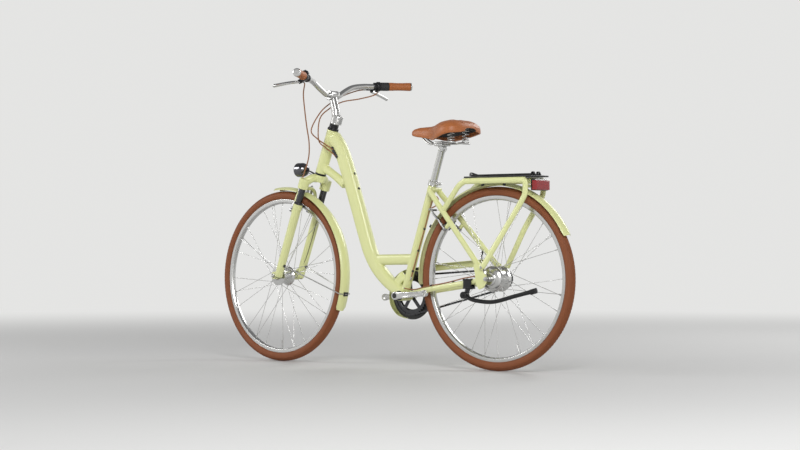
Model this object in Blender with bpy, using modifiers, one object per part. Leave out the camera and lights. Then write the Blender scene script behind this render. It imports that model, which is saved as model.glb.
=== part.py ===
"""City bicycle with a step-through frame, a sprung fork, a rack and a gear hub.

The origin is the centre of the bottom bracket. +X points forward, +Y to the rider's left, +Z up.
All sizes are in metres.
"""
import math

import bmesh
import bpy
from mathutils import Matrix, Vector

# Driving dimensions of the whole bicycle
WHEELBASE = 1.078
CHAINSTAY_LENGTH = 0.450
BRACKET_DROP = 0.070
HEAD_ANGLE = math.radians(70.0)
SEAT_ANGLE = math.radians(72.0)
FORK_OFFSET = 0.050
STEER_REST_ANGLE = math.radians(-5.0)
FIT = 0.0003
RUN_GAP = 0.0015

# Frame tubes
HEAD_BASE = 0.463
HEAD_LENGTH = 0.184
HEAD_RADIUS = 0.023
HEAD_WALL = 0.004
SEAT_TUBE_LENGTH = 0.467
SEAT_TUBE_RADIUS = 0.017
MAIN_TUBE_DEPTH = 0.062
MAIN_TUBE_WIDTH = 0.043
BRACKET_SHELL_RADIUS = 0.021
BRACKET_SHELL_BORE = 0.0175
BRACKET_SHELL_WIDTH = 0.068
STAY_RADIUS = 0.0115
CHAINSTAY_RADIUS = 0.0105
STAY_FLATNESS = 0.62
REAR_SPACING = 0.135
DROPOUT_THICKNESS = 0.006

# Wheels
TYRE_OUTER_RADIUS = 0.349
TYRE_SECTION_RADIUS = 0.0195
RIM_OUTER_RADIUS = 0.3135
RIM_INNER_RADIUS = 0.298
RIM_HALF_WIDTH = 0.0115
SPOKES_PER_SIDE = 16
SPOKE_RADIUS = 0.0011
AXLE_RADIUS = 0.0045
FRONT_SPACING = 0.100
FRONT_FLANGE_RADIUS = 0.039
REAR_FLANGE_RADIUS = 0.049

# Fork and steering
LEG_SPREAD = 0.062
LEG_SETBACK = 0.017
STANCHION_RADIUS = 0.0135
LOWER_LEG_RADIUS = 0.0190
LOWER_LEG_TOP = 0.322
CROWN_LOW = 0.388
STEERER_RADIUS = 0.0143
SPACER_HEIGHT = 0.018

# Handlebar
BAR_RADIUS = 0.0111
BORE_ROUND = 1.035
GRIP_RADIUS = 0.0165
SEATPOST_RADIUS = 0.0136
SEATPOST_REACH = 0.134

# Places that follow from the driving dimensions
REAR_HUB = Vector((-math.sqrt(CHAINSTAY_LENGTH ** 2 - BRACKET_DROP ** 2), 0.0, BRACKET_DROP))
FRONT_HUB = REAR_HUB + Vector((WHEELBASE, 0.0, 0.0))
STEER_UP = Vector((-math.cos(HEAD_ANGLE), 0.0, math.sin(HEAD_ANGLE)))
STEER_FORE = Vector((math.sin(HEAD_ANGLE), 0.0, math.cos(HEAD_ANGLE)))
STEER_FOOT = FRONT_HUB - STEER_FORE * FORK_OFFSET
SEAT_UP = Vector((-math.cos(SEAT_ANGLE), 0.0, math.sin(SEAT_ANGLE)))
HEAD_TOP = HEAD_BASE + HEAD_LENGTH
STEER_FRAME = Matrix.Translation(STEER_FOOT) @ Matrix.Rotation(HEAD_ANGLE - math.pi / 2, 4, "Y")
STEER_TURNED = STEER_FRAME @ Matrix.Rotation(STEER_REST_ANGLE, 4, "Z")
WHEEL_CENTRE_LOCAL = Vector((FORK_OFFSET, 0.0, 0.0))


def clear_scene():
    """Remove every object so that the file can be run again."""
    for old in list(bpy.data.objects):
        bpy.data.objects.remove(old, do_unlink=True)


def make_collection(name):
    collection = bpy.data.collections.new(name)
    bpy.context.scene.collection.children.link(collection)
    return collection


clear_scene()
PARTS = make_collection("city_bicycle")
GUIDES = make_collection("guides")


def make_material(name, colour, roughness, metallic=0.0):
    material = bpy.data.materials.new(name)
    material.use_nodes = True
    shader = material.node_tree.nodes["Principled BSDF"]
    shader.inputs["Base Color"].default_value = (*colour, 1.0)
    shader.inputs["Roughness"].default_value = roughness
    shader.inputs["Metallic"].default_value = metallic
    return material


PAINT = make_material("pale_yellow_green_paint", (0.66, 0.70, 0.36), 0.30)
SILVER = make_material("polished_aluminium", (0.72, 0.72, 0.70), 0.25, 1.0)
SATIN = make_material("satin_steel", (0.55, 0.55, 0.54), 0.40, 1.0)
BLACK = make_material("black_plastic", (0.020, 0.020, 0.022), 0.45)
BLACK_STEEL = make_material("black_coated_steel", (0.015, 0.015, 0.016), 0.35, 0.6)
BROWN = make_material("brown_leatherette", (0.42, 0.15, 0.05), 0.55)
TAN_RUBBER = make_material("brown_tyre_rubber", (0.25, 0.085, 0.035), 0.75)
COPPER = make_material("brown_cable_housing", (0.38, 0.17, 0.08), 0.45)
RED_LENS = make_material("red_lens", (0.45, 0.01, 0.02), 0.20)
CLEAR_LENS = make_material("clear_lens", (0.80, 0.82, 0.84), 0.08)


def copy_material(base, name):
    """Give each node a material of its own."""
    material = base.copy()
    material.name = name
    return material


def new_object(name, data, collection=None):
    obj = bpy.data.objects.new(name, data)
    (collection or GUIDES).objects.link(obj)
    return obj


def evaluated_mesh(obj):
    bpy.context.view_layer.update()
    graph = bpy.context.evaluated_depsgraph_get()
    return bpy.data.meshes.new_from_object(obj.evaluated_get(graph))


def to_mesh(obj, name):
    """Turn a curve or a modified object into a plain welded mesh in world space."""
    mesh = evaluated_mesh(obj)
    bpy.context.view_layer.update()
    mesh.transform(obj.matrix_world)
    data = bmesh.new()
    data.from_mesh(mesh)
    bmesh.ops.remove_doubles(data, verts=data.verts, dist=1e-6)
    bmesh.ops.recalc_face_normals(data, faces=data.faces)
    data.to_mesh(mesh)
    data.free()
    bpy.data.objects.remove(obj, do_unlink=True)
    return new_object(name, mesh)


def spline_points(points, per_span):
    """Points on a smooth curve through the given points."""
    vectors = [Vector(p) for p in points]
    padded = [vectors[0] * 2 - vectors[1]] + vectors + [vectors[-1] * 2 - vectors[-2]]
    result = []
    for i in range(1, len(padded) - 2):
        a, b, c, d = padded[i - 1:i + 3]
        for k in range(per_span):
            t = k / per_span
            result.append(0.5 * (2 * b + (c - a) * t + (2 * a - 5 * b + 4 * c - d) * t * t
                                 + (3 * b - 3 * c + d - a) * t ** 3))
    return result + [vectors[-1]]


def tube(name, points, radius, sides=2, flat=1.0, radii=None):
    """A round bar along the points; flat squeezes its width along Y."""
    curve = bpy.data.curves.new(name, "CURVE")
    curve.dimensions = "3D"
    curve.bevel_depth = radius
    curve.bevel_resolution = sides
    curve.use_fill_caps = True
    line = curve.splines.new("POLY")
    line.points.add(len(points) - 1)
    for i, place in enumerate(points):
        line.points[i].co = (place[0], place[1] / flat, place[2], 1.0)
        if radii:
            line.points[i].radius = radii[i]
    obj = new_object(name, curve)
    obj.scale = (1.0, flat, 1.0)
    return to_mesh(obj, name)


def cylinder(name, centre, axis, radius, length, sides=24, radius_top=None, roll=0.0):
    """A round bar with its centre at a place and its length along an axis."""
    data = bmesh.new()
    top = radius if radius_top is None else radius_top
    bmesh.ops.create_cone(data, cap_ends=True, segments=sides, radius1=radius, radius2=top, depth=length)
    turn = Vector((0, 0, 1)).rotation_difference(Vector(axis).normalized()).to_matrix().to_4x4()
    turn = turn @ Matrix.Rotation(roll, 4, "Z")
    bmesh.ops.transform(data, matrix=Matrix.Translation(Vector(centre)) @ turn, verts=data.verts)
    mesh = bpy.data.meshes.new(name)
    data.to_mesh(mesh)
    data.free()
    return new_object(name, mesh)


def box(name, centre, size, round_edge=0.0, turn=None):
    """A block, with rounded edges where round_edge is more than zero."""
    data = bmesh.new()
    bmesh.ops.create_cube(data, size=1.0)
    bmesh.ops.scale(data, vec=Vector(size), verts=data.verts)
    if round_edge > 0.0:
        bmesh.ops.bevel(data, geom=data.edges[:], offset=round_edge, segments=2, affect="EDGES")
    bmesh.ops.transform(data, matrix=Matrix.Translation(Vector(centre)) @ (turn or Matrix()),
                        verts=data.verts)
    mesh = bpy.data.meshes.new(name)
    data.to_mesh(mesh)
    data.free()
    return new_object(name, mesh)


def turned(name, profile, centre=(0, 0, 0), axis=(0, 1, 0), steps=36, closed=False):
    """A turned shape: profile holds (radius, height) from top to bottom on the outer side."""
    mesh = bpy.data.meshes.new(name)
    last = len(profile)
    edges = [(i, i + 1) for i in range(last - 1)]
    if closed:
        edges.append((last - 1, 0))
    mesh.from_pydata([(r, 0.0, h) for r, h in profile], edges, [])
    obj = new_object(name, mesh)
    screw = obj.modifiers.new("turn", "SCREW")
    screw.axis = "Z"
    screw.steps = steps
    screw.render_steps = steps
    screw.use_merge_vertices = True
    screw.merge_threshold = 0.00001
    turn = Vector((0, 0, 1)).rotation_difference(Vector(axis).normalized()).to_matrix().to_4x4()
    obj.matrix_world = Matrix.Translation(Vector(centre)) @ turn
    return to_mesh(obj, name)


def plate(name, outline, thickness, matrix):
    """A flat plate: the outline lies in the local XY plane and is extruded along local Z."""
    curve = bpy.data.curves.new(name, "CURVE")
    curve.dimensions = "2D"
    curve.fill_mode = "BOTH"
    curve.extrude = thickness / 2
    line = curve.splines.new("POLY")
    line.points.add(len(outline) - 1)
    for i, place in enumerate(outline):
        line.points[i].co = (place[0], place[1], 0.0, 1.0)
    line.use_cyclic_u = True
    obj = new_object(name, curve)
    obj.matrix_world = matrix
    return to_mesh(obj, name)


def loft(name, rings, loop=False):
    """A closed skin through rings that hold the same number of points."""
    data = bmesh.new()
    rows = [[data.verts.new(p) for p in ring] for ring in rings]
    count = len(rows[0])
    for low, high in zip(rows, rows[1:] + rows[:1] if loop else rows[1:]):
        for i in range(count):
            data.faces.new((low[i], low[(i + 1) % count], high[(i + 1) % count], high[i]))
    if not loop:
        data.faces.new(rows[0])
        data.faces.new(rows[-1])
    bmesh.ops.recalc_face_normals(data, faces=data.faces)
    mesh = bpy.data.meshes.new(name)
    data.to_mesh(mesh)
    data.free()
    return new_object(name, mesh)


def combine(target, tools, operation):
    """Join or cut the target with each tool in turn by an exact Boolean."""
    for tool in tools:
        change = target.modifiers.new(operation.lower(), "BOOLEAN")
        change.operation = operation
        change.solver = "EXACT"
        change.object = tool
        mesh = evaluated_mesh(target)
        mesh.transform(target.matrix_world)
        name = target.name
        bpy.data.objects.remove(target, do_unlink=True)
        bpy.data.objects.remove(tool, do_unlink=True)
        data = bmesh.new()
        data.from_mesh(mesh)
        bmesh.ops.remove_doubles(data, verts=data.verts, dist=1e-6)
        bmesh.ops.dissolve_degenerate(data, dist=1e-6, edges=data.edges)
        data.to_mesh(mesh)
        data.free()
        target = new_object(name, mesh)
    return target


def join(target, *tools):
    return combine(target, tools, "UNION")


def cut(target, *tools):
    return combine(target, tools, "DIFFERENCE")


def finish(obj, name, material, parent=None, pivot=None, place=None):
    """Name a piece, give it its material and put its origin on its joint.

    place moves the piece from the frame that it was drawn in; parent is the empty that carries it.
    """
    mesh = obj.data
    if place is not None:
        mesh.transform(place)
    origin = Vector(pivot) if pivot is not None else Vector((0, 0, 0))
    mesh.transform(Matrix.Translation(-origin))
    bpy.data.objects.remove(obj, do_unlink=True)
    piece = bpy.data.objects.new(name, mesh)
    PARTS.objects.link(piece)
    mesh.materials.clear()
    mesh.materials.append(copy_material(material, name + "_finish"))
    mesh.shade_smooth()
    mesh.set_sharp_from_angle(angle=math.radians(50))
    if parent is None:
        piece.location = origin
    else:
        bpy.context.view_layer.update()
        piece.parent = parent
        piece.matrix_parent_inverse = parent.matrix_world.inverted()
        piece.matrix_world = Matrix.Translation(origin)
    return piece


def pivot_empty(name, matrix, parent=None):
    empty = bpy.data.objects.new(name, None)
    PARTS.objects.link(empty)
    empty.empty_display_size = 0.05
    if parent is not None:
        empty.parent = parent
        empty.matrix_parent_inverse = parent.matrix_world.inverted()
    empty.matrix_world = matrix
    bpy.context.view_layer.update()
    return empty


# Frame
MAIN_TUBE_LINE = [
    (0.362, 0.0, 0.632), (0.322, 0.0, 0.580), (0.287, 0.0, 0.498), (0.257, 0.0, 0.415),
    (0.227, 0.0, 0.329), (0.198, 0.0, 0.244), (0.168, 0.0, 0.166), (0.128, 0.0, 0.103),
    (0.072, 0.0, 0.050), (0.000, 0.0, 0.004),
]
BRACE_LINE = [(0.412, 0.0, 0.510), (0.362, 0.0, 0.482), (0.300, 0.0, 0.440)]
CROSS_TUBE_HEIGHT = 0.142
STAY_TOP_HEIGHT = 0.408
STAY_TOP_SPREAD = 0.030
STAY_LOW_SPREAD = 0.063


def seat_point(height, side=0.0):
    """A point on the seat tube's centre line at a height."""
    return Vector((SEAT_UP.x / SEAT_UP.z * height, side, height))


def rounded_ring(centre, along, half_depth, half_width):
    """A flat-sided section square to a direction in the XZ plane."""
    out = Vector((along.z, 0.0, -along.x)).normalized()
    ring = []
    steps = 10
    for i in range(steps):
        angle = 2 * math.pi * (i + 0.5) / steps
        c, s = math.cos(angle), math.sin(angle)
        c = math.copysign(abs(c) ** 0.7, c)
        s = math.copysign(abs(s) ** 0.7, s)
        ring.append(centre + out * (half_depth * c) + Vector((0, half_width * s, 0)))
    return ring


def swept_section(name, points, depths, widths):
    """A flat-sided tube whose section changes along a line in the XZ plane."""
    rings = []
    last = len(points) - 1
    for i, point in enumerate(points):
        along = points[min(i + 1, last)] - points[max(i - 1, 0)]
        rings.append(rounded_ring(point, along, depths(i / last), widths(i / last)))
    return loft(name, rings)


def frame_main():
    line = spline_points(MAIN_TUBE_LINE, 2)
    tube_main = swept_section(
        "main_tube", line,
        lambda t: MAIN_TUBE_DEPTH / 2 * (1.0 - 0.22 * t ** 3),
        lambda t: MAIN_TUBE_WIDTH / 2 * (1.0 + 0.12 * t ** 3))
    brace_points = spline_points(BRACE_LINE, 3)
    brace = swept_section("brace", brace_points, lambda t: 0.019 - 0.004 * math.sin(math.pi * t),
                          lambda t: 0.0165)
    head = cylinder("head", STEER_FOOT + STEER_UP * (HEAD_BASE + HEAD_LENGTH / 2), STEER_UP,
                    HEAD_RADIUS, HEAD_LENGTH, 20)
    cross_start = Vector((0.165, 0.0, CROSS_TUBE_HEIGHT - 0.004))
    cross_end = seat_point(CROSS_TUBE_HEIGHT)
    cross = swept_section("cross", [cross_start.lerp(cross_end, i / 4) for i in range(5)],
                          lambda t: 0.021, lambda t: 0.0165)
    top_of_seat = SEAT_UP * SEAT_TUBE_LENGTH
    seat = cylinder("seat", top_of_seat / 2, SEAT_UP, SEAT_TUBE_RADIUS, SEAT_TUBE_LENGTH, 12)
    shell = cylinder("shell", (0, 0, 0), (0, 1, 0), BRACKET_SHELL_RADIUS, BRACKET_SHELL_WIDTH, 16)
    web = swept_section("web", [Vector((0.030, 0, 0.075)), Vector((0.006, 0, 0.052))],
                        lambda t: 0.026, lambda t: 0.011)
    body = join(shell, seat, cross, tube_main, brace, head, web)
    head_bore = cylinder("head_bore", STEER_FOOT + STEER_UP * (HEAD_BASE + HEAD_LENGTH / 2), STEER_UP,
                         HEAD_RADIUS - HEAD_WALL, HEAD_LENGTH + 0.02, 12)
    shell_bore = cylinder("shell_bore", (0, 0, 0), (0, 1, 0), BRACKET_SHELL_BORE,
                          BRACKET_SHELL_WIDTH + 0.02, 12)
    bore_depth = 0.200
    seat_bore = cylinder("seat_bore", SEAT_UP * (SEAT_TUBE_LENGTH - bore_depth / 2 + 0.01), SEAT_UP,
                         (SEATPOST_RADIUS + FIT) / math.cos(math.pi / 12), bore_depth, 12)
    return cut(body, head_bore, shell_bore, seat_bore)


def chainstay_line(side):
    """The stay runs inside the chainring, then outward past the tyre and the fender."""
    start = Vector((-BRACKET_SHELL_RADIUS - CHAINSTAY_RADIUS - FIT, 0.0240 * side, 0.004))
    ring_clear = Vector((-0.068, 0.0290 * side, 0.010))
    fender_clear = Vector((-0.090, 0.0335 * side, 0.014))
    middle = Vector((-0.140, 0.0475 * side, 0.023))
    wide = Vector((-0.210, 0.0575 * side, 0.034))
    end = REAR_HUB + Vector((0.028, STAY_LOW_SPREAD * side, -0.005))
    return [start, ring_clear, fender_clear, start.lerp(middle, 0.86), middle, middle.lerp(wide, 0.55),
            wide, end]


def chainstay(side):
    """One chainstay from the bracket shell to the dropout; side is 1 on the left, -1 on the right."""
    return tube("chainstay", chainstay_line(side), CHAINSTAY_RADIUS, 2, flat=STAY_FLATNESS)


def seatstay_point(fraction, side):
    """A point on the seatstay's centre line, from its top to the dropout."""
    top = seat_point(STAY_TOP_HEIGHT, STAY_TOP_SPREAD * side) + Vector((-0.012, 0, 0))
    end = REAR_HUB + Vector((0.034, STAY_LOW_SPREAD * side, 0.040))
    return top.lerp(end, fraction)


def seatstay(side, extra=0.0):
    line = [seatstay_point(k / 2, side) for k in range(3)]
    return tube("seatstay", line, STAY_RADIUS + extra, 2, flat=STAY_FLATNESS)


REAR_BRAKE_ANGLE = math.radians(42.0)
REAR_BRAKE_PLACE = (Matrix.Translation(REAR_HUB)
                    @ Matrix.Rotation(math.pi / 2 - REAR_BRAKE_ANGLE, 4, "Y"))
BRAKE_PIVOT_RADIUS = 0.283
BRAKE_PIVOT_SPREAD = 0.048
BRAKE_HUB_LENGTH = 0.012


def rear_brake_boss(side):
    """The stud on the seatstay's front side that carries a brake arm."""
    front = -BRAKE_HUB_LENGTH / 2 - FIT
    back = -0.031
    boss = cylinder("boss", ((front + back) / 2, (BRAKE_PIVOT_SPREAD - 0.002) * side, BRAKE_PIVOT_RADIUS),
                    (1, 0, 0), 0.0075, front - back, 8)
    boss.data.transform(REAR_BRAKE_PLACE)
    return boss


def stay_bridge():
    """The top bridge that joins both seatstays to the seat tube."""
    top = seat_point(STAY_TOP_HEIGHT + 0.004)
    bridge = tube("bridge", [top + Vector((-0.014, 0.036, 0)), top + Vector((-0.014, -0.036, 0))],
                  0.009, 2)
    return bridge


def dropout(side):
    """One dropout plate with its axle slot, square to Y."""
    outline = [(0.050, 0.000), (0.052, 0.022), (0.060, 0.050), (0.048, 0.062), (0.030, 0.054),
               (0.012, 0.020), (-0.012, 0.012), (-0.014, -0.008), (0.000, -0.014), (0.014, -0.034),
               (0.034, -0.040), (0.046, -0.022)]
    centre = REAR_HUB + Vector((0.0, side * (REAR_SPACING / 2 + DROPOUT_THICKNESS / 2), 0.0))
    matrix = Matrix.Translation(centre) @ Matrix.Rotation(math.pi / 2, 4, "X")
    body = plate("dropout", outline, DROPOUT_THICKNESS, matrix)
    slot = cylinder("slot", centre, (0, 1, 0), AXLE_RADIUS + FIT, DROPOUT_THICKNESS + 0.01, 12)
    return cut(body, slot)


def rear_triangle():
    """Both chainstays, seatstays and dropouts with their bridges, welded into one piece."""
    pieces = []
    for side in (1, -1):
        pieces += [chainstay(side), seatstay(side), dropout(side), rear_brake_boss(side)]
    yoke = box("yoke", (-BRACKET_SHELL_RADIUS - 0.014, 0.0, 0.006), (0.022, 0.056, 0.018))
    body = join(pieces[0], *pieces[1:], yoke, stay_bridge())
    seat_room = cylinder("seat_room", SEAT_UP * SEAT_TUBE_LENGTH / 2, SEAT_UP, SEAT_TUBE_RADIUS + FIT,
                         SEAT_TUBE_LENGTH + 0.05, 16)
    shell_room = cylinder("shell_room", (0, 0, 0), (0, 1, 0), BRACKET_SHELL_RADIUS + FIT,
                          BRACKET_SHELL_WIDTH + 0.02, 20)
    return cut(body, seat_room, shell_room)


finish(frame_main(), "frame_front", PAINT)
finish(rear_triangle(), "frame_rear", PAINT)


# Steering assembly, drawn with local X across the steering axis, Y to the left and Z up the axis
STEERING = pivot_empty("steering_pivot", STEER_TURNED)
FORK_TRAVEL = pivot_empty("fork_travel_pivot", STEER_TURNED, STEERING)
CUP_HEIGHT = 0.007
CROWN_TOP = HEAD_BASE - CUP_HEIGHT - FIT
CROWN_BOSS_RADIUS = 0.0215
STANCHION_LOW = 0.130
SPACER_TOP = HEAD_TOP + CUP_HEIGHT + FIT + SPACER_HEIGHT
STEM_CLAMP_HEIGHT = 0.040
BAR_CENTRE = Vector((0.053, 0.0, 0.776))


def headset_cup(name, low, radius_low, radius_top):
    """A turned cup between the head tube and what turns in it."""
    inner = STEERER_RADIUS + FIT
    top = low + CUP_HEIGHT - FIT
    profile = [(inner, top), (radius_top, top), (radius_low, low), (inner, low)]
    return turned(name, profile, axis=(0, 0, 1), steps=16, closed=True)


def headset_top():
    """The upper cup with the spacer stack under the stem."""
    inner = STEERER_RADIUS + FIT
    low = HEAD_TOP + FIT
    step = HEAD_TOP + CUP_HEIGHT
    top = SPACER_TOP - FIT
    profile = [(inner, top), (HEAD_RADIUS - 0.004, top), (HEAD_RADIUS - 0.003, step),
               (HEAD_RADIUS, step - 0.001), (HEAD_RADIUS, low), (inner, low)]
    return turned("headset_top", profile, axis=(0, 0, 1), steps=16, closed=True)


def crown():
    """The crown with its two leg bosses, the steerer and the stanchions pressed into it."""
    boss_height = 0.042
    body = cylinder("hub", (0, 0, CROWN_TOP - 0.014), (0, 0, 1), 0.024, 0.028, 16)
    bosses = []
    for side in (1, -1):
        bosses.append(cylinder("boss", (LEG_SETBACK, LEG_SPREAD * side, CROWN_LOW + boss_height / 2),
                               (0, 0, 1), CROWN_BOSS_RADIUS, boss_height, 12))
        shoulder = [Vector((0.003, 0.010 * side, CROWN_TOP - 0.016)),
                    Vector((0.009, 0.034 * side, CROWN_TOP - 0.020)),
                    Vector((LEG_SETBACK, 0.060 * side, CROWN_LOW + 0.026))]
        bosses.append(tube("shoulder", spline_points(shoulder, 3), 0.0165, 2))
    steerer_length = SPACER_TOP + STEM_CLAMP_HEIGHT - 0.003 - CROWN_TOP
    steerer = cylinder("steerer", (0, 0, CROWN_TOP + steerer_length / 2 - 0.01), (0, 0, 1),
                       STEERER_RADIUS, steerer_length + 0.02, 12)
    top = CROWN_LOW + boss_height / 2
    tubes = [cylinder("stanchion", (LEG_SETBACK, LEG_SPREAD * side, (top + STANCHION_LOW) / 2), (0, 0, 1),
                      STANCHION_RADIUS, top - STANCHION_LOW, 12) for side in (1, -1)]
    return join(body, steerer, *bosses, *tubes)


ARCH_DEPTH = 0.014
ARCH_SETBACK = 0.044


def lower_legs():
    """Both painted lower legs with the arch over the wheel and the axle ends."""
    leg_low = 0.006
    arch_line = [Vector((ARCH_SETBACK - 0.012, LEG_SPREAD, LOWER_LEG_TOP - 0.022)),
                 Vector((ARCH_SETBACK, 0.051, LOWER_LEG_TOP + 0.026)),
                 Vector((ARCH_SETBACK, 0.038, LOWER_LEG_TOP + 0.048)),
                 Vector((ARCH_SETBACK, 0.018, LOWER_LEG_TOP + 0.060)),
                 Vector((ARCH_SETBACK, 0.0, LOWER_LEG_TOP + 0.061))]
    arch_line += [Vector((p.x, -p.y, p.z)) for p in reversed(arch_line[:-1])]
    body = tube("arch", arch_line, ARCH_DEPTH / 2, 2)
    extras = []
    for side in (1, -1):
        y = LEG_SPREAD * side
        leg = turned("leg", [(0.0, LOWER_LEG_TOP), (LOWER_LEG_RADIUS - 0.001, LOWER_LEG_TOP),
                             (LOWER_LEG_RADIUS, LOWER_LEG_TOP - 0.003),
                             (LOWER_LEG_RADIUS, LOWER_LEG_TOP - 0.022),
                             (LOWER_LEG_RADIUS - 0.0015, LOWER_LEG_TOP - 0.028),
                             (LOWER_LEG_RADIUS - 0.003, leg_low + 0.004),
                             (LOWER_LEG_RADIUS - 0.006, leg_low), (0.0, leg_low)],
                     (LEG_SETBACK, y, 0), (0, 0, 1), 12)
        outline = [(0.012, 0.058), (0.034, 0.040), (0.048, 0.018), (0.064, 0.010), (0.066, -0.008),
                   (0.052, -0.015), (0.020, -0.004), (0.006, 0.004), (0.006, 0.040)]
        centre = (0, side * (FRONT_SPACING / 2 + 0.003 + FIT), 0)
        matrix = Matrix.Translation(centre) @ Matrix.Rotation(math.pi / 2, 4, "X")
        tip = plate("tip", outline, 0.006, matrix)
        boss = cylinder("boss", (LEG_SETBACK + 0.022, (LEG_SPREAD - 0.014) * side, 0.283), (1, 0, 0),
                        0.0075, 0.026, 8)
        extras += [leg, tip, boss]
    body = join(body, *extras)
    rooms = []
    for side in (1, -1):
        room_low = STANCHION_LOW - 0.045
        room_middle = (LEG_SETBACK, LEG_SPREAD * side, (room_low + LOWER_LEG_TOP + 0.01) / 2)
        room_radius = (STANCHION_RADIUS + FIT) / math.cos(math.pi / 12)
        rooms.append(cylinder("room", room_middle, (0, 0, 1), room_radius,
                              LOWER_LEG_TOP + 0.01 - room_low, 12))
        rooms.append(cylinder("axle_room", (FORK_OFFSET, side * FRONT_SPACING / 2, 0), (0, 1, 0),
                              AXLE_RADIUS + FIT, 0.060, 12))
    return cut(body, *rooms)


def stem():
    """The tall stem from the steerer clamp to the handlebar clamp."""
    low = SPACER_TOP
    collar = cylinder("collar", (0, 0, low + STEM_CLAMP_HEIGHT / 2), (0, 0, 1), 0.0185,
                      STEM_CLAMP_HEIGHT, 16)
    bolt_lug = box("bolt_lug", (-0.021, 0, low + STEM_CLAMP_HEIGHT / 2), (0.016, 0.022, 0.034))
    neck = tube("neck", [Vector((0.000, 0, low + 0.024)), Vector((0.012, 0, low + 0.048)),
                         Vector((0.036, 0, BAR_CENTRE.z - 0.022)), BAR_CENTRE], 0.0165, 2)
    clamp = cylinder("clamp", BAR_CENTRE, (0, 1, 0), 0.0195, 0.046, 16)
    body = join(collar, bolt_lug, neck, clamp)
    steerer_room = cylinder("steerer_room", (0, 0, low + (STEM_CLAMP_HEIGHT - 0.002) / 2 - 0.005),
                            (0, 0, 1), (STEERER_RADIUS + FIT) / math.cos(math.pi / 12),
                            STEM_CLAMP_HEIGHT - 0.002 + 0.01, 12)
    bar_room = cylinder("bar_room", BAR_CENTRE, (0, 1, 0), (BAR_RADIUS + FIT) / math.cos(math.pi / 12),
                        0.080, 12)
    return cut(body, steerer_room, bar_room)


finish(headset_cup("cup", HEAD_BASE - CUP_HEIGHT, 0.0225, HEAD_RADIUS), "headset_lower_cup",
       BLACK_STEEL, place=STEER_FRAME)
finish(headset_top(), "headset_top_cup_and_spacer", BLACK_STEEL, STEERING, place=STEER_TURNED)
finish(crown(), "fork_crown", PAINT, STEERING, place=STEER_TURNED)
finish(lower_legs(), "fork_lower_legs", PAINT, FORK_TRAVEL, place=STEER_TURNED)
finish(stem(), "stem", SILVER, STEERING, place=STEER_TURNED)


# Wheels, drawn with the hub centre at the origin and the axle along Y
FRONT_WHEEL = pivot_empty("front_wheel_pivot", STEER_TURNED @ Matrix.Translation(WHEEL_CENTRE_LOCAL),
                          FORK_TRAVEL)
REAR_WHEEL = pivot_empty("rear_wheel_pivot", Matrix.Translation(REAR_HUB))
FRONT_PLACE = STEER_TURNED @ Matrix.Translation(WHEEL_CENTRE_LOCAL)
REAR_PLACE = Matrix.Translation(REAR_HUB)
WHEEL_STEPS = 28
CHAIN_LINE = -0.0440
FRONT_FLANGES = (0.029, -0.027)
REAR_FLANGES = (0.031, -0.024)
NIPPLE_SPREAD = 0.0030


def tyre():
    """The tyre's C-shaped section, open to the rim."""
    centre = TYRE_OUTER_RADIUS - TYRE_SECTION_RADIUS
    bead = RIM_OUTER_RADIUS + FIT
    profile = [(centre + TYRE_SECTION_RADIUS * math.cos(a), TYRE_SECTION_RADIUS * math.sin(a))
               for a in [math.radians(125 - 250 * i / 5) for i in range(6)]]
    profile += [(bead, -0.0085), (bead, 0.0085)]
    return turned("tyre", profile, steps=WHEEL_STEPS, closed=True)


def rim():
    profile = [(RIM_OUTER_RADIUS, RIM_HALF_WIDTH - 0.0035), (RIM_OUTER_RADIUS, -RIM_HALF_WIDTH + 0.0035),
               (RIM_OUTER_RADIUS - 0.004, -RIM_HALF_WIDTH), (RIM_INNER_RADIUS, -RIM_HALF_WIDTH + 0.005),
               (RIM_INNER_RADIUS, RIM_HALF_WIDTH - 0.005), (RIM_OUTER_RADIUS - 0.004, RIM_HALF_WIDTH)]
    return turned("rim", profile, steps=WHEEL_STEPS, closed=True)


def spokes(side, flange_side, flange_radius, cross_angle):
    """One side's crossed spokes, which touch where they cross."""
    start_radius = flange_radius + SPOKE_RADIUS + 0.0005
    end_radius = RIM_INNER_RADIUS * math.cos(math.pi / WHEEL_STEPS) - FIT - 0.0001
    pitch = 2 * math.pi / SPOKES_PER_SIDE
    phase = pitch / 4 * side
    bars = []
    for i in range(SPOKES_PER_SIDE):
        hub_angle = pitch * i + phase
        rim_angle = hub_angle + cross_angle * (1 if i % 2 else -1)
        start = Vector((start_radius * math.cos(hub_angle), flange_side,
                        start_radius * math.sin(hub_angle)))
        end = Vector((end_radius * math.cos(rim_angle), NIPPLE_SPREAD * side,
                      end_radius * math.sin(rim_angle)))
        bars.append(cylinder("spoke", (start + end) / 2, end - start, SPOKE_RADIUS,
                             (end - start).length, 3, roll=0.2 + 0.37 * (i % 2)))
    return join(bars[0], *bars[1:])


def front_hub():
    """The dynamo hub's shell: a wide drum with its larger flange on the right."""
    bore = AXLE_RADIUS + RUN_GAP
    end = FRONT_SPACING / 2 - 0.008
    left, right = FRONT_FLANGES
    flange = 0.0016
    profile = [(bore, end), (0.014, end), (0.018, left + 0.004), (FRONT_FLANGE_RADIUS, left + flange),
               (FRONT_FLANGE_RADIUS, left - flange), (0.030, left - 0.005), (0.032, right + 0.010),
               (FRONT_FLANGE_RADIUS, right + flange), (FRONT_FLANGE_RADIUS, right - flange),
               (0.034, right - 0.006), (0.014, -end), (bore, -end)]
    return turned("hub", profile, steps=14, closed=True)


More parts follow.
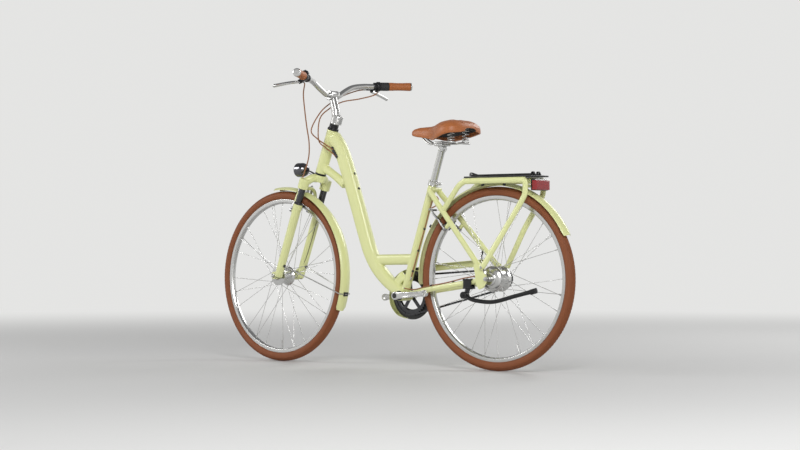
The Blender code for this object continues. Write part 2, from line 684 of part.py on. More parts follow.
def rear_hub():
    """The gear hub's shell with a flange for each side's spokes."""
    bore = AXLE_RADIUS + RUN_GAP
    left, right = REAR_FLANGES
    flange = 0.0016
    profile = [(bore, 0.0520), (0.024, 0.0520), (0.027, 0.0485), (0.043, left + 0.008),
               (REAR_FLANGE_RADIUS, left + flange), (REAR_FLANGE_RADIUS, left - flange),
               (0.0415, left - 0.006), (0.0405, right + 0.008),
               (REAR_FLANGE_RADIUS, right + flange), (REAR_FLANGE_RADIUS, right - flange),
               (0.038, right - 0.008), (0.020, CHAIN_LINE + 0.0056), (bore, CHAIN_LINE + 0.0056)]
    return turned("hub", profile, steps=14, closed=True)


def axle(half_spacing, plate_thickness, plate_gap, core_radius, hub_left, hub_right):
    """A fixed axle with its cones inside the plates and its nuts outside them."""
    outer = half_spacing + plate_gap + plate_thickness + FIT
    end = outer + 0.0105
    nut = 0.0088
    profile = [(0.0, end), (AXLE_RADIUS, end), (AXLE_RADIUS, outer + 0.007), (nut, outer + 0.007),
               (nut, outer), (AXLE_RADIUS, outer), (AXLE_RADIUS, half_spacing + plate_gap - FIT),
               (core_radius, half_spacing + plate_gap - FIT), (core_radius, hub_left + FIT),
               (AXLE_RADIUS, hub_left + FIT), (AXLE_RADIUS, -hub_right - FIT),
               (core_radius, -hub_right - FIT), (core_radius, -half_spacing - plate_gap + FIT),
               (AXLE_RADIUS, -half_spacing - plate_gap + FIT), (AXLE_RADIUS, -outer), (nut, -outer),
               (nut, -outer - 0.007), (AXLE_RADIUS, -outer - 0.007), (AXLE_RADIUS, -end), (0.0, -end)]
    return turned("axle", profile, steps=8)


SPOKE_CROSS = math.radians(40)
finish(tyre(), "tyre_front", TAN_RUBBER, FRONT_WHEEL, place=FRONT_PLACE)
finish(rim(), "rim_front", SILVER, FRONT_WHEEL, place=FRONT_PLACE)
finish(front_hub(), "hub_dynamo_front", SILVER, FRONT_WHEEL, place=FRONT_PLACE)
finish(spokes(1, FRONT_FLANGES[0], FRONT_FLANGE_RADIUS, SPOKE_CROSS), "spokes_front_left", SATIN,
       FRONT_WHEEL, place=FRONT_PLACE)
finish(spokes(-1, FRONT_FLANGES[1], FRONT_FLANGE_RADIUS, SPOKE_CROSS), "spokes_front_right", SATIN,
       FRONT_WHEEL, place=FRONT_PLACE)
finish(axle(FRONT_SPACING / 2, 0.006, FIT, 0.0080, FRONT_SPACING / 2 - 0.008,
            FRONT_SPACING / 2 - 0.008), "axle_front", SATIN, FORK_TRAVEL, place=FRONT_PLACE)
finish(tyre(), "tyre_rear", TAN_RUBBER, REAR_WHEEL, place=REAR_PLACE)
finish(rim(), "rim_rear", SILVER, REAR_WHEEL, place=REAR_PLACE)
finish(rear_hub(), "hub_gear_rear", SILVER, REAR_WHEEL, place=REAR_PLACE)
finish(spokes(1, REAR_FLANGES[0], REAR_FLANGE_RADIUS, SPOKE_CROSS), "spokes_rear_left", SATIN,
       REAR_WHEEL, place=REAR_PLACE)
finish(spokes(-1, REAR_FLANGES[1], REAR_FLANGE_RADIUS, SPOKE_CROSS), "spokes_rear_right", SATIN,
       REAR_WHEEL, place=REAR_PLACE)
finish(axle(REAR_SPACING / 2, DROPOUT_THICKNESS, 0.0, 0.0105, 0.0520, 0.0500),
       "axle_rear", SATIN, place=REAR_PLACE)


# Handlebar and what is clamped to it, in the steering frame
BAR_END = Vector((-0.045, 0.325, 0.872))
BAR_STRAIGHT = 0.165
BAR_OUT = Vector((-0.4686, 0.8580, 0.2110)).normalized()
GRIP_LENGTH = 0.092
CAP_LENGTH = 0.007
CAP_PLUG = 0.006
TWIST_START = GRIP_LENGTH + FIT
TWIST_LENGTH = 0.036
TWIST_END = TWIST_START + TWIST_LENGTH
PERCH_WIDTH = 0.013
PERCH_PLACE = 0.150
LEVER_PIVOT = Vector((0.050, 0.207, 0.816))
LEVER_TIP = Vector((0.061, 0.322, 0.786))
LEVER_RADIUS = 0.0055
LEVER_ROOT_GAP = 0.0037
BARREL_REACH = Vector((0.013, -0.022, -0.008))


def on_side(place, side):
    return Vector((place[0], place[1] * side, place[2]))


def bar_point(distance, side):
    """A point on the bar's straight end, measured inward from its tip."""
    return on_side(BAR_END - BAR_OUT * distance, side)


def handlebar():
    half = [BAR_CENTRE + Vector((0, 0.027, 0)), BAR_CENTRE + Vector((0.001, 0.040, 0.003)),
            Vector((0.062, 0.072, 0.796)), Vector((0.063, 0.110, 0.816)), Vector((0.050, 0.150, 0.829)),
            BAR_END - BAR_OUT * BAR_STRAIGHT]
    half = [BAR_CENTRE] + spline_points(half, 2) + [BAR_END]
    line = [on_side(p, -1) for p in reversed(half)] + half[1:]
    return join(tube("bar", line, BAR_RADIUS, 2), grip_cap(1), grip_cap(-1))


def bar_sleeve(name, near, far, radius, side, radius_far=None):
    """A ring round the bar's straight end between two distances from its tip."""
    inner = (BAR_RADIUS + FIT) * BORE_ROUND
    length = far - near - FIT
    half = length / 2
    other = radius if radius_far is None else radius_far
    profile = [(inner, half), (radius - 0.001, half), (radius, half - 0.0015),
               (other, -half + 0.0015), (other - 0.001, -half), (inner, -half)]
    centre = bar_point(near + FIT / 2 + half, side)
    return turned(name, profile, centre, on_side(BAR_OUT, side), 12, closed=True)


def grip_cap(side):
    """The silver end cap on the bar, which closes the grip."""
    profile = [(0.0, CAP_LENGTH), (GRIP_RADIUS - 0.004, CAP_LENGTH), (GRIP_RADIUS, CAP_LENGTH - 0.003),
               (GRIP_RADIUS, 0.0), (BAR_RADIUS * 0.8, 0.0), (BAR_RADIUS * 0.8, -CAP_PLUG), (0.0, -CAP_PLUG)]
    return turned("cap", profile, bar_point(-FIT, side), on_side(BAR_OUT, side), 12)


def shifter_housing():
    """The fixed part of the twist shifter, in one piece with the right brake clamp."""
    middle = (TWIST_END + FIT + PERCH_PLACE) / 2
    length = PERCH_PLACE - TWIST_END - FIT
    return cylinder("housing", bar_point(middle, -1), on_side(BAR_OUT, -1), 0.0195, length, 12)


def bell():
    """The small bell beside the left grip, in one piece with the left brake clamp."""
    start = GRIP_LENGTH + 0.018
    ring = cylinder("ring", bar_point((start + PERCH_PLACE) / 2, 1), BAR_OUT, 0.0145,
                    PERCH_PLACE - start, 12)
    dome_up = Vector((0.30, 0.0, 0.95)).normalized()
    dome = turned("dome", [(0.0, 0.027), (0.008, 0.0255), (0.0145, 0.020), (0.0160, 0.0132),
                           (0.0, 0.0132)], bar_point(start + 0.014, 1), dome_up, 12)
    return join(ring, dome)


def lever_perch(side):
    """The clamp on the bar with the arm that carries the lever and the cable's barrel."""
    centre = bar_point(PERCH_PLACE, side)
    ring = cylinder("ring", centre, on_side(BAR_OUT, side), 0.0165, PERCH_WIDTH, 12)
    pivot = on_side(LEVER_PIVOT, side)
    toward = (pivot - centre).normalized()
    reach = (pivot - centre).length - LEVER_ROOT_GAP
    arm = tube("arm", [centre + toward * 0.006, centre + toward * reach], 0.0070, 1)
    barrel_place = centre.lerp(pivot, 0.62)
    barrel = tube("barrel", [barrel_place, barrel_place + on_side(BARREL_REACH, side)], 0.0045, 1)
    body = join(ring, arm, barrel, bell() if side > 0 else shifter_housing())
    room = cylinder("bar_room", bar_point(PERCH_PLACE - 0.02, side), on_side(BAR_OUT, side),
                    (BAR_RADIUS + FIT) * BORE_ROUND, 0.10, 12)
    return cut(body, room)


def lever_frame(side):
    """Axis of a brake lever: turning about it draws the blade toward the grip."""
    blade = on_side(LEVER_TIP, side) - on_side(LEVER_PIVOT, side)
    grip_middle = bar_point(GRIP_LENGTH / 2, side)
    toward = grip_middle - on_side(LEVER_TIP, side)
    toward -= blade * toward.dot(blade) / blade.dot(blade)
    return blade.cross(toward).normalized()


def brake_lever(side):
    pivot = on_side(LEVER_PIVOT, side)
    tip = on_side(LEVER_TIP, side)
    bend = pivot.lerp(tip, 0.22) + Vector((0.010, 0, -0.002))
    middle = pivot.lerp(tip, 0.62) + Vector((0.004, 0, 0))
    line = spline_points([pivot, bend, middle, tip], 3)
    radii = [0.85 + 0.35 * i / (len(line) - 1) for i in range(len(line))]
    return tube("blade", line, LEVER_RADIUS, 1, radii=radii)


LAMP_CENTRE = Vector((0.106, 0.0, 0.4415))
LAMP_RADIUS = 0.029
LAMP_AXIS = Vector((math.sin(HEAD_ANGLE), 0.0, -math.cos(HEAD_ANGLE)))


def headlight():
    """The lamp's round shell with the strap that carries it in front of the crown."""
    profile = [(0.0, -0.026), (0.014, -0.025), (0.024, -0.016), (LAMP_RADIUS, 0.0),
               (LAMP_RADIUS, 0.022), (LAMP_RADIUS - 0.003, 0.024), (LAMP_RADIUS - 0.003, 0.016),
               (0.0, 0.016)]
    shell = turned("shell", list(reversed(profile)), LAMP_CENTRE, LAMP_AXIS, 16)
    start = Vector((0.0248, 0, 0.4460))
    strap = tube("strap", [start, Vector((0.050, 0, 0.4500)), LAMP_CENTRE - LAMP_AXIS * 0.022], 0.0050, 1)
    return join(shell, strap)


def headlight_lens():
    profile = [(0.0, 0.027), (0.012, 0.0262), (LAMP_RADIUS - 0.0036, 0.0235),
               (LAMP_RADIUS - 0.0036, 0.0166), (0.0, 0.0166)]
    return turned("lens", profile, LAMP_CENTRE, LAMP_AXIS, 16)


finish(handlebar(), "handlebar", SILVER, STEERING, place=STEER_TURNED)
finish(headlight(), "headlight_body", BLACK, STEERING, place=STEER_TURNED)
finish(headlight_lens(), "headlight_lens", CLEAR_LENS, STEERING, place=STEER_TURNED)
SHIFTER_PIVOT = pivot_empty("shifter_pivot", STEER_TURNED @ Matrix.Translation(bar_point(TWIST_START, -1)),
                            STEERING)
finish(bar_sleeve("twist", TWIST_START, TWIST_END, 0.0175, -1), "shifter_twist", BLACK, SHIFTER_PIVOT,
       place=STEER_TURNED)
for side, label in ((1, "left"), (-1, "right")):
    finish(bar_sleeve("grip", 0.0, GRIP_LENGTH, GRIP_RADIUS, side, GRIP_RADIUS + 0.0005),
           "grip_" + label, BROWN, STEERING, place=STEER_TURNED)
    finish(lever_perch(side), "brake_perch_" + label, BLACK, STEERING, place=STEER_TURNED)
    lever_pivot = pivot_empty("lever_pivot_" + label,
                              STEER_TURNED @ Matrix.Translation(on_side(LEVER_PIVOT, side)), STEERING)
    finish(brake_lever(side), "brake_lever_" + label, SILVER, lever_pivot, place=STEER_TURNED)


# Seatpost and saddle
SEATPOST_MOVE = pivot_empty("seatpost_pivot", Matrix.Translation(SEAT_UP * SEAT_TUBE_LENGTH))
SEATPOST_INSERT = 0.150
POST_TOP = SEAT_TUBE_LENGTH + SEATPOST_REACH
CLAMP_HEIGHT = 0.018
CLAMP_WALL = 0.0035
RAIL_RADIUS = 0.0035
RAIL_SPREAD = 0.020
RAIL_HEIGHT = 0.588
SADDLE_STATIONS = [
    (-0.046, 0.010, 0.640, 0.6340), (-0.055, 0.021, 0.6485, 0.6250), (-0.080, 0.026, 0.6530, 0.6190),
    (-0.110, 0.029, 0.6545, 0.6150), (-0.140, 0.035, 0.6560, 0.6100), (-0.165, 0.048, 0.6610, 0.6040),
    (-0.190, 0.068, 0.6680, 0.6020), (-0.220, 0.090, 0.6750, 0.6080), (-0.255, 0.103, 0.6785, 0.6180),
    (-0.288, 0.100, 0.6760, 0.6260), (-0.310, 0.080, 0.6660, 0.6280), (-0.320, 0.045, 0.6550, 0.6320),
]
SADDLE_SHELL = 0.010
SKIN_GAP = 0.0018
BASE_WALL = 0.004
RAIL_NOSE_HEIGHT = 0.6345


def seat_clamp():
    """The collar round the top of the seat tube, with its bolt lug at the back."""
    centre = SEAT_TUBE_LENGTH - CLAMP_HEIGHT / 2 + 0.001
    inner = (SEAT_TUBE_RADIUS + FIT)
    outer = SEAT_TUBE_RADIUS + CLAMP_WALL
    ring = cylinder("ring", SEAT_UP * centre, SEAT_UP, outer, CLAMP_HEIGHT, 16)
    lug = box("lug", SEAT_UP * centre + Vector((-outer - 0.004, 0, -0.002)), (0.014, 0.024, 0.014))
    bolt = cylinder("bolt", SEAT_UP * centre + Vector((-outer - 0.006, 0, -0.002)), (0, 1, 0), 0.0035,
                    0.032, 10)
    body = join(ring, lug, bolt)
    room = cylinder("room", SEAT_UP * centre, SEAT_UP, inner, CLAMP_HEIGHT + 0.01, 12)
    return cut(body, room)


def seatpost():
    """The post with its head and the clamp plates that hold both rails."""
    low = SEAT_UP * (SEAT_TUBE_LENGTH - SEATPOST_INSERT)
    high = SEAT_UP * POST_TOP
    post = cylinder("post", (low + high) / 2, SEAT_UP, SEATPOST_RADIUS, (high - low).length, 12)
    collar = cylinder("collar", SEAT_UP * (POST_TOP - 0.006), SEAT_UP, SEATPOST_RADIUS + 0.003, 0.010, 12)
    head = cylinder("head", SEAT_UP * POST_TOP + Vector((0, 0, -0.0010)), (0, 1, 0), 0.0125, 0.030, 12)
    return join(post, collar, head, *rail_clamp())


def rail_clamp():
    """The two plates and the bolt that hold both rails on the seatpost's head."""
    middle = SEAT_UP * POST_TOP
    plate_low = box("plate_low", (middle.x, 0, RAIL_HEIGHT - RAIL_RADIUS - FIT - 0.0025),
                    (0.040, 0.052, 0.005))
    plate_high = box("plate_high", (middle.x, 0, RAIL_HEIGHT + RAIL_RADIUS + FIT + 0.0025),
                     (0.040, 0.052, 0.005))
    post = cylinder("bolt", (middle.x, 0, RAIL_HEIGHT), (0, 0, 1), 0.0040, 0.022, 8)
    return [plate_low, plate_high, post]


def saddle_arc(station, inset, steps=7):
    """Half of a section from the left edge over the top to the right edge, drawn in by an inset."""
    x, width, top, edge = station
    inset = min(inset, 0.45 * width, 0.45 * (top - edge))
    points = []
    for i in range(steps):
        angle = math.pi * i / (steps - 1)
        c, s = math.cos(angle), math.sin(angle)
        y = (width - inset) * math.copysign(abs(c) ** 0.75, c)
        points.append(Vector((x, y, edge + (top - edge - inset) * abs(s) ** 0.60)))
    return points


def saddle_cover():
    """The crowned cover, hollow underneath, from the narrow nose to the broad tail."""
    rings = [saddle_arc(s, 0.0) + list(reversed(saddle_arc(s, SADDLE_SHELL))) for s in SADDLE_STATIONS]
    return loft("cover", rings)


SPRING_PLACE = Vector((-0.262, 0.048, 0.0))
SPRING_LOW = 0.5960
SPRING_HIGH = 0.6520
FOOT_TOP = 0.6600
SPRING_CURLS = 4
CURL_POINTS = 8
SPRING_RADIUS = 0.0125
SPRING_WIRE = 0.0019


def saddle_rails():
    """Both rails with the rear plate under the springs."""
    bodies = []
    plate_low = SPRING_LOW - 0.004
    for side in (1, -1):
        y = RAIL_SPREAD * side
        front = [Vector((-0.086, y * 0.40, RAIL_NOSE_HEIGHT)), Vector((-0.098, y * 0.50, 0.6150)),
                 Vector((-0.118, y * 0.8, 0.5990)), Vector((-0.140, y, RAIL_HEIGHT)),
                 Vector((-0.150, y, RAIL_HEIGHT))]
        back = [Vector((-0.220, y, RAIL_HEIGHT)), Vector((-0.238, y * 1.1, RAIL_HEIGHT)),
                Vector((-0.258, SPRING_PLACE.y * side * 0.8, plate_low)),
                Vector((-0.264, SPRING_PLACE.y * side, plate_low))]
        line = front + back
        bodies.append(tube("rail", line, RAIL_RADIUS, 1))
        bodies.append(cylinder("pad", (SPRING_PLACE.x, SPRING_PLACE.y * side, plate_low + 0.0007), (0, 0, 1),
                               0.0150, 0.006, 10))
    bodies.append(tube("rear_rail", [(-0.270, SPRING_PLACE.y, plate_low),
                                     (-0.292, 0.030, plate_low - 0.006),
                                     (-0.292, -0.030, plate_low - 0.006),
                                     (-0.270, -SPRING_PLACE.y, plate_low)], RAIL_RADIUS, 1))
    front = tube("front_rail", [(-0.0865, RAIL_SPREAD * 0.42, RAIL_NOSE_HEIGHT - 0.001),
                                (-0.0845, 0.0, RAIL_NOSE_HEIGHT),
                                (-0.0865, -RAIL_SPREAD * 0.42, RAIL_NOSE_HEIGHT - 0.001)], RAIL_RADIUS, 1)
    return join(bodies[0], *bodies[1:], front)


def spring_points():
    """A coil with straight ends that stand on the rail's pad and reach the saddle's base."""
    pitch_points = CURL_POINTS
    total = SPRING_CURLS * pitch_points
    low = SPRING_LOW + SPRING_WIRE
    high = SPRING_HIGH - SPRING_WIRE
    points = []
    for i in range(total + 1):
        angle = 2 * math.pi * i / pitch_points
        height = low + (high - low) * i / total
        points.append(Vector((SPRING_RADIUS * math.cos(angle), SPRING_RADIUS * math.sin(angle), height)))
    return points


def saddle_spring(side):
    place = Vector((SPRING_PLACE.x, SPRING_PLACE.y * side, 0.0))
    return tube("spring", [p + place for p in spring_points()], SPRING_WIRE, 1)


coil = spring_points()
least = min((coil[i] - coil[j]).length for i in range(len(coil))
            for j in range(i + CURL_POINTS - 2, len(coil)))
print("least gap between spring curls: %.2f mm" % ((least - 2 * SPRING_WIRE) * 1000))


def saddle_base():
    """The plastic base inside the cover, with a foot for each spring."""
    stations = [s for s in SADDLE_STATIONS if -0.30 < s[0] < -0.07]
    rings = []
    for station in stations:
        upper = saddle_arc(station, SADDLE_SHELL + SKIN_GAP)[1:-1]
        lower = saddle_arc(station, SADDLE_SHELL + SKIN_GAP + BASE_WALL)[1:-1]
        rings.append(upper + list(reversed(lower)))
    foot_middle = (SPRING_HIGH + FIT + FOOT_TOP) / 2
    feet = [cylinder("foot", (SPRING_PLACE.x, SPRING_PLACE.y * side, foot_middle), (0, 0, 1),
                     0.0145, FOOT_TOP - SPRING_HIGH - FIT, 12) for side in (1, -1)]
    return join(loft("base", rings), *feet)


finish(seat_clamp(), "seat_clamp", SILVER)
finish(seatpost(), "seatpost", SILVER, SEATPOST_MOVE)
finish(saddle_rails(), "saddle_rails", SATIN, SEATPOST_MOVE)
finish(saddle_spring(1), "saddle_spring_left", SATIN, SEATPOST_MOVE)
finish(saddle_spring(-1), "saddle_spring_right", SATIN, SEATPOST_MOVE)
finish(saddle_base(), "saddle_base", BLACK, SEATPOST_MOVE)
finish(saddle_cover(), "saddle_cover", BROWN, SEATPOST_MOVE)


# Fenders, drawn in the wheel's frame
FENDER_RADIUS = 0.3640
FENDER_THICKNESS = 0.0014
FENDER_HALF_WIDTH = 0.0250
FRONT_FENDER_SPAN = (math.radians(62.0), math.radians(182.0))
REAR_FENDER_SPAN = (math.radians(-4.0), math.radians(153.0))
STAY_WIRE_RADIUS = 0.0026


def fender(span, steps=15):
    """A thin arched strip round the tyre; angles run from straight ahead over the top."""
    rows = []
    start, end = span
    for i in range(steps + 1):
        angle = start + (end - start) * i / steps
        out = Vector((math.cos(angle), 0.0, math.sin(angle)))
        outer, inner = [], []
        for k in range(5):
            across = -1.0 + k / 2.0
            drop = 0.0105 * across * across
            y = Vector((0, FENDER_HALF_WIDTH * across, 0))
            outer.append(out * (FENDER_RADIUS + FENDER_THICKNESS - drop) + y)
            inner.append(out * (FENDER_RADIUS - drop) + y)
        rows.append(outer + list(reversed(inner)))
    return loft("fender", rows)


def fender_front():
    """The front fender with its bridge tab at the arch and its stay lugs."""
    body = fender(FRONT_FENDER_SPAN)
    arch_low = LOWER_LEG_TOP + 0.061 - ARCH_DEPTH / 2 - FIT
    lug = box("lug", (-0.002, 0.0, (FENDER_RADIUS + arch_low) / 2),
              (0.010, 0.012, arch_low - FENDER_RADIUS))
    return join(body, lug, front_stays())


FRONT_STAY_ANGLE = math.radians(171.0)


def front_stays():
    """The front fender's wire stay: one loop under the fender with a foot on each leg."""
    line = []
    foot_x = LEG_SETBACK - FORK_OFFSET - LOWER_LEG_RADIUS + 0.003 - STAY_WIRE_RADIUS - FIT
    for side in (1, -1):
        foot = Vector((foot_x, LEG_SPREAD * side, 0.060))
        out = Vector((math.cos(FRONT_STAY_ANGLE), 0.0, math.sin(FRONT_STAY_ANGLE)))
        beside = Vector((0, (FENDER_HALF_WIDTH + 0.0034) * side, 0))
        edge = out * (FENDER_RADIUS + FENDER_THICKNESS - 0.006) + beside
        crown_place = Vector((0, 0.006 * side, 0))
        over = out * (FENDER_RADIUS + FENDER_THICKNESS + STAY_WIRE_RADIUS * 0.3) + crown_place
        part = [foot, foot.lerp(edge, 0.5), edge, over]
        line = line + (part if side == 1 else list(reversed(part)))
    return tube("stay", line, STAY_WIRE_RADIUS, 1)


# Rear rack, in the bicycle's frame
RACK_SPREAD = 0.060
RACK_HEIGHT = 0.440
RACK_TUBE = 0.0115
RACK_BAR_RADIUS = 0.0062
RACK_BACK = -0.613
RACK_ARM_PLACE = 0.27
DECK_HALF_WIDTH = 0.052
DECK_FRONT = -0.330
DECK_BACK = -0.640
DECK_THICKNESS = 0.006


def rack_frame():
    """The painted rack: a leg, a rail and a front arm on each side, with bars across."""
    bodies = []
    for side in (1, -1):
        y = RACK_SPREAD * side
        foot = REAR_HUB + Vector((0.010, (REAR_SPACING / 2 + 0.0140) * side, 0.045))
        line = [foot, Vector((-0.529, y * 1.05, 0.263)), Vector((-0.600, y, 0.366)),
                Vector((-0.612, y, 0.392)), Vector((RACK_BACK, y, RACK_HEIGHT - 0.006)),
                Vector((RACK_BACK + 0.008, y, RACK_HEIGHT)), Vector((-0.345, y, RACK_HEIGHT)),
                Vector((-0.325, y * 0.98, RACK_HEIGHT - 0.005)),
                Vector((-0.300, y * 0.93, RACK_HEIGHT - 0.022)),
                seatstay_point(RACK_ARM_PLACE, side)]
        bodies.append(tube("rail", line, RACK_TUBE, 2, flat=STAY_FLATNESS))
        lug_place = REAR_HUB + Vector((0.014, (REAR_SPACING / 2 + 0.0115) * side, 0.044))
        bodies.append(cylinder("foot_lug", lug_place, (0, 1, 0), 0.0090, 0.010, 12))
    cross_bars = ((RACK_BACK + 0.004, RACK_HEIGHT - 0.022), (-0.470, RACK_HEIGHT),
                  (-0.345, RACK_HEIGHT - 0.004))
    for x, z in cross_bars:
        bodies.append(tube("bar", [(x, RACK_SPREAD, z), (x, -RACK_SPREAD, z)], RACK_BAR_RADIUS, 1))
    rooms = [seatstay(side, FIT * 1.7) for side in (1, -1)]
    return cut(join(bodies[0], *bodies[1:]), *rooms)


def rack_deck():
    """The black deck that lies on the rails: two rods with slats across."""
    low = RACK_HEIGHT + RACK_TUBE + FIT
    thick = DECK_THICKNESS
    bodies = []
    for side in (1, -1):
        bodies.append(box("rod", ((DECK_FRONT + DECK_BACK) / 2, DECK_HALF_WIDTH * side, low + thick / 2),
                          (DECK_FRONT - DECK_BACK, 0.012, thick)))
    count = 5
    for i in range(count):
        x = DECK_BACK + 0.012 + (DECK_FRONT - DECK_BACK - 0.024) * i / (count - 1)
        bodies.append(box("slat", (x, 0, low + thick / 2), (0.020, 2 * DECK_HALF_WIDTH, thick)))
    return join(bodies[0], *bodies[1:])


CLAMP_WIRE = 0.0038
DECK_TOP = RACK_HEIGHT + RACK_TUBE + FIT + DECK_THICKNESS
CLAMP_REST_GAP = 0.0006
CLAMP_HINGE = Vector((DECK_BACK + 0.020, 0.0, DECK_TOP + CLAMP_WIRE + CLAMP_REST_GAP))


def rack_spring_clamp():
    """The sprung frame that presses luggage onto the deck, with its crossbar at the hinge."""
    z = CLAMP_HINGE.z
    front = DECK_FRONT - 0.004
    line = [Vector((CLAMP_HINGE.x, 0.030, z)), Vector((-0.480, 0.030, z)), Vector((front - 0.020, 0.030, z)),
            Vector((front, 0.020, z + 0.004)), Vector((front + 0.010, 0.0, z + 0.010)),
            Vector((front, -0.020, z + 0.004)), Vector((front - 0.020, -0.030, z)),
            Vector((-0.480, -0.030, z)), Vector((CLAMP_HINGE.x, -0.030, z))]
    frame = tube("frame", line, CLAMP_WIRE, 1)
    hinge = cylinder("hinge", CLAMP_HINGE, (0, 1, 0), CLAMP_WIRE, 0.066, 10)
    bar = tube("bar", [(-0.470, 0.030, z), (-0.470, -0.030, z)], CLAMP_WIRE, 1)
    return join(frame, hinge, bar)


def tail_light():
    """The black case with the red lens, under the rack's back end."""
    front = RACK_BACK - 0.014
    bar_back = RACK_BACK + 0.004 - RACK_BAR_RADIUS - FIT
    case = box("case", (front - 0.010, 0, RACK_HEIGHT - 0.017), (0.020, 0.090, 0.044), 0.003)
    bracket = box("bracket", ((front - 0.004 + bar_back) / 2, 0, RACK_HEIGHT - 0.022),
                  (bar_back - front + 0.004, 0.030, 0.016))
    return join(case, bracket)


finish(fender_front(), "fender_front", PAINT, FORK_TRAVEL, place=FRONT_PLACE)
finish(fender(REAR_FENDER_SPAN, 19), "fender_rear", PAINT, place=REAR_PLACE)
finish(rack_frame(), "rack_frame", PAINT)
finish(rack_deck(), "rack_deck", BLACK)
RACK_CLAMP = pivot_empty("rack_clamp_pivot", Matrix.Translation(CLAMP_HINGE))
finish(rack_spring_clamp(), "rack_spring_clamp", BLACK_STEEL, RACK_CLAMP)
finish(tail_light(), "tail_light_case", BLACK)


def tail_lens():
    """The red lens on the back of the case."""
    back = RACK_BACK - 0.014 - 0.020
    return box("lens", (back - FIT - 0.003, 0, RACK_HEIGHT - 0.019), (0.006, 0.084, 0.032), 0.0018)


finish(tail_lens(), "tail_light_lens", RED_LENS)


# Drivetrain, drawn with the right crank arm straight ahead
CRANK_LENGTH = 0.170
CRANK_REST_ANGLE = math.radians(4.0)
CRANK_BOSS_RADIUS = 0.0165
CRANK_BOSS_IN = 0.0480
CRANK_BOSS_OUT = 0.0640
CRANK_STATIONS = [(0.000, 0.0150, 0.0500, 0.0635), (0.030, 0.0130, 0.0530, 0.0665),
                  (0.080, 0.0115, 0.0640, 0.0755), (0.140, 0.0105, 0.0800, 0.0915),
                  (0.168, 0.0110, 0.0880, 0.0990)]
PEDAL_EYE_RADIUS = 0.0135
PEDAL_EYE_IN = 0.0870
PEDAL_EYE_OUT = 0.1000
PEDAL_BORE_RADIUS = 0.0070
SPINDLE_RADIUS = 0.0075
CARTRIDGE_FLANGE = 0.0026
CHAINRING_RADIUS = 0.0725
CHAINRING_THICKNESS = 0.0030
SPROCKET_RADIUS = 0.0320
CHAIN_HEIGHT = 0.0085
CHAIN_WIDTH = 0.0085
CHAIN_TURN_STEPS = 12
CRANK_TURN = Matrix.Rotation(CRANK_REST_ANGLE, 4, "Y")
CRANKS = pivot_empty("crank_pivot", CRANK_TURN)


def bottom_bracket():
    """The bearing cartridge in the bracket shell, with a flange at each end."""
    bore = SPINDLE_RADIUS + RUN_GAP
    body = BRACKET_SHELL_BORE * math.cos(math.pi / 12) - FIT
    shell_end = BRACKET_SHELL_WIDTH / 2 + FIT
    end = shell_end + CARTRIDGE_FLANGE
    flange = BRACKET_SHELL_RADIUS - 0.0015
    profile = [(bore, end), (flange, end), (flange, shell_end), (body, shell_end), (body, -shell_end),
               (flange, -shell_end), (flange, -end), (bore, -end)]
    return turned("cartridge", profile, steps=12, closed=True)


def crank_arm(side):
    """A tapering arm from the spindle boss to the open pedal eye."""
    rings = []
    for x, half, inner, outer in CRANK_STATIONS:
        edge = 0.35 * half
        corner = 0.25 * (outer - inner)
        rings.append([Vector((x, side * y, z)) for y, z in (
            (inner + corner, half), (outer - corner, half), (outer, half - edge), (outer, edge - half),
            (outer - corner, -half), (inner + corner, -half), (inner, edge - half), (inner, half - edge))])
    arm = loft("arm", rings)
    boss = cylinder("boss", (0, side * (CRANK_BOSS_IN + CRANK_BOSS_OUT) / 2, 0), (0, 1, 0),
                    CRANK_BOSS_RADIUS, CRANK_BOSS_OUT - CRANK_BOSS_IN, 14)
    eye = cylinder("eye", (CRANK_LENGTH, side * (PEDAL_EYE_IN + PEDAL_EYE_OUT) / 2, 0), (0, 1, 0),
                   PEDAL_EYE_RADIUS, PEDAL_EYE_OUT - PEDAL_EYE_IN, 14)
    bore = cylinder("bore", (CRANK_LENGTH, side * (PEDAL_EYE_IN + PEDAL_EYE_OUT) / 2, 0), (0, 1, 0),
                    PEDAL_BORE_RADIUS, 0.030, 12)
    return cut(join(arm, boss, eye), bore)


def crank_right():
    """The right arm with the chainring and the spindle that runs through the bracket."""
    ring = cylinder("ring", (0, CHAIN_LINE, 0), (0, 1, 0), CHAINRING_RADIUS, CHAINRING_THICKNESS, 24)
    hub = cylinder("hub", (0, (CHAIN_LINE - CRANK_BOSS_IN) / 2, 0), (0, 1, 0), CRANK_BOSS_RADIUS - 0.002,
                   CRANK_BOSS_IN + CHAIN_LINE + 0.006, 12)
    left_end = CRANK_BOSS_OUT - 0.004
    spindle = cylinder("spindle", (0, (left_end - CRANK_BOSS_IN) / 2, 0), (0, 1, 0), SPINDLE_RADIUS,
                       left_end + CRANK_BOSS_IN, 12)
    return join(crank_arm(-1), hub, ring, spindle)


def crank_left():
    """The left arm, bored to sit on the spindle's end."""
    arm = crank_arm(1)
    arm.data.transform(Matrix.Rotation(math.pi, 4, "Y"))
    room_end = CRANK_BOSS_OUT - 0.004 + FIT
    room = cylinder("room", (0, room_end - 0.02, 0), (0, 1, 0),
                    (SPINDLE_RADIUS + FIT) / math.cos(math.pi / 12), 0.040, 12)
    return cut(arm, room)


def sprocket():
    """The rear sprocket with the driver ring that turns on the axle beside the hub."""
    bore = AXLE_RADIUS + RUN_GAP
    inner = CHAIN_LINE + 0.0053
    outer = -0.0499
    driver = 0.0170
    half = 0.0013
    profile = [(bore, inner), (driver, inner), (driver, CHAIN_LINE + half),
               (SPROCKET_RADIUS, CHAIN_LINE + half), (SPROCKET_RADIUS, CHAIN_LINE - half),
               (driver, CHAIN_LINE - half), (driver, outer), (bore, outer)]
    return turned("sprocket", profile, steps=14, closed=True)


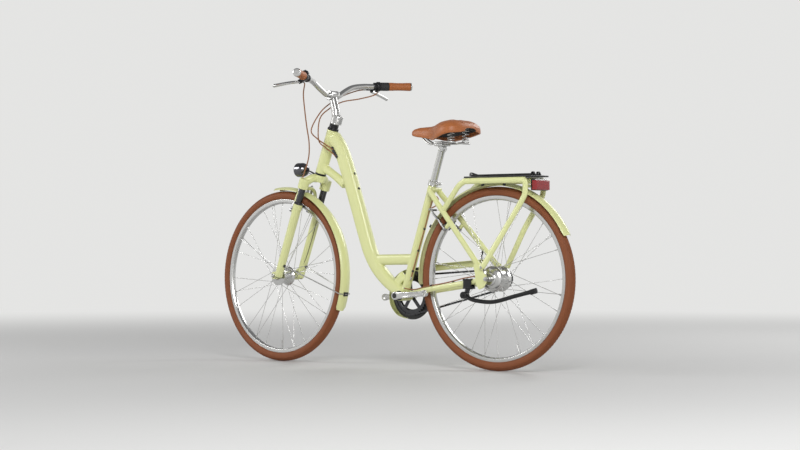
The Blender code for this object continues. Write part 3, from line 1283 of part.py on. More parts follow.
def chain_stations():
    """Centre, pitch radius and outward direction at points round the open loop."""
    reach = REAR_HUB.length
    heading = math.atan2(REAR_HUB.z, REAR_HUB.x)
    lean = math.acos((CHAINRING_RADIUS - SPROCKET_RADIUS) / reach)
    arcs = ((Vector((0, 0, 0)), CHAINRING_RADIUS, heading + lean, 2 * math.pi - 2 * lean),
            (REAR_HUB, SPROCKET_RADIUS, heading - lean, 2 * lean))
    stations = []
    for centre, teeth, start, sweep in arcs:
        half_step = sweep / CHAIN_TURN_STEPS / 2
        inner = (teeth + FIT) / math.cos(half_step)
        for i in range(CHAIN_TURN_STEPS + 1):
            angle = start + sweep * i / CHAIN_TURN_STEPS
            stations.append((centre, inner, Vector((math.cos(angle), 0, math.sin(angle)))))
    return stations


def chain():
    """The closed chain loop round the chainring and the sprocket."""
    rings = []
    for centre, inner, out in chain_stations():
        rings.append([centre + out * (inner + high * CHAIN_HEIGHT)
                      + Vector((0, CHAIN_LINE + across * CHAIN_WIDTH, 0))
                      for high, across in ((0, 0.5), (1, 0.5), (1, -0.5), (0, -0.5))])
    return loft("chain", rings, True)


CHAINGUARD_LINE = [(-0.345, 0.142), (-0.220, 0.132), (-0.094, 0.120), (-0.030, 0.109), (0.020, 0.101),
                   (0.060, 0.083), (0.090, 0.051), (0.103, 0.012), (0.103, -0.025), (0.094, -0.049),
                   (0.069, -0.076), (0.044, -0.087), (0.021, -0.092)]
CHAINGUARD_OUT = 0.0545
CHAINGUARD_IN = 0.0360
CHAINGUARD_WALL = 0.0018
CHAINGUARD_DEPTH = 0.0260
GUARD_STAY_PLACE = 0.735


def chainguard():
    """The guard's outer web and its top band, with a tab to the seat tube and a rod to the stay."""
    points = [Vector((x, 0, z)) for x, z in CHAINGUARD_LINE]
    last = len(points) - 1
    rings = []
    for i, point in enumerate(points):
        along = (points[min(i + 1, last)] - points[max(i - 1, 0)]).normalized()
        out = Vector((-along.z, 0, along.x))
        section = ((0.0, CHAINGUARD_OUT), (0.0, CHAINGUARD_IN), (CHAINGUARD_WALL, CHAINGUARD_IN),
                   (CHAINGUARD_WALL, CHAINGUARD_OUT - CHAINGUARD_WALL),
                   (CHAINGUARD_DEPTH, CHAINGUARD_OUT - CHAINGUARD_WALL), (CHAINGUARD_DEPTH, CHAINGUARD_OUT))
        rings.append([point - out * depth + Vector((0, -across, 0)) for depth, across in section])
    tab_inner = SEAT_TUBE_RADIUS + FIT
    tab_outer = CHAINGUARD_IN + 0.006
    tab = box("tab", (-0.034, -(tab_inner + tab_outer) / 2, 0.1035), (0.012, tab_outer - tab_inner, 0.009))
    rod_start = (-0.336, -CHAINGUARD_IN - 0.012, 0.138)
    rod = tube("rod", [rod_start, seatstay_point(GUARD_STAY_PLACE, -1)], 0.004, 1)
    body = join(loft("guard", rings), tab, rod)
    return cut(body, seatstay(-1, FIT * 1.7))


finish(bottom_bracket(), "bottom_bracket_cartridge", BLACK_STEEL)
finish(crank_right(), "crank_right", SILVER, CRANKS, place=CRANK_TURN)
finish(crank_left(), "crank_left", SILVER, CRANKS, place=CRANK_TURN)
finish(sprocket(), "sprocket_rear", SATIN, place=REAR_PLACE)
finish(chain(), "chain", SATIN)
finish(chainguard(), "chainguard", PAINT)


# Kickstand, drawn with local Z along its hinge
KICK_PIVOT = Vector((-0.353, 0.088, 0.008))
KICK_AXIS = Vector((-0.09, 1.0, 0.098)).normalized()
KICK_PLACE = (Matrix.Translation(KICK_PIVOT)
              @ Vector((0, 0, 1)).rotation_difference(KICK_AXIS).to_matrix().to_4x4())
KICK_CLAMP_STATION = -0.357
KICK_HUB_RADIUS = 0.0135
KICK_HUB_HALF = 0.0090
KICK_PIN_RADIUS = 0.0045
KICK_LEG_RADIUS = 0.0080


def stay_at(station, side):
    """The chainstay's centre at a distance along X."""
    line = chainstay_line(side)
    for near, far in zip(line, line[1:]):
        if far.x <= station <= near.x:
            return near.lerp(far, (near.x - station) / (near.x - far.x))
    return line[-1]


def kickstand_bracket():
    """The clamp block round the left chainstay with the pin that the leg turns on."""
    stay = stay_at(KICK_CLAMP_STATION, 1)
    block = box("block", stay + Vector((0, 0, -0.004)), (0.040, 0.030, 0.030))
    disc_high = -KICK_HUB_HALF - FIT
    disc_low = disc_high - 0.010
    disc = cylinder("disc", (0, 0, (disc_high + disc_low) / 2), (0, 0, 1), KICK_HUB_RADIUS,
                    disc_high - disc_low, 12)
    pin = cylinder("pin", (0, 0, 0), (0, 0, 1), KICK_PIN_RADIUS, 2 * KICK_HUB_HALF + 0.006, 10)
    for piece in (disc, pin):
        piece.data.transform(KICK_PLACE)
    inner = KICK_PLACE @ Vector((0, 0, (disc_high + disc_low) / 2))
    web = tube("web", [stay + Vector((0, 0.004, -0.010)), inner], 0.0090, 1, flat=0.5)
    body = join(block, disc, pin, web)
    room = tube("room", chainstay_line(1), CHAINSTAY_RADIUS + FIT * 1.7, 2, flat=STAY_FLATNESS)
    return cut(body, room)


def kickstand_leg():
    """The folded leg: a hub on the pin, a bent bar and a flattened foot."""
    hub = cylinder("hub", (0, 0, 0), (0, 0, 1), KICK_HUB_RADIUS, 2 * KICK_HUB_HALF, 12)
    hub.data.transform(KICK_PLACE)
    places = [Vector((-0.362, 0, 0.004)), Vector((-0.400, 0, -0.010)), Vector((-0.480, 0, -0.015)),
              Vector((-0.570, 0, 0.007)), Vector((-0.640, 0, 0.0245)), Vector((-0.664, 0, 0.030))]
    line = []
    for place in places:
        away = place - KICK_PIVOT
        slide = (KICK_AXIS.x * away.x + KICK_AXIS.z * away.z) / KICK_AXIS.y
        line.append(Vector((place.x, KICK_PIVOT.y - slide, place.z)))
    bar = tube("bar", line, KICK_LEG_RADIUS, 2, radii=[1.0, 1.0, 1.0, 0.95, 1.1, 1.25])
    room = cylinder("room", (0, 0, 0), (0, 0, 1), KICK_PIN_RADIUS + FIT, 0.040, 12)
    room.data.transform(KICK_PLACE)
    return cut(join(bar, hub), room)


KICKSTAND = pivot_empty("kickstand_pivot", KICK_PLACE)
finish(kickstand_bracket(), "kickstand_bracket", BLACK_STEEL)
finish(kickstand_leg(), "kickstand_leg", BLACK_STEEL, KICKSTAND)


# Rim brakes, drawn in a wheel frame with Z from the hub toward the brake
BRAKE_ARM_RADIUS = 0.0055
BRAKE_ARM_LINE = [(0.0480, 0.2830), (0.0445, 0.3050), (0.0365, 0.3350), (0.0345, 0.3700), (0.0300, 0.3880)]
PAD_HEIGHT = 0.3060
PAD_GAP = 0.0020
PAD_SIZE = (0.050, 0.010, 0.009)
FRONT_BRAKE_STATION = LEG_SETBACK + 0.035 - FORK_OFFSET + FIT + BRAKE_HUB_LENGTH / 2


def brake_arm(side, station):
    """One arm with its hub on the boss and the pad beside the rim."""
    hub = cylinder("hub", (station, BRAKE_PIVOT_SPREAD * side, BRAKE_PIVOT_RADIUS), (1, 0, 0), 0.0085,
                   BRAKE_HUB_LENGTH, 12)
    arm = tube("arm", [(station, y * side, z) for y, z in BRAKE_ARM_LINE], BRAKE_ARM_RADIUS, 1)
    pad_middle = RIM_HALF_WIDTH + PAD_GAP + PAD_SIZE[1] / 2
    pad = box("pad", (station, pad_middle * side, PAD_HEIGHT), PAD_SIZE)
    post = cylinder("post", (station, (pad_middle + 0.0445) / 2 * side, PAD_HEIGHT), (0, 1, 0), 0.0040,
                    0.0445 - pad_middle, 10)
    return join(hub, arm, pad, post)


for side, label in ((1, "left"), (-1, "right")):
    front_arm = Vector((FRONT_BRAKE_STATION, BRAKE_PIVOT_SPREAD * side, BRAKE_PIVOT_RADIUS))
    arm_pivot = pivot_empty("brake_front_pivot_" + label, FRONT_PLACE @ Matrix.Translation(front_arm),
                            FORK_TRAVEL)
    finish(brake_arm(side, FRONT_BRAKE_STATION), "brake_arm_front_" + label, BLACK_STEEL, arm_pivot,
           place=FRONT_PLACE)
    rear_arm = Vector((0.0, BRAKE_PIVOT_SPREAD * side, BRAKE_PIVOT_RADIUS))
    arm_pivot = pivot_empty("brake_rear_pivot_" + label, REAR_BRAKE_PLACE @ Matrix.Translation(rear_arm))
    finish(brake_arm(side, 0.0), "brake_arm_rear_" + label, BLACK_STEEL, arm_pivot,
           place=REAR_BRAKE_PLACE)


# Cable housings, from smooth curves through a few places
CABLE_RADIUS = 0.0025
CABLE_SIDE = 0.0285


def housing(name, places):
    return tube(name, spline_points(places, 2), CABLE_RADIUS, 1)


def steer_point(place):
    """A place in the steering frame as a place in the bicycle's frame."""
    return STEER_TURNED @ Vector(place)


def barrel_end(side):
    """The mouth of a brake perch's barrel."""
    centre = bar_point(PERCH_PLACE, side)
    end = centre.lerp(on_side(LEVER_PIVOT, side), 0.62) + on_side(BARREL_REACH, side)
    return end + on_side(BARREL_REACH, side).normalized() * (FIT + 0.0002)


def link_line(station, side):
    """The wire that runs over both brake arms, from the side where the housing comes in."""
    height = BRAKE_ARM_LINE[-1][1] + CABLE_RADIUS + 0.0020
    return [Vector((station, y * side, height + rise))
            for y, rise in ((0.038, 0.0035), (0.020, 0.0), (-0.010, 0.0), (-0.034, 0.0))]


def cable_front_brake():
    lead = barrel_end(1)
    drop = [Vector((0.066, 0.158, 0.806)), Vector((0.080, 0.135, 0.760)), Vector((0.074, 0.106, 0.690)),
            Vector((0.068, 0.080, 0.632)), Vector((0.062, 0.050, 0.570)), Vector((0.060, 0.032, 0.510)),
            Vector((0.060, 0.032, 0.450))]
    link = [p + WHEEL_CENTRE_LOCAL for p in link_line(FRONT_BRAKE_STATION, 1)]
    return housing("cable", [steer_point(p) for p in [lead] + drop + link])


def cable_rear_brake_front():
    """From the right lever round the front of the head tube to the port in the main tube."""
    loop = [Vector((0.070, -0.150, 0.805)), Vector((0.088, -0.100, 0.775)), Vector((0.100, -0.050, 0.735)),
            Vector((0.092, 0.004, 0.690))]
    places = [steer_point(p) for p in [barrel_end(-1)] + loop]
    places += [Vector((0.446, 0.040, 0.662)), Vector((0.410, 0.046, 0.626)),
               Vector((0.366, 0.0330, 0.596)), Vector((0.345, 0.0250, 0.580))]
    return housing("cable", places)


def cable_shifter_front():
    """From the twist shifter round the front of the head tube to the same port."""
    start = bar_point((TWIST_END + PERCH_PLACE) / 2, -1) + Vector((-0.012, 0.0, -0.0185))
    loop = [start, Vector((0.004, -0.180, 0.808)), Vector((0.030, -0.130, 0.780)),
            Vector((0.066, -0.078, 0.752)), Vector((0.086, -0.034, 0.712)), Vector((0.078, 0.010, 0.668))]
    places = [steer_point(p) for p in loop]
    places += [Vector((0.412, 0.034, 0.622)), Vector((0.378, 0.0335, 0.590)),
               Vector((0.345, 0.0268, 0.566)), Vector((0.331, 0.0250, 0.553))]
    return housing("cable", places)


def cable_rear_brake():
    """From a port low behind the seat tube up along it, over the bridge side and down to the brake."""
    rise = [Vector((-0.0405, 0.0120, 0.062)), Vector((-0.0600, 0.0120, 0.120)),
            Vector((-0.084, 0.0120, 0.190)), Vector((-0.108, 0.0110, 0.260)),
            Vector((-0.131, 0.0110, 0.330)), Vector((-0.149, 0.0110, 0.374)),
            Vector((-0.166, 0.0130, 0.384)), Vector((-0.178, 0.0155, 0.372)),
            Vector((-0.174, 0.0200, 0.352))]
    link = [REAR_BRAKE_PLACE @ p for p in link_line(0.0, 1)]
    return housing("cable", rise + link)


def cable_shifter_rear():
    """From the bracket along the top of the left chainstay to the gear hub."""
    lead = [Vector((-0.022, CABLE_SIDE + 0.001, 0.029)), Vector((-0.040, CABLE_SIDE + 0.001, 0.026))]
    along = [stay_at(x, 1) + Vector((0, -0.002, height)) for x, height in (
        (-0.075, 0.0137), (-0.150, 0.0137), (-0.250, 0.0140), (-0.330, 0.0195), (-0.388, 0.0195))]
    end = [REAR_HUB + Vector((0.030, 0.0595, 0.0170)), REAR_HUB + Vector((0.008, 0.0595, 0.0146))]
    return housing("cable", lead + along + end)


finish(cable_front_brake(), "cable_front_brake", COPPER, STEERING)
finish(cable_rear_brake_front(), "cable_rear_brake_front", COPPER, STEERING)
finish(cable_shifter_front(), "cable_shifter_front", COPPER, STEERING)
finish(cable_rear_brake(), "cable_rear_brake", COPPER)
finish(cable_shifter_rear(), "cable_shifter_rear", COPPER)
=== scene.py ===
"""City bicycle with a step-through frame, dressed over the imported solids.

+X points forward, +Y to the rider's left and +Z up, with the origin at the bottom bracket's centre.
All sizes are in metres.
"""
import math

import bmesh
import bpy
from mathutils import Matrix, Vector


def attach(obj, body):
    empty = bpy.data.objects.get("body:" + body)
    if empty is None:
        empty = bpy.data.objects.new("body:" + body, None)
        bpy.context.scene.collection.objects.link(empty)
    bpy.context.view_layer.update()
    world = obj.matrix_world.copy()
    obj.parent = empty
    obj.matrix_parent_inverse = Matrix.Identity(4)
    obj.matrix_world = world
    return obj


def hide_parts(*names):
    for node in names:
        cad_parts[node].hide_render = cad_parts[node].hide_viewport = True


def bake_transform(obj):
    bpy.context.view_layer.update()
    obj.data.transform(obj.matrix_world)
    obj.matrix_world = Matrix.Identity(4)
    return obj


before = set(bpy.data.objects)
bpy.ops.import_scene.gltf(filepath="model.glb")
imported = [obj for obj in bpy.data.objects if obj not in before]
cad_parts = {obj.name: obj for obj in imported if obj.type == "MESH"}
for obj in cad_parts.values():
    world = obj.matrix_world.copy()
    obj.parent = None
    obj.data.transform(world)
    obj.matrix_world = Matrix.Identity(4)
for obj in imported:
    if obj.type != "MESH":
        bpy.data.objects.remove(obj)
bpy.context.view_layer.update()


# Front frame
# The real frame is welded from formed aluminium tubes: a deep main tube that sweeps from the head
# tube down to the bottom bracket, a brace behind the head, a cross tube and the seat tube. The
# tubes are swept here, welded by a fine remesh that rounds the seams, and painted pale yellow-green.
ALONG_X = (1, 0, 0)
ALONG_Y = (0, 1, 0)
ALONG_Z = (0, 0, 1)
SIDES = ((1, "left"), (-1, "right"))
STEERING_TILT = math.radians(-20.0)
STEERING_TURN = math.radians(-5.0)
REAR_HUB = Vector((-0.444522, 0.0, 0.070))
STEER_FOOT = Vector((0.586493, 0.0, 0.052899))
STEER_UP = Vector((-0.342020, 0.0, 0.939693))
SEAT_UP = Vector((-0.309017, 0.0, 0.951057))
MAIN_TUBE_LINE = [
    (0.362, 0.0, 0.632), (0.322, 0.0, 0.580), (0.287, 0.0, 0.498), (0.257, 0.0, 0.415),
    (0.227, 0.0, 0.329), (0.198, 0.0, 0.244), (0.168, 0.0, 0.166), (0.128, 0.0, 0.103),
    (0.072, 0.0, 0.050), (0.000, 0.0, 0.004),
]
BRACE_LINE = [(0.412, 0.0, 0.510), (0.362, 0.0, 0.482), (0.300, 0.0, 0.440)]
HEAD_LOW = 0.463
HEAD_HIGH = 0.647
HEAD_RADIUS = 0.023
SEAT_TUBE_TOP = 0.467
WELD_GRAIN = 0.0022


def smooth_line(points, per_span=6):
    """Points on a smooth curve through the given points."""
    given = [Vector(p) for p in points]
    padded = [given[0] * 2 - given[1]] + given + [given[-1] * 2 - given[-2]]
    line = []
    for i in range(1, len(padded) - 2):
        a, b, c, d = padded[i - 1:i + 3]
        for k in range(per_span):
            t = k / per_span
            line.append(0.5 * (2 * b + (c - a) * t + (2 * a - 5 * b + 4 * c - d) * t * t
                               + (3 * b - 3 * c + d - a) * t ** 3))
    return line + [given[-1]]


def way_out(angle):
    """The direction away from an axle at an angle round it."""
    return Vector((math.cos(angle), 0.0, math.sin(angle)))


def circle(count):
    """Angles evenly round a circle."""
    return [2 * math.pi * k / count for k in range(count)]


def turn_to(axis):
    """The turn that takes the upright direction to an axis."""
    return Vector(ALONG_Z).rotation_difference(axis).to_matrix().to_4x4()


def at(value, t):
    """A size that is either fixed or changes along a bar."""
    return value(t) if callable(value) else value


def add_skin(bm, rings, loop=False):
    """A closed skin through rings that hold the same number of points."""
    rows = [[bm.verts.new(p) for p in ring] for ring in rings]
    count = len(rows[0])
    faces = []
    for low, high in zip(rows, rows[1:] + rows[:1] if loop else rows[1:]):
        for i in range(count):
            j = (i + 1) % count
            faces.append(bm.faces.new((low[i], low[j], high[j], high[i])))
    if not loop:
        faces.append(bm.faces.new(rows[0]))
        faces.append(bm.faces.new(rows[-1]))
    bmesh.ops.recalc_face_normals(bm, faces=faces)


def add_bar(bm, points, depth, width=None, sides=24, power=1.0, loop=False, start=ALONG_Y):
    """A bar along the points; power under 1 gives its section flatter sides."""
    line = [Vector(p) for p in points]
    last = len(line) - 1
    side = Vector(start)
    rings = []
    for i, point in enumerate(line):
        ahead = line[(i + 1) % len(line)] if loop else line[min(i + 1, last)]
        behind = line[i - 1] if loop else line[max(i - 1, 0)]
        along = (ahead - behind).normalized()
        side = (side - along * side.dot(along)).normalized()
        out = along.cross(side)
        t = i / last
        deep = at(depth, t)
        wide = deep if width is None else at(width, t)
        ring = []
        for k in range(sides):
            angle = 2 * math.pi * (k + 0.5) / sides
            c, s = math.cos(angle), math.sin(angle)
            c = math.copysign(abs(c) ** power, c)
            s = math.copysign(abs(s) ** power, s)
            ring.append(point + out * (deep * c) + side * (wide * s))
        rings.append(ring)
    add_skin(bm, rings, loop)


def both_ways(half):
    """A profile with its own mirror image below it."""
    return half + [(radius, -height) for radius, height in reversed(half)]


def rounded(profile, size, closed=False):
    """A profile whose corners are cut back into short arcs."""
    points = [Vector((r, h, 0.0)) for r, h in profile]
    result = []
    last = len(points) - 1
    for i, point in enumerate(points):
        if not closed and i in (0, last):
            result.append((point.x, point.y))
            continue
        before = points[i - 1] - point
        after = points[(i + 1) % len(points)] - point
        reach = min(size, 0.42 * before.length, 0.42 * after.length)
        start = point + before.normalized() * reach
        end = point + after.normalized() * reach
        for t in (0.0, 0.33, 0.67, 1.0):
            place = start * (1 - t) ** 2 + point * (2 * t * (1 - t)) + end * t ** 2
            result.append((max(place.x, 0.0), place.y))
    return result


def add_turned(bm, profile, centre=(0, 0, 0), axis=ALONG_Y, steps=64, closed=False, soft=0.0):
    """A turned shape: profile holds (radius, height) pairs along the axis."""
    if soft > 0.0:
        profile = rounded(profile, soft, closed)
    place = Matrix.Translation(Vector(centre)) @ turn_to(Vector(axis).normalized())
    rows = []
    for r, h in profile:
        if r < 1e-6:
            rows.append([bm.verts.new(place @ Vector((0, 0, h)))])
            continue
        rows.append([bm.verts.new(place @ Vector((r * math.cos(a), r * math.sin(a), h)))
                     for a in circle(steps)])
    faces = []
    for low, high in zip(rows, rows[1:] + rows[:1] if closed else rows[1:]):
        for k in range(steps):
            j = (k + 1) % steps
            if len(low) == 1 and len(high) == 1:
                break
            if len(low) == 1:
                faces.append(bm.faces.new((low[0], high[j], high[k])))
            elif len(high) == 1:
                faces.append(bm.faces.new((low[k], low[j], high[0])))
            else:
                faces.append(bm.faces.new((low[k], low[j], high[j], high[k])))
    bmesh.ops.recalc_face_normals(bm, faces=faces)


def add_ring(bm, centre, axis, inner, outer, length, steps, soft=0.0):
    """A round ring with a square section."""
    half = length / 2
    add_turned(bm, [(inner, half), (outer, half), (outer, -half), (inner, -half)], centre, axis, steps,
               closed=True, soft=soft)


def add_rod(bm, centre, axis, radius, length, steps=32, soft=0.0006):
    """A round bar with eased edges."""
    half = length / 2
    add_turned(bm, [(0.0, half), (radius, half), (radius, -half), (0.0, -half)], centre, axis, steps,
               soft=soft)


def add_block(bm, centre, size, edge=0.001, turn=None):
    """A block with rounded edges."""
    made = bmesh.ops.create_cube(bm, size=1.0)["verts"]
    bmesh.ops.scale(bm, vec=Vector(size), verts=made)
    bmesh.ops.transform(bm, matrix=Matrix.Translation(Vector(centre)) @ (turn or Matrix()), verts=made)
    edges = list(dict.fromkeys(e for v in made for e in v.link_edges))
    bmesh.ops.bevel(bm, geom=edges, offset=edge, segments=3, affect="EDGES", profile=0.6)


def drawn(draw):
    """Turns a function that draws into a bmesh into one that returns the finished mesh."""
    def finished(*values):
        bm = bmesh.new()
        draw(bm, *values)
        mesh = bpy.data.meshes.new("drawn")
        bm.to_mesh(mesh)
        bm.free()
        return mesh

    return finished


def applied(mesh, change):
    """The mesh after the modifiers that change adds to a passing object."""
    passing = bpy.data.objects.new("passing", mesh)
    bpy.context.scene.collection.objects.link(passing)
    change(passing)
    bpy.context.view_layer.update()
    graph = bpy.context.evaluated_depsgraph_get()
    result = bpy.data.meshes.new_from_object(passing.evaluated_get(graph))
    bpy.data.objects.remove(passing, do_unlink=True)
    return result


def welded(mesh, grain, passes):
    """The mesh with its overlapping bars melted into one skin, whose seams are eased."""
    def change(passing):
        remesh = passing.modifiers.new("weld", "REMESH")
        remesh.mode = "VOXEL"
        remesh.voxel_size = grain
        ease = passing.modifiers.new("ease", "SMOOTH")
        ease.factor = 0.5
        ease.iterations = passes

    return applied(mesh, change)


def place_piece(name, mesh, material, body, *nodes, place=None, sharp=38.0, bend=None):
    """Puts a finished mesh into the scene on its body, instead of the nodes that it stands for.

    bend holds a second body and two points. When it is given, the piece keeps its placement baked in and is
    put on no body; the bodies and points in it are not used.
    """
    if place is not None:
        mesh.transform(place)
    mesh.name = name
    mesh.materials.clear()
    mesh.materials.append(material)
    mesh.shade_smooth()
    mesh.set_sharp_from_angle(angle=math.radians(sharp))
    piece = bpy.data.objects.new(name, mesh)
    bpy.context.scene.collection.objects.link(piece)
    if bend is None:
        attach(piece, body)
    else:
        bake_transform(piece)
    if nodes:
        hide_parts(*nodes)
    return piece


def make_fine_surface():
    """The shading that all finishes share: soft patches of colour and gloss, and a fine grain."""
    group = bpy.data.node_groups.new("fine_surface", "ShaderNodeTree")
    sockets = (("Colour", "NodeSocketColor"), ("Patch Colour", "NodeSocketColor"),
               ("Patch Scale", "NodeSocketFloat"), ("Patch Amount", "NodeSocketFloat"),
               ("Roughness", "NodeSocketFloat"), ("Roughness Change", "NodeSocketFloat"),
               ("Grain Scale", "NodeSocketFloat"))
    for name, kind in sockets:
        group.interface.new_socket(name, in_out="INPUT", socket_type=kind)
    for name, kind in (("Colour", "NodeSocketColor"), ("Roughness", "NodeSocketFloat"),
                       ("Height", "NodeSocketFloat")):
        group.interface.new_socket(name, in_out="OUTPUT", socket_type=kind)
    nodes, links = group.nodes, group.links
    given = nodes.new("NodeGroupInput")
    result = nodes.new("NodeGroupOutput")
    place = nodes.new("ShaderNodeTexCoord")
    patches = nodes.new("ShaderNodeTexNoise")
    patches.inputs["Detail"].default_value = 5.0
    links.new(place.outputs["Object"], patches.inputs["Vector"])
    links.new(given.outputs["Patch Scale"], patches.inputs["Scale"])
    amount = nodes.new("ShaderNodeMath")
    amount.operation = "MULTIPLY"
    links.new(patches.outputs["Fac"], amount.inputs[0])
    links.new(given.outputs["Patch Amount"], amount.inputs[1])
    mix = nodes.new("ShaderNodeMix")
    mix.data_type = "RGBA"
    links.new(amount.outputs[0], mix.inputs["Factor"])
    links.new(given.outputs["Colour"], mix.inputs["A"])
    links.new(given.outputs["Patch Colour"], mix.inputs["B"])
    links.new(mix.outputs["Result"], result.inputs["Colour"])
    change = nodes.new("ShaderNodeMath")
    change.operation = "MULTIPLY_ADD"
    links.new(patches.outputs["Fac"], change.inputs[0])
    links.new(given.outputs["Roughness Change"], change.inputs[1])
    links.new(given.outputs["Roughness"], change.inputs[2])
    links.new(change.outputs[0], result.inputs["Roughness"])
    grain = nodes.new("ShaderNodeTexNoise")
    grain.inputs["Detail"].default_value = 3.0
    links.new(place.outputs["Object"], grain.inputs["Vector"])
    links.new(given.outputs["Grain Scale"], grain.inputs["Scale"])
    links.new(grain.outputs["Fac"], result.inputs["Height"])
    return group


FINE_SURFACE = make_fine_surface()


def make_finish(name, colour, patch_colour, roughness, metallic=0.0, patch_scale=9.0, patch_amount=0.6,
                roughness_change=0.08, grain_scale=900.0, grain_height=0.00003, coat=0.0, specular=0.5):
    """A material with soft patches of colour and gloss over a fine grain."""
    material = bpy.data.materials.new(name)
    material.use_nodes = True
    nodes, links = material.node_tree.nodes, material.node_tree.links
    shader = nodes["Principled BSDF"]
    surface = nodes.new("ShaderNodeGroup")
    surface.node_tree = FINE_SURFACE
    surface.name = "surface"
    surface.inputs["Colour"].default_value = (*colour, 1.0)
    surface.inputs["Patch Colour"].default_value = (*patch_colour, 1.0)
    surface.inputs["Patch Scale"].default_value = patch_scale
    surface.inputs["Patch Amount"].default_value = patch_amount
    surface.inputs["Roughness"].default_value = roughness - roughness_change / 2
    surface.inputs["Roughness Change"].default_value = roughness_change
    surface.inputs["Grain Scale"].default_value = grain_scale
    bump = nodes.new("ShaderNodeBump")
    bump.name = "grain"
    bump.inputs["Distance"].default_value = grain_height
    bump.inputs["Strength"].default_value = 1.0
    links.new(surface.outputs["Colour"], shader.inputs["Base Color"])
    links.new(surface.outputs["Roughness"], shader.inputs["Roughness"])
    links.new(surface.outputs["Height"], bump.inputs["Height"])
    links.new(bump.outputs["Normal"], shader.inputs["Normal"])
    shader.inputs["Metallic"].default_value = metallic
    shader.inputs["Specular IOR Level"].default_value = specular
    shader.inputs["Coat Weight"].default_value = coat
    shader.inputs["Coat Roughness"].default_value = 0.12
    return material


FRAME_PAINT = make_finish("yellow_green_paint", (0.71, 0.725, 0.36), (0.66, 0.71, 0.31), 0.34,
                          patch_scale=14.0, roughness_change=0.06, grain_scale=1400.0,
                          grain_height=0.000012, coat=0.35)


def seat_line(height):
    """The point on the seat tube's centre line at a height."""
    return Vector((SEAT_UP.x / SEAT_UP.z * height, 0.0, height))


@drawn
def front_frame_bars(bm):
    add_bar(bm, smooth_line(MAIN_TUBE_LINE), lambda t: 0.031 * (1.0 - 0.22 * t ** 3),
            lambda t: 0.0215 * (1.0 + 0.12 * t ** 3), 40, 0.70)
    add_bar(bm, smooth_line(BRACE_LINE), lambda t: 0.019 - 0.004 * math.sin(math.pi * t), 0.0165, 32, 0.75)
    middle = STEER_FOOT + STEER_UP * ((HEAD_LOW + HEAD_HIGH) / 2)
    add_rod(bm, middle, STEER_UP, HEAD_RADIUS, HEAD_HIGH - HEAD_LOW, 64)
    cross = [Vector((0.165, 0.0, 0.138)).lerp(seat_line(0.142), i / 8) for i in range(9)]
    add_bar(bm, cross, 0.021, 0.0165, 32, 0.75)
    add_bar(bm, [SEAT_UP * (SEAT_TUBE_TOP * i / 12) for i in range(13)], 0.017, None, 40)
    add_rod(bm, (0, 0, 0), ALONG_Y, 0.021, 0.068, 64)
    add_bar(bm, [(0.030, 0, 0.075), (0.006, 0, 0.052)], 0.026, 0.011, 24, 0.7)


place_piece("front_frame", welded(front_frame_bars(), WELD_GRAIN, 5), FRAME_PAINT, "frame", "frame_front",
            sharp=75.0)


# Rear triangle
# Two slim chainstays and two seatstays of flattened tube run to plate dropouts, with a bridge behind
# the seat tube and a stud on each seatstay for the rim brake. All of it is welded and painted with
# the front frame, and the plates are cut from sheet.
STAY_FLATNESS = 0.62
UPRIGHT = Matrix.Rotation(math.pi / 2, 4, "X")
AXLE_RADIUS = 0.0045
REAR_SPACING = 0.135
STUD_HEIGHT = 0.283


def chainstay_line(side):
    start = Vector((-0.0318, 0.0240 * side, 0.004))
    middle = Vector((-0.140, 0.0475 * side, 0.023))
    wide = Vector((-0.210, 0.0575 * side, 0.034))
    end = REAR_HUB + Vector((0.028, 0.063 * side, -0.005))
    return [start, Vector((-0.068, 0.0290 * side, 0.010)), Vector((-0.090, 0.0335 * side, 0.014)),
            start.lerp(middle, 0.86), middle, middle.lerp(wide, 0.55), wide, end]


def seatstay_place(fraction, side):
    top = seat_line(0.408) + Vector((-0.012, 0.030 * side, 0))
    return top.lerp(REAR_HUB + Vector((0.034, 0.063 * side, 0.040)), fraction)


def add_plate(bm, outline, thickness, place, ease=0.003, edge=0.0008):
    """A flat plate whose outline lies in the local XY plane, with eased corners and edges."""
    corners = rounded(outline, ease, closed=True)
    turn = 1.0 if area_sign(outline) > 0 else -1.0
    rings = []
    for height, inset in ((-thickness / 2, edge), (-thickness / 2 + edge, 0.0),
                          (thickness / 2 - edge, 0.0), (thickness / 2, edge)):
        ring = []
        for i, (x, y) in enumerate(corners):
            before, after = corners[i - 1], corners[(i + 1) % len(corners)]
            along = Vector((after[0] - before[0], after[1] - before[1])).normalized()
            ring.append(place @ Vector((x - turn * along.y * inset, y + turn * along.x * inset, height)))
        rings.append(ring)
    add_skin(bm, rings)


def area_sign(outline):
    """Above zero where an outline runs anticlockwise."""
    return sum(a[0] * b[1] - b[0] * a[1] for a, b in zip(outline, outline[1:] + outline[:1]))


DROPOUT_OUTLINE = [(0.050, 0.000), (0.052, 0.022), (0.060, 0.050), (0.048, 0.062), (0.030, 0.054),
                   (0.012, 0.020), (-0.012, 0.012), (-0.014, -0.008), (0.000, -0.014), (0.014, -0.034),
                   (0.034, -0.040), (0.046, -0.022)]
REAR_BRAKE_PLACE = Matrix.Translation(REAR_HUB) @ Matrix.Rotation(math.pi / 2 - math.radians(42.0), 4, "Y")


@drawn
def brake_stud_mesh(bm, side):
    add_rod(bm, (-0.0186, 0.046 * side, STUD_HEIGHT), ALONG_X, 0.0075, 0.0247, 28)
    bm.transform(REAR_BRAKE_PLACE)


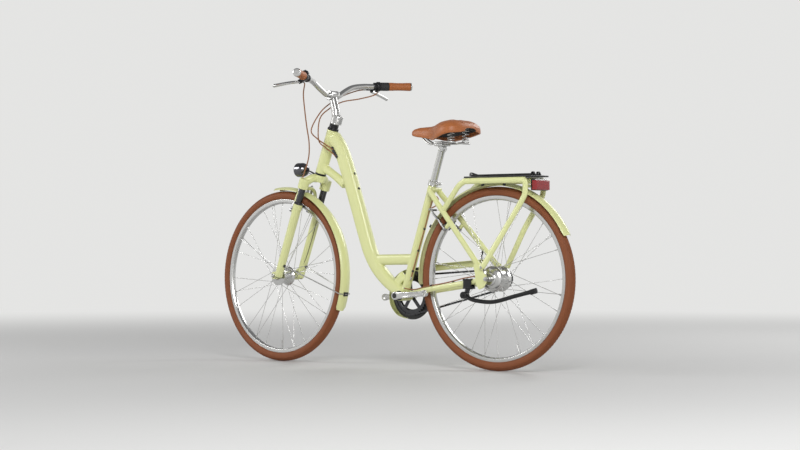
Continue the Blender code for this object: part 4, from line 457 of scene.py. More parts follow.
@drawn
def rear_frame_mesh(bm):
    for side in (1, -1):
        add_bar(bm, smooth_line(chainstay_line(side), 4), 0.0105, 0.0105 * STAY_FLATNESS, 28)
        add_bar(bm, [seatstay_place(i / 14, side) for i in range(15)], 0.0115, 0.0115 * STAY_FLATNESS, 28)
        centre = REAR_HUB + Vector((0.0, side * (REAR_SPACING / 2 + 0.003), 0.0))
        add_plate(bm, DROPOUT_OUTLINE, 0.006, Matrix.Translation(centre) @ UPRIGHT)
        bm.from_mesh(brake_stud_mesh(side))
    add_block(bm, (-0.0350, 0.0, 0.006), (0.022, 0.056, 0.018), 0.004)
    top = seat_line(0.412) + Vector((-0.014, 0, 0))
    add_bar(bm, [top + Vector((0, 0.036, 0)), top, top + Vector((0, -0.036, 0))], 0.009, None, 24,
            start=ALONG_Z)


place_piece("rear_frame", rear_frame_mesh(), FRAME_PAINT, "frame", "frame_rear", sharp=42.0)


# Small fittings on the frame
# Two black bottle screws sit in their threaded bosses on the main tube, and a black plastic plug
# guides the cables into the head end of the tube.
BLACK_PLASTIC = make_finish("black_plastic", (0.018, 0.018, 0.019), (0.030, 0.030, 0.031), 0.42,
                            patch_scale=30.0, grain_scale=2200.0, grain_height=0.00005)
SCREW_STEEL = make_finish("screw_steel", (0.58, 0.58, 0.57), (0.48, 0.48, 0.47), 0.30, metallic=1.0,
                          patch_scale=60.0, roughness_change=0.12)


def screw_head(bm, place, axis, radius=0.0042, height=0.0032):
    """A cap screw with a turned hollow in its head."""
    hollow = radius * 0.52
    add_turned(bm, [(0.0, 0.4 * height), (hollow, 0.4 * height), (hollow, height), (radius, height),
                    (radius, -0.001), (0.0, -0.001)], place, axis, 24, soft=0.0004)


@drawn
def frame_screws_mesh(bm):
    away = Vector((-0.943, 0.0, 0.333))
    for x, z in ((0.251, 0.482), (0.229, 0.422)):
        screw_head(bm, Vector((x, 0.004, z)) + away * 0.0012, away, 0.0052, 0.0036)


@drawn
def port_plug_mesh(bm):
    add_bar(bm, [(0.352, 0.0195, 0.5905), (0.347, 0.0232, 0.5800), (0.333, 0.0236, 0.5590),
                 (0.326, 0.0195, 0.5480)], 0.0062, 0.0040, 20, start=ALONG_Y)


place_piece("bottle_screws", frame_screws_mesh(), BLACK_PLASTIC, "frame")
place_piece("cable_port_plug", port_plug_mesh(), BLACK_PLASTIC, "frame")


# Wheels: tyres
# Brown city tyres of moulded rubber, 38 mm wide, stand on the rims. The tread is a band of small
# slanted blocks on each shoulder beside a plain raised centre band, and the sidewalls are ribbed.
STEER_FRAME = Matrix.Translation(STEER_FOOT) @ Matrix.Rotation(STEERING_TILT, 4, "Y")
STEER_TURNED = STEER_FRAME @ Matrix.Rotation(STEERING_TURN, 4, "Z")
FRONT_PLACE = STEER_TURNED @ Matrix.Translation((0.050, 0.0, 0.0))
REAR_PLACE = Matrix.Translation(REAR_HUB)
TYRE_CENTRE = 0.3295
TYRE_ROUND = 0.0195
RIM_TOP = 0.3135

BROWN_RUBBER = make_finish("brown_tyre_rubber", (0.235, 0.075, 0.027), (0.180, 0.055, 0.020), 0.66,
                           patch_scale=24.0, roughness_change=0.14, grain_scale=1100.0,
                           grain_height=0.00012, specular=0.35)


def tyre_profile():
    """The section from bead to bead: sidewall ribs, shoulders and the centre band."""
    profile = []
    for i in range(61):
        angle = math.radians(125.0 - 250.0 * i / 60)
        away = abs(math.degrees(angle))
        radius = TYRE_ROUND
        if away > 62.0:
            radius += 0.00022 * math.sin(math.radians(away * 18.0)) - 0.0003
        elif away > 8.0:
            radius -= 0.0011
        profile.append((TYRE_CENTRE + radius * math.cos(angle), radius * math.sin(angle)))
    return profile + [(RIM_TOP + 0.0003, -0.0085), (RIM_TOP + 0.0003, 0.0085)]


TREAD_ROWS = 150


@drawn
def tread_block(bm):
    """One slanted block of the tread, drawn on the tyre at the wheel's front."""
    blocks = ((13.0, 23.0, 0.30), (27.0, 41.0, 0.52), (45.0, 58.0, 0.42))
    pitch = 2 * math.pi / TREAD_ROWS
    for side in (1, -1):
        for start, end, fill in blocks:
            rings = []
            for height in (-0.0016, 0.0):
                ring = []
                for along, across in ((-0.5, start), (0.5, start), (0.5, end), (-0.5, end)):
                    angle = math.radians(across) * side
                    radius = TYRE_ROUND + height
                    turn = pitch * (fill * along * 1.45 + 0.010 * (across - start))
                    turn += pitch / 2 if side < 0 else 0.0
                    reach = TYRE_CENTRE + radius * math.cos(angle)
                    aside = radius * math.sin(angle)
                    ring.append(Vector((reach * math.cos(turn), aside, reach * math.sin(turn))))
                rings.append(ring)
            add_skin(bm, rings)


def start_tree(name, *own_sockets):
    """A tree that takes a path, a shape, its own values and a finish, and gives a mesh back."""
    tree = bpy.data.node_groups.new(name, "GeometryNodeTree")
    sockets = [("Geometry", "NodeSocketGeometry"), ("Shape", "NodeSocketObject"), *own_sockets,
               ("Finish", "NodeSocketMaterial")]
    for label, kind in sockets:
        tree.interface.new_socket(label, in_out="INPUT", socket_type=kind)
    tree.interface.new_socket("Geometry", in_out="OUTPUT", socket_type="NodeSocketGeometry")
    return tree, tree.nodes.new("NodeGroupInput")


def end_tree(tree, given, points, turn):
    """Sets the shape on the points, each copy with its own turn, as real mesh with the finish."""
    nodes, links = tree.nodes, tree.links
    shape = nodes.new("GeometryNodeObjectInfo")
    links.new(given.outputs["Shape"], shape.inputs["Object"])
    place = nodes.new("GeometryNodeInstanceOnPoints")
    links.new(points, place.inputs["Points"])
    links.new(shape.outputs["Geometry"], place.inputs["Instance"])
    links.new(turn, place.inputs["Rotation"])
    real = nodes.new("GeometryNodeRealizeInstances")
    links.new(place.outputs["Instances"], real.inputs["Geometry"])
    finish = nodes.new("GeometryNodeSetMaterial")
    links.new(real.outputs["Geometry"], finish.inputs["Geometry"])
    links.new(given.outputs["Finish"], finish.inputs["Material"])
    links.new(finish.outputs["Geometry"], nodes.new("NodeGroupOutput").inputs["Geometry"])
    return tree


def repeated(tree, path, mesh, material, **values):
    """One shape repeated by a tree on the path that it is given, as a plain mesh."""
    shape = bpy.data.objects.new("shape", mesh)
    bpy.context.scene.collection.objects.link(shape)

    def repeat(passing):
        change = passing.modifiers.new("repeat", "NODES")
        change.node_group = tree
        sockets = {i.name: i.identifier for i in tree.interface.items_tree if i.in_out == "INPUT"}
        for name, value in dict(Shape=shape, Finish=material, **values).items():
            change[sockets[name]] = value

    result = applied(path, repeat)
    bpy.data.objects.remove(shape, do_unlink=True)
    return result


def make_ring_tree():
    """Copies of one shape set round an axle."""
    tree, given = start_tree("set_round_axle", ("Count", "NodeSocketInt"), ("Start", "NodeSocketFloat"))
    nodes, links = tree.nodes, tree.links
    line = nodes.new("GeometryNodeMeshLine")
    line.inputs["Offset"].default_value = (0.0, 0.0, 0.0)
    links.new(given.outputs["Count"], line.inputs["Count"])
    index = nodes.new("GeometryNodeInputIndex")
    step = nodes.new("ShaderNodeMath")
    step.operation = "DIVIDE"
    step.inputs[0].default_value = -2 * math.pi
    links.new(given.outputs["Count"], step.inputs[1])
    angle = nodes.new("ShaderNodeMath")
    angle.operation = "MULTIPLY_ADD"
    links.new(index.outputs[0], angle.inputs[0])
    links.new(step.outputs[0], angle.inputs[1])
    links.new(given.outputs["Start"], angle.inputs[2])
    turn = nodes.new("ShaderNodeCombineXYZ")
    links.new(angle.outputs[0], turn.inputs["Y"])
    return end_tree(tree, given, line.outputs["Mesh"], turn.outputs[0])


SET_ROUND_AXLE = make_ring_tree()


def set_round(mesh, count, material):
    """One shape repeated round the axle."""
    return repeated(SET_ROUND_AXLE, bpy.data.meshes.new("ring"), mesh, material, Count=count, Start=0.0)


TREAD = set_round(tread_block(), TREAD_ROWS, BROWN_RUBBER)


@drawn
def tyre_mesh(bm):
    add_turned(bm, tyre_profile(), steps=192, closed=True)
    bm.from_mesh(TREAD)


place_piece("front_tyre", tyre_mesh(), BROWN_RUBBER, "front_wheel", "tyre_front", place=FRONT_PLACE)
place_piece("rear_tyre", tyre_mesh(), BROWN_RUBBER, "rear_wheel", "tyre_rear", place=REAR_PLACE)


# Wheels: rims, spokes and valves
# Polished hollow aluminium rims with turned brake tracks hold thirty-two round steel spokes each,
# laced across one another, with a nipple at the rim. A valve stem stands between two of them.
POLISHED_ALUMINIUM = make_finish("polished_aluminium", (0.66, 0.66, 0.65), (0.58, 0.58, 0.57), 0.22,
                                 metallic=1.0, patch_scale=18.0, roughness_change=0.10,
                                 grain_scale=1600.0, grain_height=0.000012)
SPOKE_STEEL = make_finish("spoke_steel", (0.66, 0.66, 0.65), (0.55, 0.55, 0.54), 0.26, metallic=1.0,
                          patch_scale=40.0, roughness_change=0.10)
SPOKES_PER_SIDE = 16
SPOKE_CROSS = math.radians(40.0)
NIPPLE_RADIUS = 0.2990


@drawn
def rim_mesh(bm):
    add_turned(bm, [(0.3150, 0.0100), (0.3135, 0.0080), (0.3135, -0.0080), (0.3150, -0.0100),
                    (0.3150, -0.0115), (0.3020, -0.0112), (0.2980, -0.0060), (0.2975, 0.0),
                    (0.2980, 0.0060), (0.3020, 0.0112), (0.3150, 0.0115)], steps=192, closed=True,
               soft=0.0009)


@drawn
def spoke_pair(bm, side, flange_side, flange_radius):
    """Two neighbouring spokes that lean opposite ways, each with its elbow and its nipple."""
    pitch = 2 * math.pi / SPOKES_PER_SIDE
    for i in (0, 1):
        hub_angle = pitch * i + pitch / 4 * side
        rim_angle = hub_angle + SPOKE_CROSS * (1 if i % 2 else -1)
        aside = 0.0012 * (1 if i % 2 else -1)
        hole = flange_radius - 0.0025
        start = Vector((hole * math.cos(hub_angle), flange_side + aside, hole * math.sin(hub_angle)))
        end = Vector((NIPPLE_RADIUS * math.cos(rim_angle), 0.0030 * side,
                      NIPPLE_RADIUS * math.sin(rim_angle)))
        add_bar(bm, [start, start.lerp(end, 0.5), end], 0.0010, None, 7)
        away = (start - end).normalized()
        add_bar(bm, [end, end + away * 0.013], 0.0019, None, 8)
        add_turned(bm, [(0.0, 0.0011), (0.0019, 0.0005), (0.0019, -0.0003), (0.0, -0.0003)], start,
                   (0, 1 if aside > 0 else -1, 0), 8)


@drawn
def valve_mesh(bm):
    angle = math.radians(250.0)
    out = way_out(angle)
    add_turned(bm, [(0.0, -0.036), (0.0028, -0.036), (0.0028, -0.024), (0.0024, -0.0235), (0.0024, -0.004),
                    (0.0042, -0.0035), (0.0042, 0.0), (0.0, 0.0)], out * 0.2978, out, 16)


WHEELS = (("front", FRONT_PLACE, ((0.029, 1), (-0.027, -1)), 0.039),
          ("rear", REAR_PLACE, ((0.031, 1), (-0.024, -1)), 0.049))
for wheel, place, flanges, flange_radius in WHEELS:
    body = wheel + "_wheel"
    place_piece(wheel + "_rim", rim_mesh(), POLISHED_ALUMINIUM, body, "rim_" + wheel, place=place,
                sharp=30.0)
    place_piece(wheel + "_valve", valve_mesh(), SCREW_STEEL, body, place=place)
    for flange, side in flanges:
        label = "left" if side > 0 else "right"
        spokes = set_round(spoke_pair(side, flange, flange_radius), SPOKES_PER_SIDE // 2, SPOKE_STEEL)
        place_piece(wheel + "_spokes_" + label, spokes, SPOKE_STEEL, body, "spokes_%s_%s" % (wheel, label),
                    place=place, sharp=60.0)


# Wheels: hubs and axles
# The front hub is a dynamo in a wide polished drum, and the rear hub a polished gear hub with seven
# speeds inside. Both are cast and turned aluminium. Their steel axles end in nuts and washers.
@drawn
def hub_mesh(bm, profile):
    add_turned(bm, profile, steps=96, closed=True, soft=0.0009)


FRONT_HUB_PROFILE = [
    (0.0060, 0.042), (0.014, 0.042), (0.0175, 0.036), (0.0185, 0.0335), (0.039, 0.0306), (0.039, 0.0274),
    (0.0310, 0.025), (0.0300, 0.008), (0.0310, -0.004), (0.0325, -0.017), (0.039, -0.0254), (0.039, -0.0286),
    (0.034, -0.033), (0.0225, -0.0345), (0.0140, -0.042), (0.0060, -0.042)]
REAR_HUB_PROFILE = [
    (0.0060, 0.0520), (0.0235, 0.0520), (0.0262, 0.0500), (0.0270, 0.0475), (0.0380, 0.0445),
    (0.0450, 0.0390), (0.0490, 0.0326), (0.0490, 0.0294), (0.0425, 0.0265), (0.0402, 0.0150),
    (0.0402, -0.0080), (0.0415, -0.0160), (0.0490, -0.0224), (0.0490, -0.0256), (0.0410, -0.0320),
    (0.0200, -0.0384), (0.0060, -0.0384)]
place_piece("front_hub", hub_mesh(FRONT_HUB_PROFILE), POLISHED_ALUMINIUM, "front_wheel", "hub_dynamo_front",
            place=FRONT_PLACE, sharp=30.0)
place_piece("rear_hub", hub_mesh(REAR_HUB_PROFILE), POLISHED_ALUMINIUM, "rear_wheel", "hub_gear_rear",
            place=REAR_PLACE, sharp=30.0)


@drawn
def axle_mesh(bm, half_spacing, plate, gap, core, hub_end_left, hub_end_right):
    """A fixed axle with its cones, washers, hexagonal nuts and domed ends."""
    outer = half_spacing + gap + plate + 0.0003
    end = outer + 0.0105
    add_rod(bm, (0, 0, 0), ALONG_Y, AXLE_RADIUS, 2 * end, 24)
    for side, hub_end in ((1, hub_end_left), (-1, hub_end_right)):
        low, high = hub_end + 0.0003, half_spacing + gap - 0.0003
        add_rod(bm, (0, side * (low + high) / 2, 0), ALONG_Y, core, high - low, 32)
        add_rod(bm, (0, side * (outer + 0.0007), 0), ALONG_Y, 0.0088, 0.0014, 32)
        add_rod(bm, (0, side * (outer + 0.0042), 0), ALONG_Y, 0.0084, 0.0056, 6, soft=0.0008)


place_piece("front_axle", axle_mesh(0.050, 0.006, 0.0003, 0.0080, 0.042, 0.042), SCREW_STEEL, "fork_lower",
            "axle_front", place=FRONT_PLACE, sharp=30.0)
place_piece("rear_axle", axle_mesh(0.0675, 0.006, 0.0, 0.0105, 0.0520, 0.0500), SCREW_STEEL, "frame",
            "axle_rear", place=REAR_PLACE, sharp=30.0)


# Headset
# The steerer turns in two black cups pressed into the head tube, and a stack of black spacers lies
# under the stem. All are turned from aluminium and anodised, with a fine groove between the rings.
BLACK_ANODISED = make_finish("black_anodised", (0.022, 0.022, 0.024), (0.036, 0.036, 0.038), 0.30,
                             metallic=0.6, patch_scale=40.0, grain_scale=1800.0)


@drawn
def headset_low_mesh(bm):
    add_turned(bm, [(0.0146, 0.4627), (0.0230, 0.4627), (0.0230, 0.4608), (0.0221, 0.4604), (0.0226, 0.4596),
                    (0.0224, 0.4562), (0.0146, 0.4562)], (0, 0, 0), ALONG_Z, 64, closed=True, soft=0.0004)


@drawn
def headset_high_mesh(bm):
    add_turned(bm, [(0.0146, 0.6722), (0.0188, 0.6722), (0.0188, 0.6672), (0.0181, 0.6668), (0.0188, 0.6662),
                    (0.0188, 0.6612), (0.0181, 0.6608), (0.0188, 0.6602), (0.0192, 0.6555), (0.0222, 0.6540),
                    (0.0230, 0.6524), (0.0230, 0.6473), (0.0146, 0.6473)], (0, 0, 0), ALONG_Z, 64,
               closed=True, soft=0.0004)


place_piece("headset_lower_ring", headset_low_mesh(), BLACK_ANODISED, "frame", "headset_lower_cup",
            place=STEER_FRAME)
place_piece("headset_upper_rings", headset_high_mesh(), BLACK_ANODISED, "steering",
            "headset_top_cup_and_spacer", place=STEER_TURNED)


# Fork crown and stanchions
# A forged aluminium crown, painted with the frame, carries the steerer and holds the two stanchions
# that are pressed into its bosses. Below it each stanchion wears a dark rubber dust seal.
LEG_SPREAD = 0.062
LEG_SETBACK = 0.017
DARK_STEEL = make_finish("dark_stanchion", (0.060, 0.060, 0.064), (0.10, 0.10, 0.105), 0.24, metallic=0.9,
                         patch_scale=30.0, roughness_change=0.08)


@drawn
def crown_bars(bm):
    add_rod(bm, (0, 0, 0.4417), ALONG_Z, 0.024, 0.028, 48, soft=0.002)
    for side in (1, -1):
        add_rod(bm, (LEG_SETBACK, LEG_SPREAD * side, 0.409), ALONG_Z, 0.0215, 0.042, 48, soft=0.002)
        add_bar(bm, smooth_line([(0.003, 0.010 * side, 0.4397), (0.009, 0.034 * side, 0.4357),
                                 (LEG_SETBACK, 0.060 * side, 0.414)], 6), 0.0165, None, 32, 0.85)


@drawn
def stanchion_mesh(bm):
    for side in (1, -1):
        add_rod(bm, (LEG_SETBACK, LEG_SPREAD * side, 0.262), ALONG_Z, 0.0135, 0.264, 40)
    add_rod(bm, (0, 0, 0.577), ALONG_Z, 0.0143, 0.262, 40)


place_piece("fork_crown_skin", welded(crown_bars(), 0.0011, 6), FRAME_PAINT, "steering", "fork_crown",
            place=STEER_TURNED, sharp=75.0)
place_piece("fork_stanchions", stanchion_mesh(), DARK_STEEL, "steering", "fork_crown", place=STEER_TURNED)


# Fork lower legs
# Both cast legs and the arch that ties them over the wheel are one painted piece, with thin tips that
# take the axle and a stud on the front of each leg for the rim brake.
LEG_PROFILE = [(0.0, 0.321), (0.0150, 0.321), (0.0185, 0.3205), (0.0190, 0.3180), (0.0190, 0.3010),
               (0.0176, 0.2940), (0.0172, 0.200), (0.0166, 0.090), (0.0160, 0.012), (0.0130, 0.006),
               (0.0, 0.006)]
FORK_TIP_OUTLINE = [(0.012, 0.058), (0.034, 0.040), (0.048, 0.018), (0.064, 0.010), (0.066, -0.008),
                    (0.052, -0.015), (0.020, -0.004), (0.006, 0.004), (0.006, 0.040)]


@drawn
def lower_leg_mesh(bm):
    arch = [(0.032, 0.062, 0.300), (0.044, 0.051, 0.348), (0.044, 0.038, 0.370), (0.044, 0.018, 0.382),
            (0.044, 0.0, 0.383)]
    arch += [(x, -y, z) for x, y, z in reversed(arch[:-1])]
    add_bar(bm, smooth_line(arch, 5), 0.0072, 0.0072, 24, start=ALONG_X)
    for side in (1, -1):
        add_turned(bm, LEG_PROFILE, (LEG_SETBACK, LEG_SPREAD * side, 0), ALONG_Z, 56, soft=0.0012)
        centre = (0, side * 0.0533, 0)
        add_plate(bm, FORK_TIP_OUTLINE, 0.006, Matrix.Translation(centre) @ UPRIGHT, ease=0.006)
        add_rod(bm, (LEG_SETBACK + 0.022, (LEG_SPREAD - 0.014) * side, STUD_HEIGHT), ALONG_X, 0.0075, 0.026,
                28)
        root = (LEG_SETBACK + 0.012, (LEG_SPREAD - 0.008) * side, STUD_HEIGHT)
        add_block(bm, root, (0.022, 0.016, 0.024), 0.004)


@drawn
def seal_mesh(bm):
    """The dust seals on top of the legs and the rubber cap under each."""
    for side in (1, -1):
        add_turned(bm, [(0.0139, 0.3225), (0.0139, 0.3275), (0.0152, 0.3282), (0.0176, 0.3262),
                        (0.0184, 0.3225)], (LEG_SETBACK, LEG_SPREAD * side, 0), ALONG_Z, 48, closed=True)
        add_turned(bm, [(0.0, 0.0056), (0.0118, 0.0056), (0.0112, 0.0030), (0.0, 0.0020)],
                   (LEG_SETBACK, LEG_SPREAD * side, 0), ALONG_Z, 32)


place_piece("fork_legs_skin", lower_leg_mesh(), FRAME_PAINT, "fork_lower", "fork_lower_legs",
            place=STEER_TURNED)
place_piece("fork_dust_seals", seal_mesh(), BLACK_PLASTIC, "fork_lower", place=STEER_TURNED)


# Stem
# A tall forged aluminium stem, polished silver, clamps the steerer with two bolts behind and the bar
# with a cap in front. Its neck leans forward, and a fine ridge runs round each clamp's edge.
BAR_CENTRE = Vector((0.053, 0.0, 0.776))
STEM_SILVER = make_finish("polished_stem", (0.60, 0.60, 0.59), (0.52, 0.52, 0.51), 0.24, metallic=1.0,
                          patch_scale=26.0, roughness_change=0.10, grain_scale=1500.0,
                          grain_height=0.000018)


@drawn
def stem_mesh(bm):
    low = 0.6725
    add_turned(bm, [(0.0, low + 0.0400), (0.0150, low + 0.0400), (0.0183, low + 0.0385),
                    (0.0185, low + 0.0360), (0.0179, low + 0.0350), (0.0179, low + 0.0050),
                    (0.0185, low + 0.0040), (0.0185, low + 0.0002), (0.0, low + 0.0002)], (0, 0, 0),
               ALONG_Z, 64, soft=0.0008)
    for y in (0.0052, -0.0052):
        add_block(bm, (-0.0200, y, low + 0.020), (0.017, 0.0095, 0.033), 0.0016)
    neck = [(0.000, 0, low + 0.024), (0.012, 0, low + 0.048), (0.036, 0, 0.754), (0.0500, 0, 0.7725)]
    add_bar(bm, smooth_line(neck, 6), lambda t: 0.0165 - 0.0015 * t, lambda t: 0.0168 - 0.0006 * t, 40, 0.88)
    clamp = [(0.0114, 0.0230), (0.0180, 0.0230), (0.0195, 0.0215), (0.0195, 0.0175), (0.0189, 0.0170)]
    add_turned(bm, both_ways(clamp), BAR_CENTRE, ALONG_Y, 64, closed=True, soft=0.0005)


@drawn
def stem_bolts_mesh(bm):
    for height in (0.6845, 0.7005):
        screw_head(bm, Vector((-0.0225, 0.0100, height)), ALONG_Y, 0.0036, 0.0030)
        add_rod(bm, (-0.0225, 0.0, height), ALONG_Y, 0.0022, 0.021, 16)
    out = Vector((0.88, 0.0, 0.47)).normalized()
    for y in (-0.015, 0.015):
        screw_head(bm, BAR_CENTRE + Vector((0, y, 0)) + out * 0.0190, out, 0.0036, 0.0028)
    add_turned(bm, [(0.0, 0.7135), (0.0060, 0.7135), (0.0110, 0.7128), (0.0150, 0.7123), (0.0, 0.7118)],
               (0, 0, 0), ALONG_Z, 40)


place_piece("stem_skin", stem_mesh(), STEM_SILVER, "steering", "stem", place=STEER_TURNED, sharp=34.0)
place_piece("stem_bolts", stem_bolts_mesh(), SCREW_STEEL, "steering", place=STEER_TURNED)


# Handlebar
# A polished aluminium tube, 22 mm thick, rises from the stem and sweeps back to both grips.
BAR_END = Vector((-0.045, 0.325, 0.872))
BAR_OUT = Vector((-0.4686, 0.8580, 0.2110)).normalized()
BAR_RADIUS = 0.0111


def on_side(place, side):
    """A point on the left, or its mirror image on the right."""
    return Vector((place[0], place[1] * side, place[2]))


def bar_point(distance, side):
    """A point on the bar's straight end, measured inward from its tip."""
    return on_side(BAR_END - BAR_OUT * distance, side)


@drawn
def bar_mesh(bm):
    half = [BAR_CENTRE + Vector((0, 0.027, 0)), BAR_CENTRE + Vector((0.001, 0.040, 0.003)),
            Vector((0.062, 0.072, 0.796)), Vector((0.063, 0.110, 0.816)), Vector((0.050, 0.150, 0.829)),
            BAR_END - BAR_OUT * 0.165]
    half = [BAR_CENTRE] + smooth_line(half, 8) + [BAR_END - BAR_OUT * 0.08, BAR_END]
    line = [on_side(p, -1) for p in reversed(half)] + half[1:]
    add_bar(bm, line, BAR_RADIUS, None, 40)
    for side in (1, -1):
        profile = [(0.0, 0.0066), (0.0060, 0.0070), (0.0135, 0.0068), (0.0160, 0.0050), (0.0166, 0.0030),
                   (0.0166, 0.0003), (0.0089, 0.0), (0.0, 0.0)]
        add_turned(bm, profile, bar_point(-0.0003, side), on_side(BAR_OUT, side), 48, soft=0.0006)


place_piece("handlebar_tube", bar_mesh(), POLISHED_ALUMINIUM, "steering", "handlebar", place=STEER_TURNED)


# Grips
# Brown leatherette over rubber, a little waisted, with a rolled edge at each end. Fine ribs run round
# the middle for the hand.
GRIP_LEATHER = make_finish("brown_grip_leather", (0.42, 0.135, 0.038), (0.33, 0.100, 0.028), 0.50,
                           patch_scale=34.0, roughness_change=0.14, grain_scale=700.0,
                           grain_height=0.00022, specular=0.4)


@drawn
def grip_mesh(bm, side):
    length = 0.0914
    profile = [(0.0119, length / 2)]
    steps = 88
    for i in range(steps + 1):
        t = i / steps
        radius = 0.0160 + 0.0006 * math.cos(2 * math.pi * t)
        if 0.08 < t < 0.92:
            radius += 0.00028 * math.sin(2 * math.pi * 21 * t)
        if t < 0.035 or t > 0.965:
            radius = 0.0168 - 0.0022 * max(0.0, 1 - min(t, 1 - t) / 0.012) ** 2
        profile.append((radius, length / 2 - length * t))
    profile.append((0.0119, -length / 2))
    add_turned(bm, profile, bar_point(0.0003 + 0.0457, side), on_side(BAR_OUT, side), 48, closed=True)


for side, label in SIDES:
    place_piece("grip_cover_" + label, grip_mesh(side), GRIP_LEATHER, "steering", "grip_" + label,
                place=STEER_TURNED, sharp=60.0)


# Twist shifter
# A black rubber sleeve beside the right grip turns on the bar to change the gears. Moulded ribs run
# along it. The fixed housing inboard of it is drawn with the right brake clamp.
@drawn
def twist_mesh(bm):
    rings = []
    axis = on_side(BAR_OUT, -1)
    place = Matrix.Translation(bar_point(0.1104, -1)) @ turn_to(axis)
    ribs, steps = 24, 144
    outline = ((0.0176, 0.0155, 0.0), (0.0174, 0.0170, 0.3), (0.0150, 0.0172, 1.0), (-0.0150, 0.0172, 1.0),
               (-0.0172, 0.0172, 0.3), (-0.0176, 0.0160, 0.0), (-0.0176, 0.0119, 0.0),
               (0.0176, 0.0119, 0.0))
    for height, radius, depth in outline:
        ring = []
        for angle in circle(steps):
            reach = radius - 0.0009 * depth * max(0.0, math.sin(ribs * angle)) ** 2
            ring.append(place @ Vector((reach * math.cos(angle), reach * math.sin(angle), height)))
        rings.append(ring)
    add_skin(bm, rings, loop=True)


BLACK_RUBBER = make_finish("black_rubber", (0.016, 0.016, 0.017), (0.028, 0.028, 0.029), 0.62,
                           patch_scale=26.0, grain_scale=1700.0, grain_height=0.00008)
place_piece("shifter_sleeve", twist_mesh(), BLACK_RUBBER, "twist_shifter", "shifter_twist",
            place=STEER_TURNED, sharp=50.0)


# Brake clamps, bell and levers
# Each black clamp holds an arm for its forged silver lever and a threaded barrel that the brown
# housing enters. The left clamp has a small black bell beside it, and the right one the housing of
# the shifter with its cable's outlet.
PERCH_PLACE = 0.150
LEVER_PIVOT = Vector((0.050, 0.207, 0.816))
LEVER_TIP = Vector((0.061, 0.322, 0.786))
BARREL_REACH = Vector((0.013, -0.022, -0.008))


def sleeve(bm, near, far, radius, side, ease=0.0012, inner=0.0114, steps=56):
    """A ring round the bar's straight end between two distances from its tip."""
    add_ring(bm, bar_point((near + far) / 2, side), on_side(BAR_OUT, side), inner, radius, far - near,
             steps, ease)


@drawn
def clamp_mesh(bm, side):
    centre = bar_point(PERCH_PLACE, side)
    sleeve(bm, 0.1438, 0.1562, 0.0163, side)
    pivot = on_side(LEVER_PIVOT, side)
    toward = (pivot - centre).normalized()
    reach = (pivot - centre).length - 0.0040
    add_bar(bm, [centre + toward * (0.010 + (reach - 0.010) * i / 5) for i in range(6)],
            lambda t: 0.0064 + 0.0008 * math.cos(math.pi * 2 * t), 0.0066, 28, 0.85, start=ALONG_Z)
    barrel = centre.lerp(pivot, 0.62)
    out = on_side(BARREL_REACH, side)
    for near, far, radius, steps in ((0.0, 0.50, 0.0050, 24), (0.52, 0.78, 0.0046, 12),
                                     (0.79, 1.0, 0.0038, 24)):
        add_bar(bm, [barrel + out * near, barrel + out * far], radius, None, steps, start=ALONG_Z)
    blade = (on_side(LEVER_TIP, side) - pivot).normalized()
    up = toward.cross(blade).normalized()
    for lift in (up, -up):
        ear = [pivot + lift * 0.0070 - toward * 0.010, pivot + lift * 0.0066 + toward * 0.001]
        add_bar(bm, ear, 0.0022, 0.0052, 20, 0.8, start=tuple(blade))
    if side < 0:
        sleeve(bm, 0.1290, 0.1432, 0.0195, side, 0.0020)
        outlet = bar_point(0.1392, -1) + Vector((-0.004, 0.004, -0.0165))
        add_bar(bm, [outlet, outlet + Vector((-0.007, 0.008, -0.0010))], 0.0048, None, 24, start=ALONG_Z)


@drawn
def lever_mesh(bm, side):
    pivot = on_side(LEVER_PIVOT, side)
    tip = on_side(LEVER_TIP, side)
    line = smooth_line([pivot, pivot.lerp(tip, 0.22) + Vector((0.010, 0, -0.002)),
                        pivot.lerp(tip, 0.62) + Vector((0.004, 0, 0)), tip], 8)
    add_bar(bm, line, lambda t: 0.0044 + 0.0014 * t, lambda t: 0.0056 + 0.0012 * t, 28, 0.85, start=ALONG_Z)
    add_turned(bm, [(0.0, 0.0062), (0.0040, 0.0056), (0.0066, 0.0030), (0.0072, 0.0), (0.0066, -0.0030),
                    (0.0040, -0.0056), (0.0, -0.0062)], tip, (tip - line[-4]), 32)


@drawn
def bell_mesh(bm):
    sleeve(bm, 0.112, 0.1425, 0.0140, 1)
    up = Vector((0.30, 0.0, 0.95)).normalized()
    centre = bar_point(0.124, 1)
    add_turned(bm, [(0.0, 0.0270), (0.0050, 0.0266), (0.0100, 0.0245), (0.0140, 0.0208), (0.0158, 0.0162),
                    (0.0162, 0.0132), (0.0150, 0.0132), (0.0, 0.0134)], centre, up, 48)
    add_turned(bm, [(0.0, 0.0292), (0.0022, 0.0290), (0.0026, 0.0270), (0.0, 0.0262)], centre, up, 24)


for side, label in SIDES:
    place_piece("lever_clamp_" + label, clamp_mesh(side), BLACK_ANODISED, "steering", "brake_perch_" + label,
                place=STEER_TURNED)
    place_piece("lever_blade_" + label, lever_mesh(side), POLISHED_ALUMINIUM, "lever_" + label,
                "brake_lever_" + label, place=STEER_TURNED)
place_piece("bell", bell_mesh(), BLACK_ANODISED, "steering", "brake_perch_left", place=STEER_TURNED)


# Headlight
# A round lamp of chromed plastic hangs in front of the crown on a black steel strap. Its reflector
# and clear ribbed lens face forward.
LAMP_CENTRE = Vector((0.106, 0.0, 0.4415))
LAMP_AXIS = Vector((0.939693, 0.0, -0.342020))
DARK_CHROME = make_finish("dark_chrome", (0.16, 0.16, 0.17), (0.10, 0.10, 0.11), 0.12, metallic=1.0,
                          patch_scale=30.0, roughness_change=0.06)


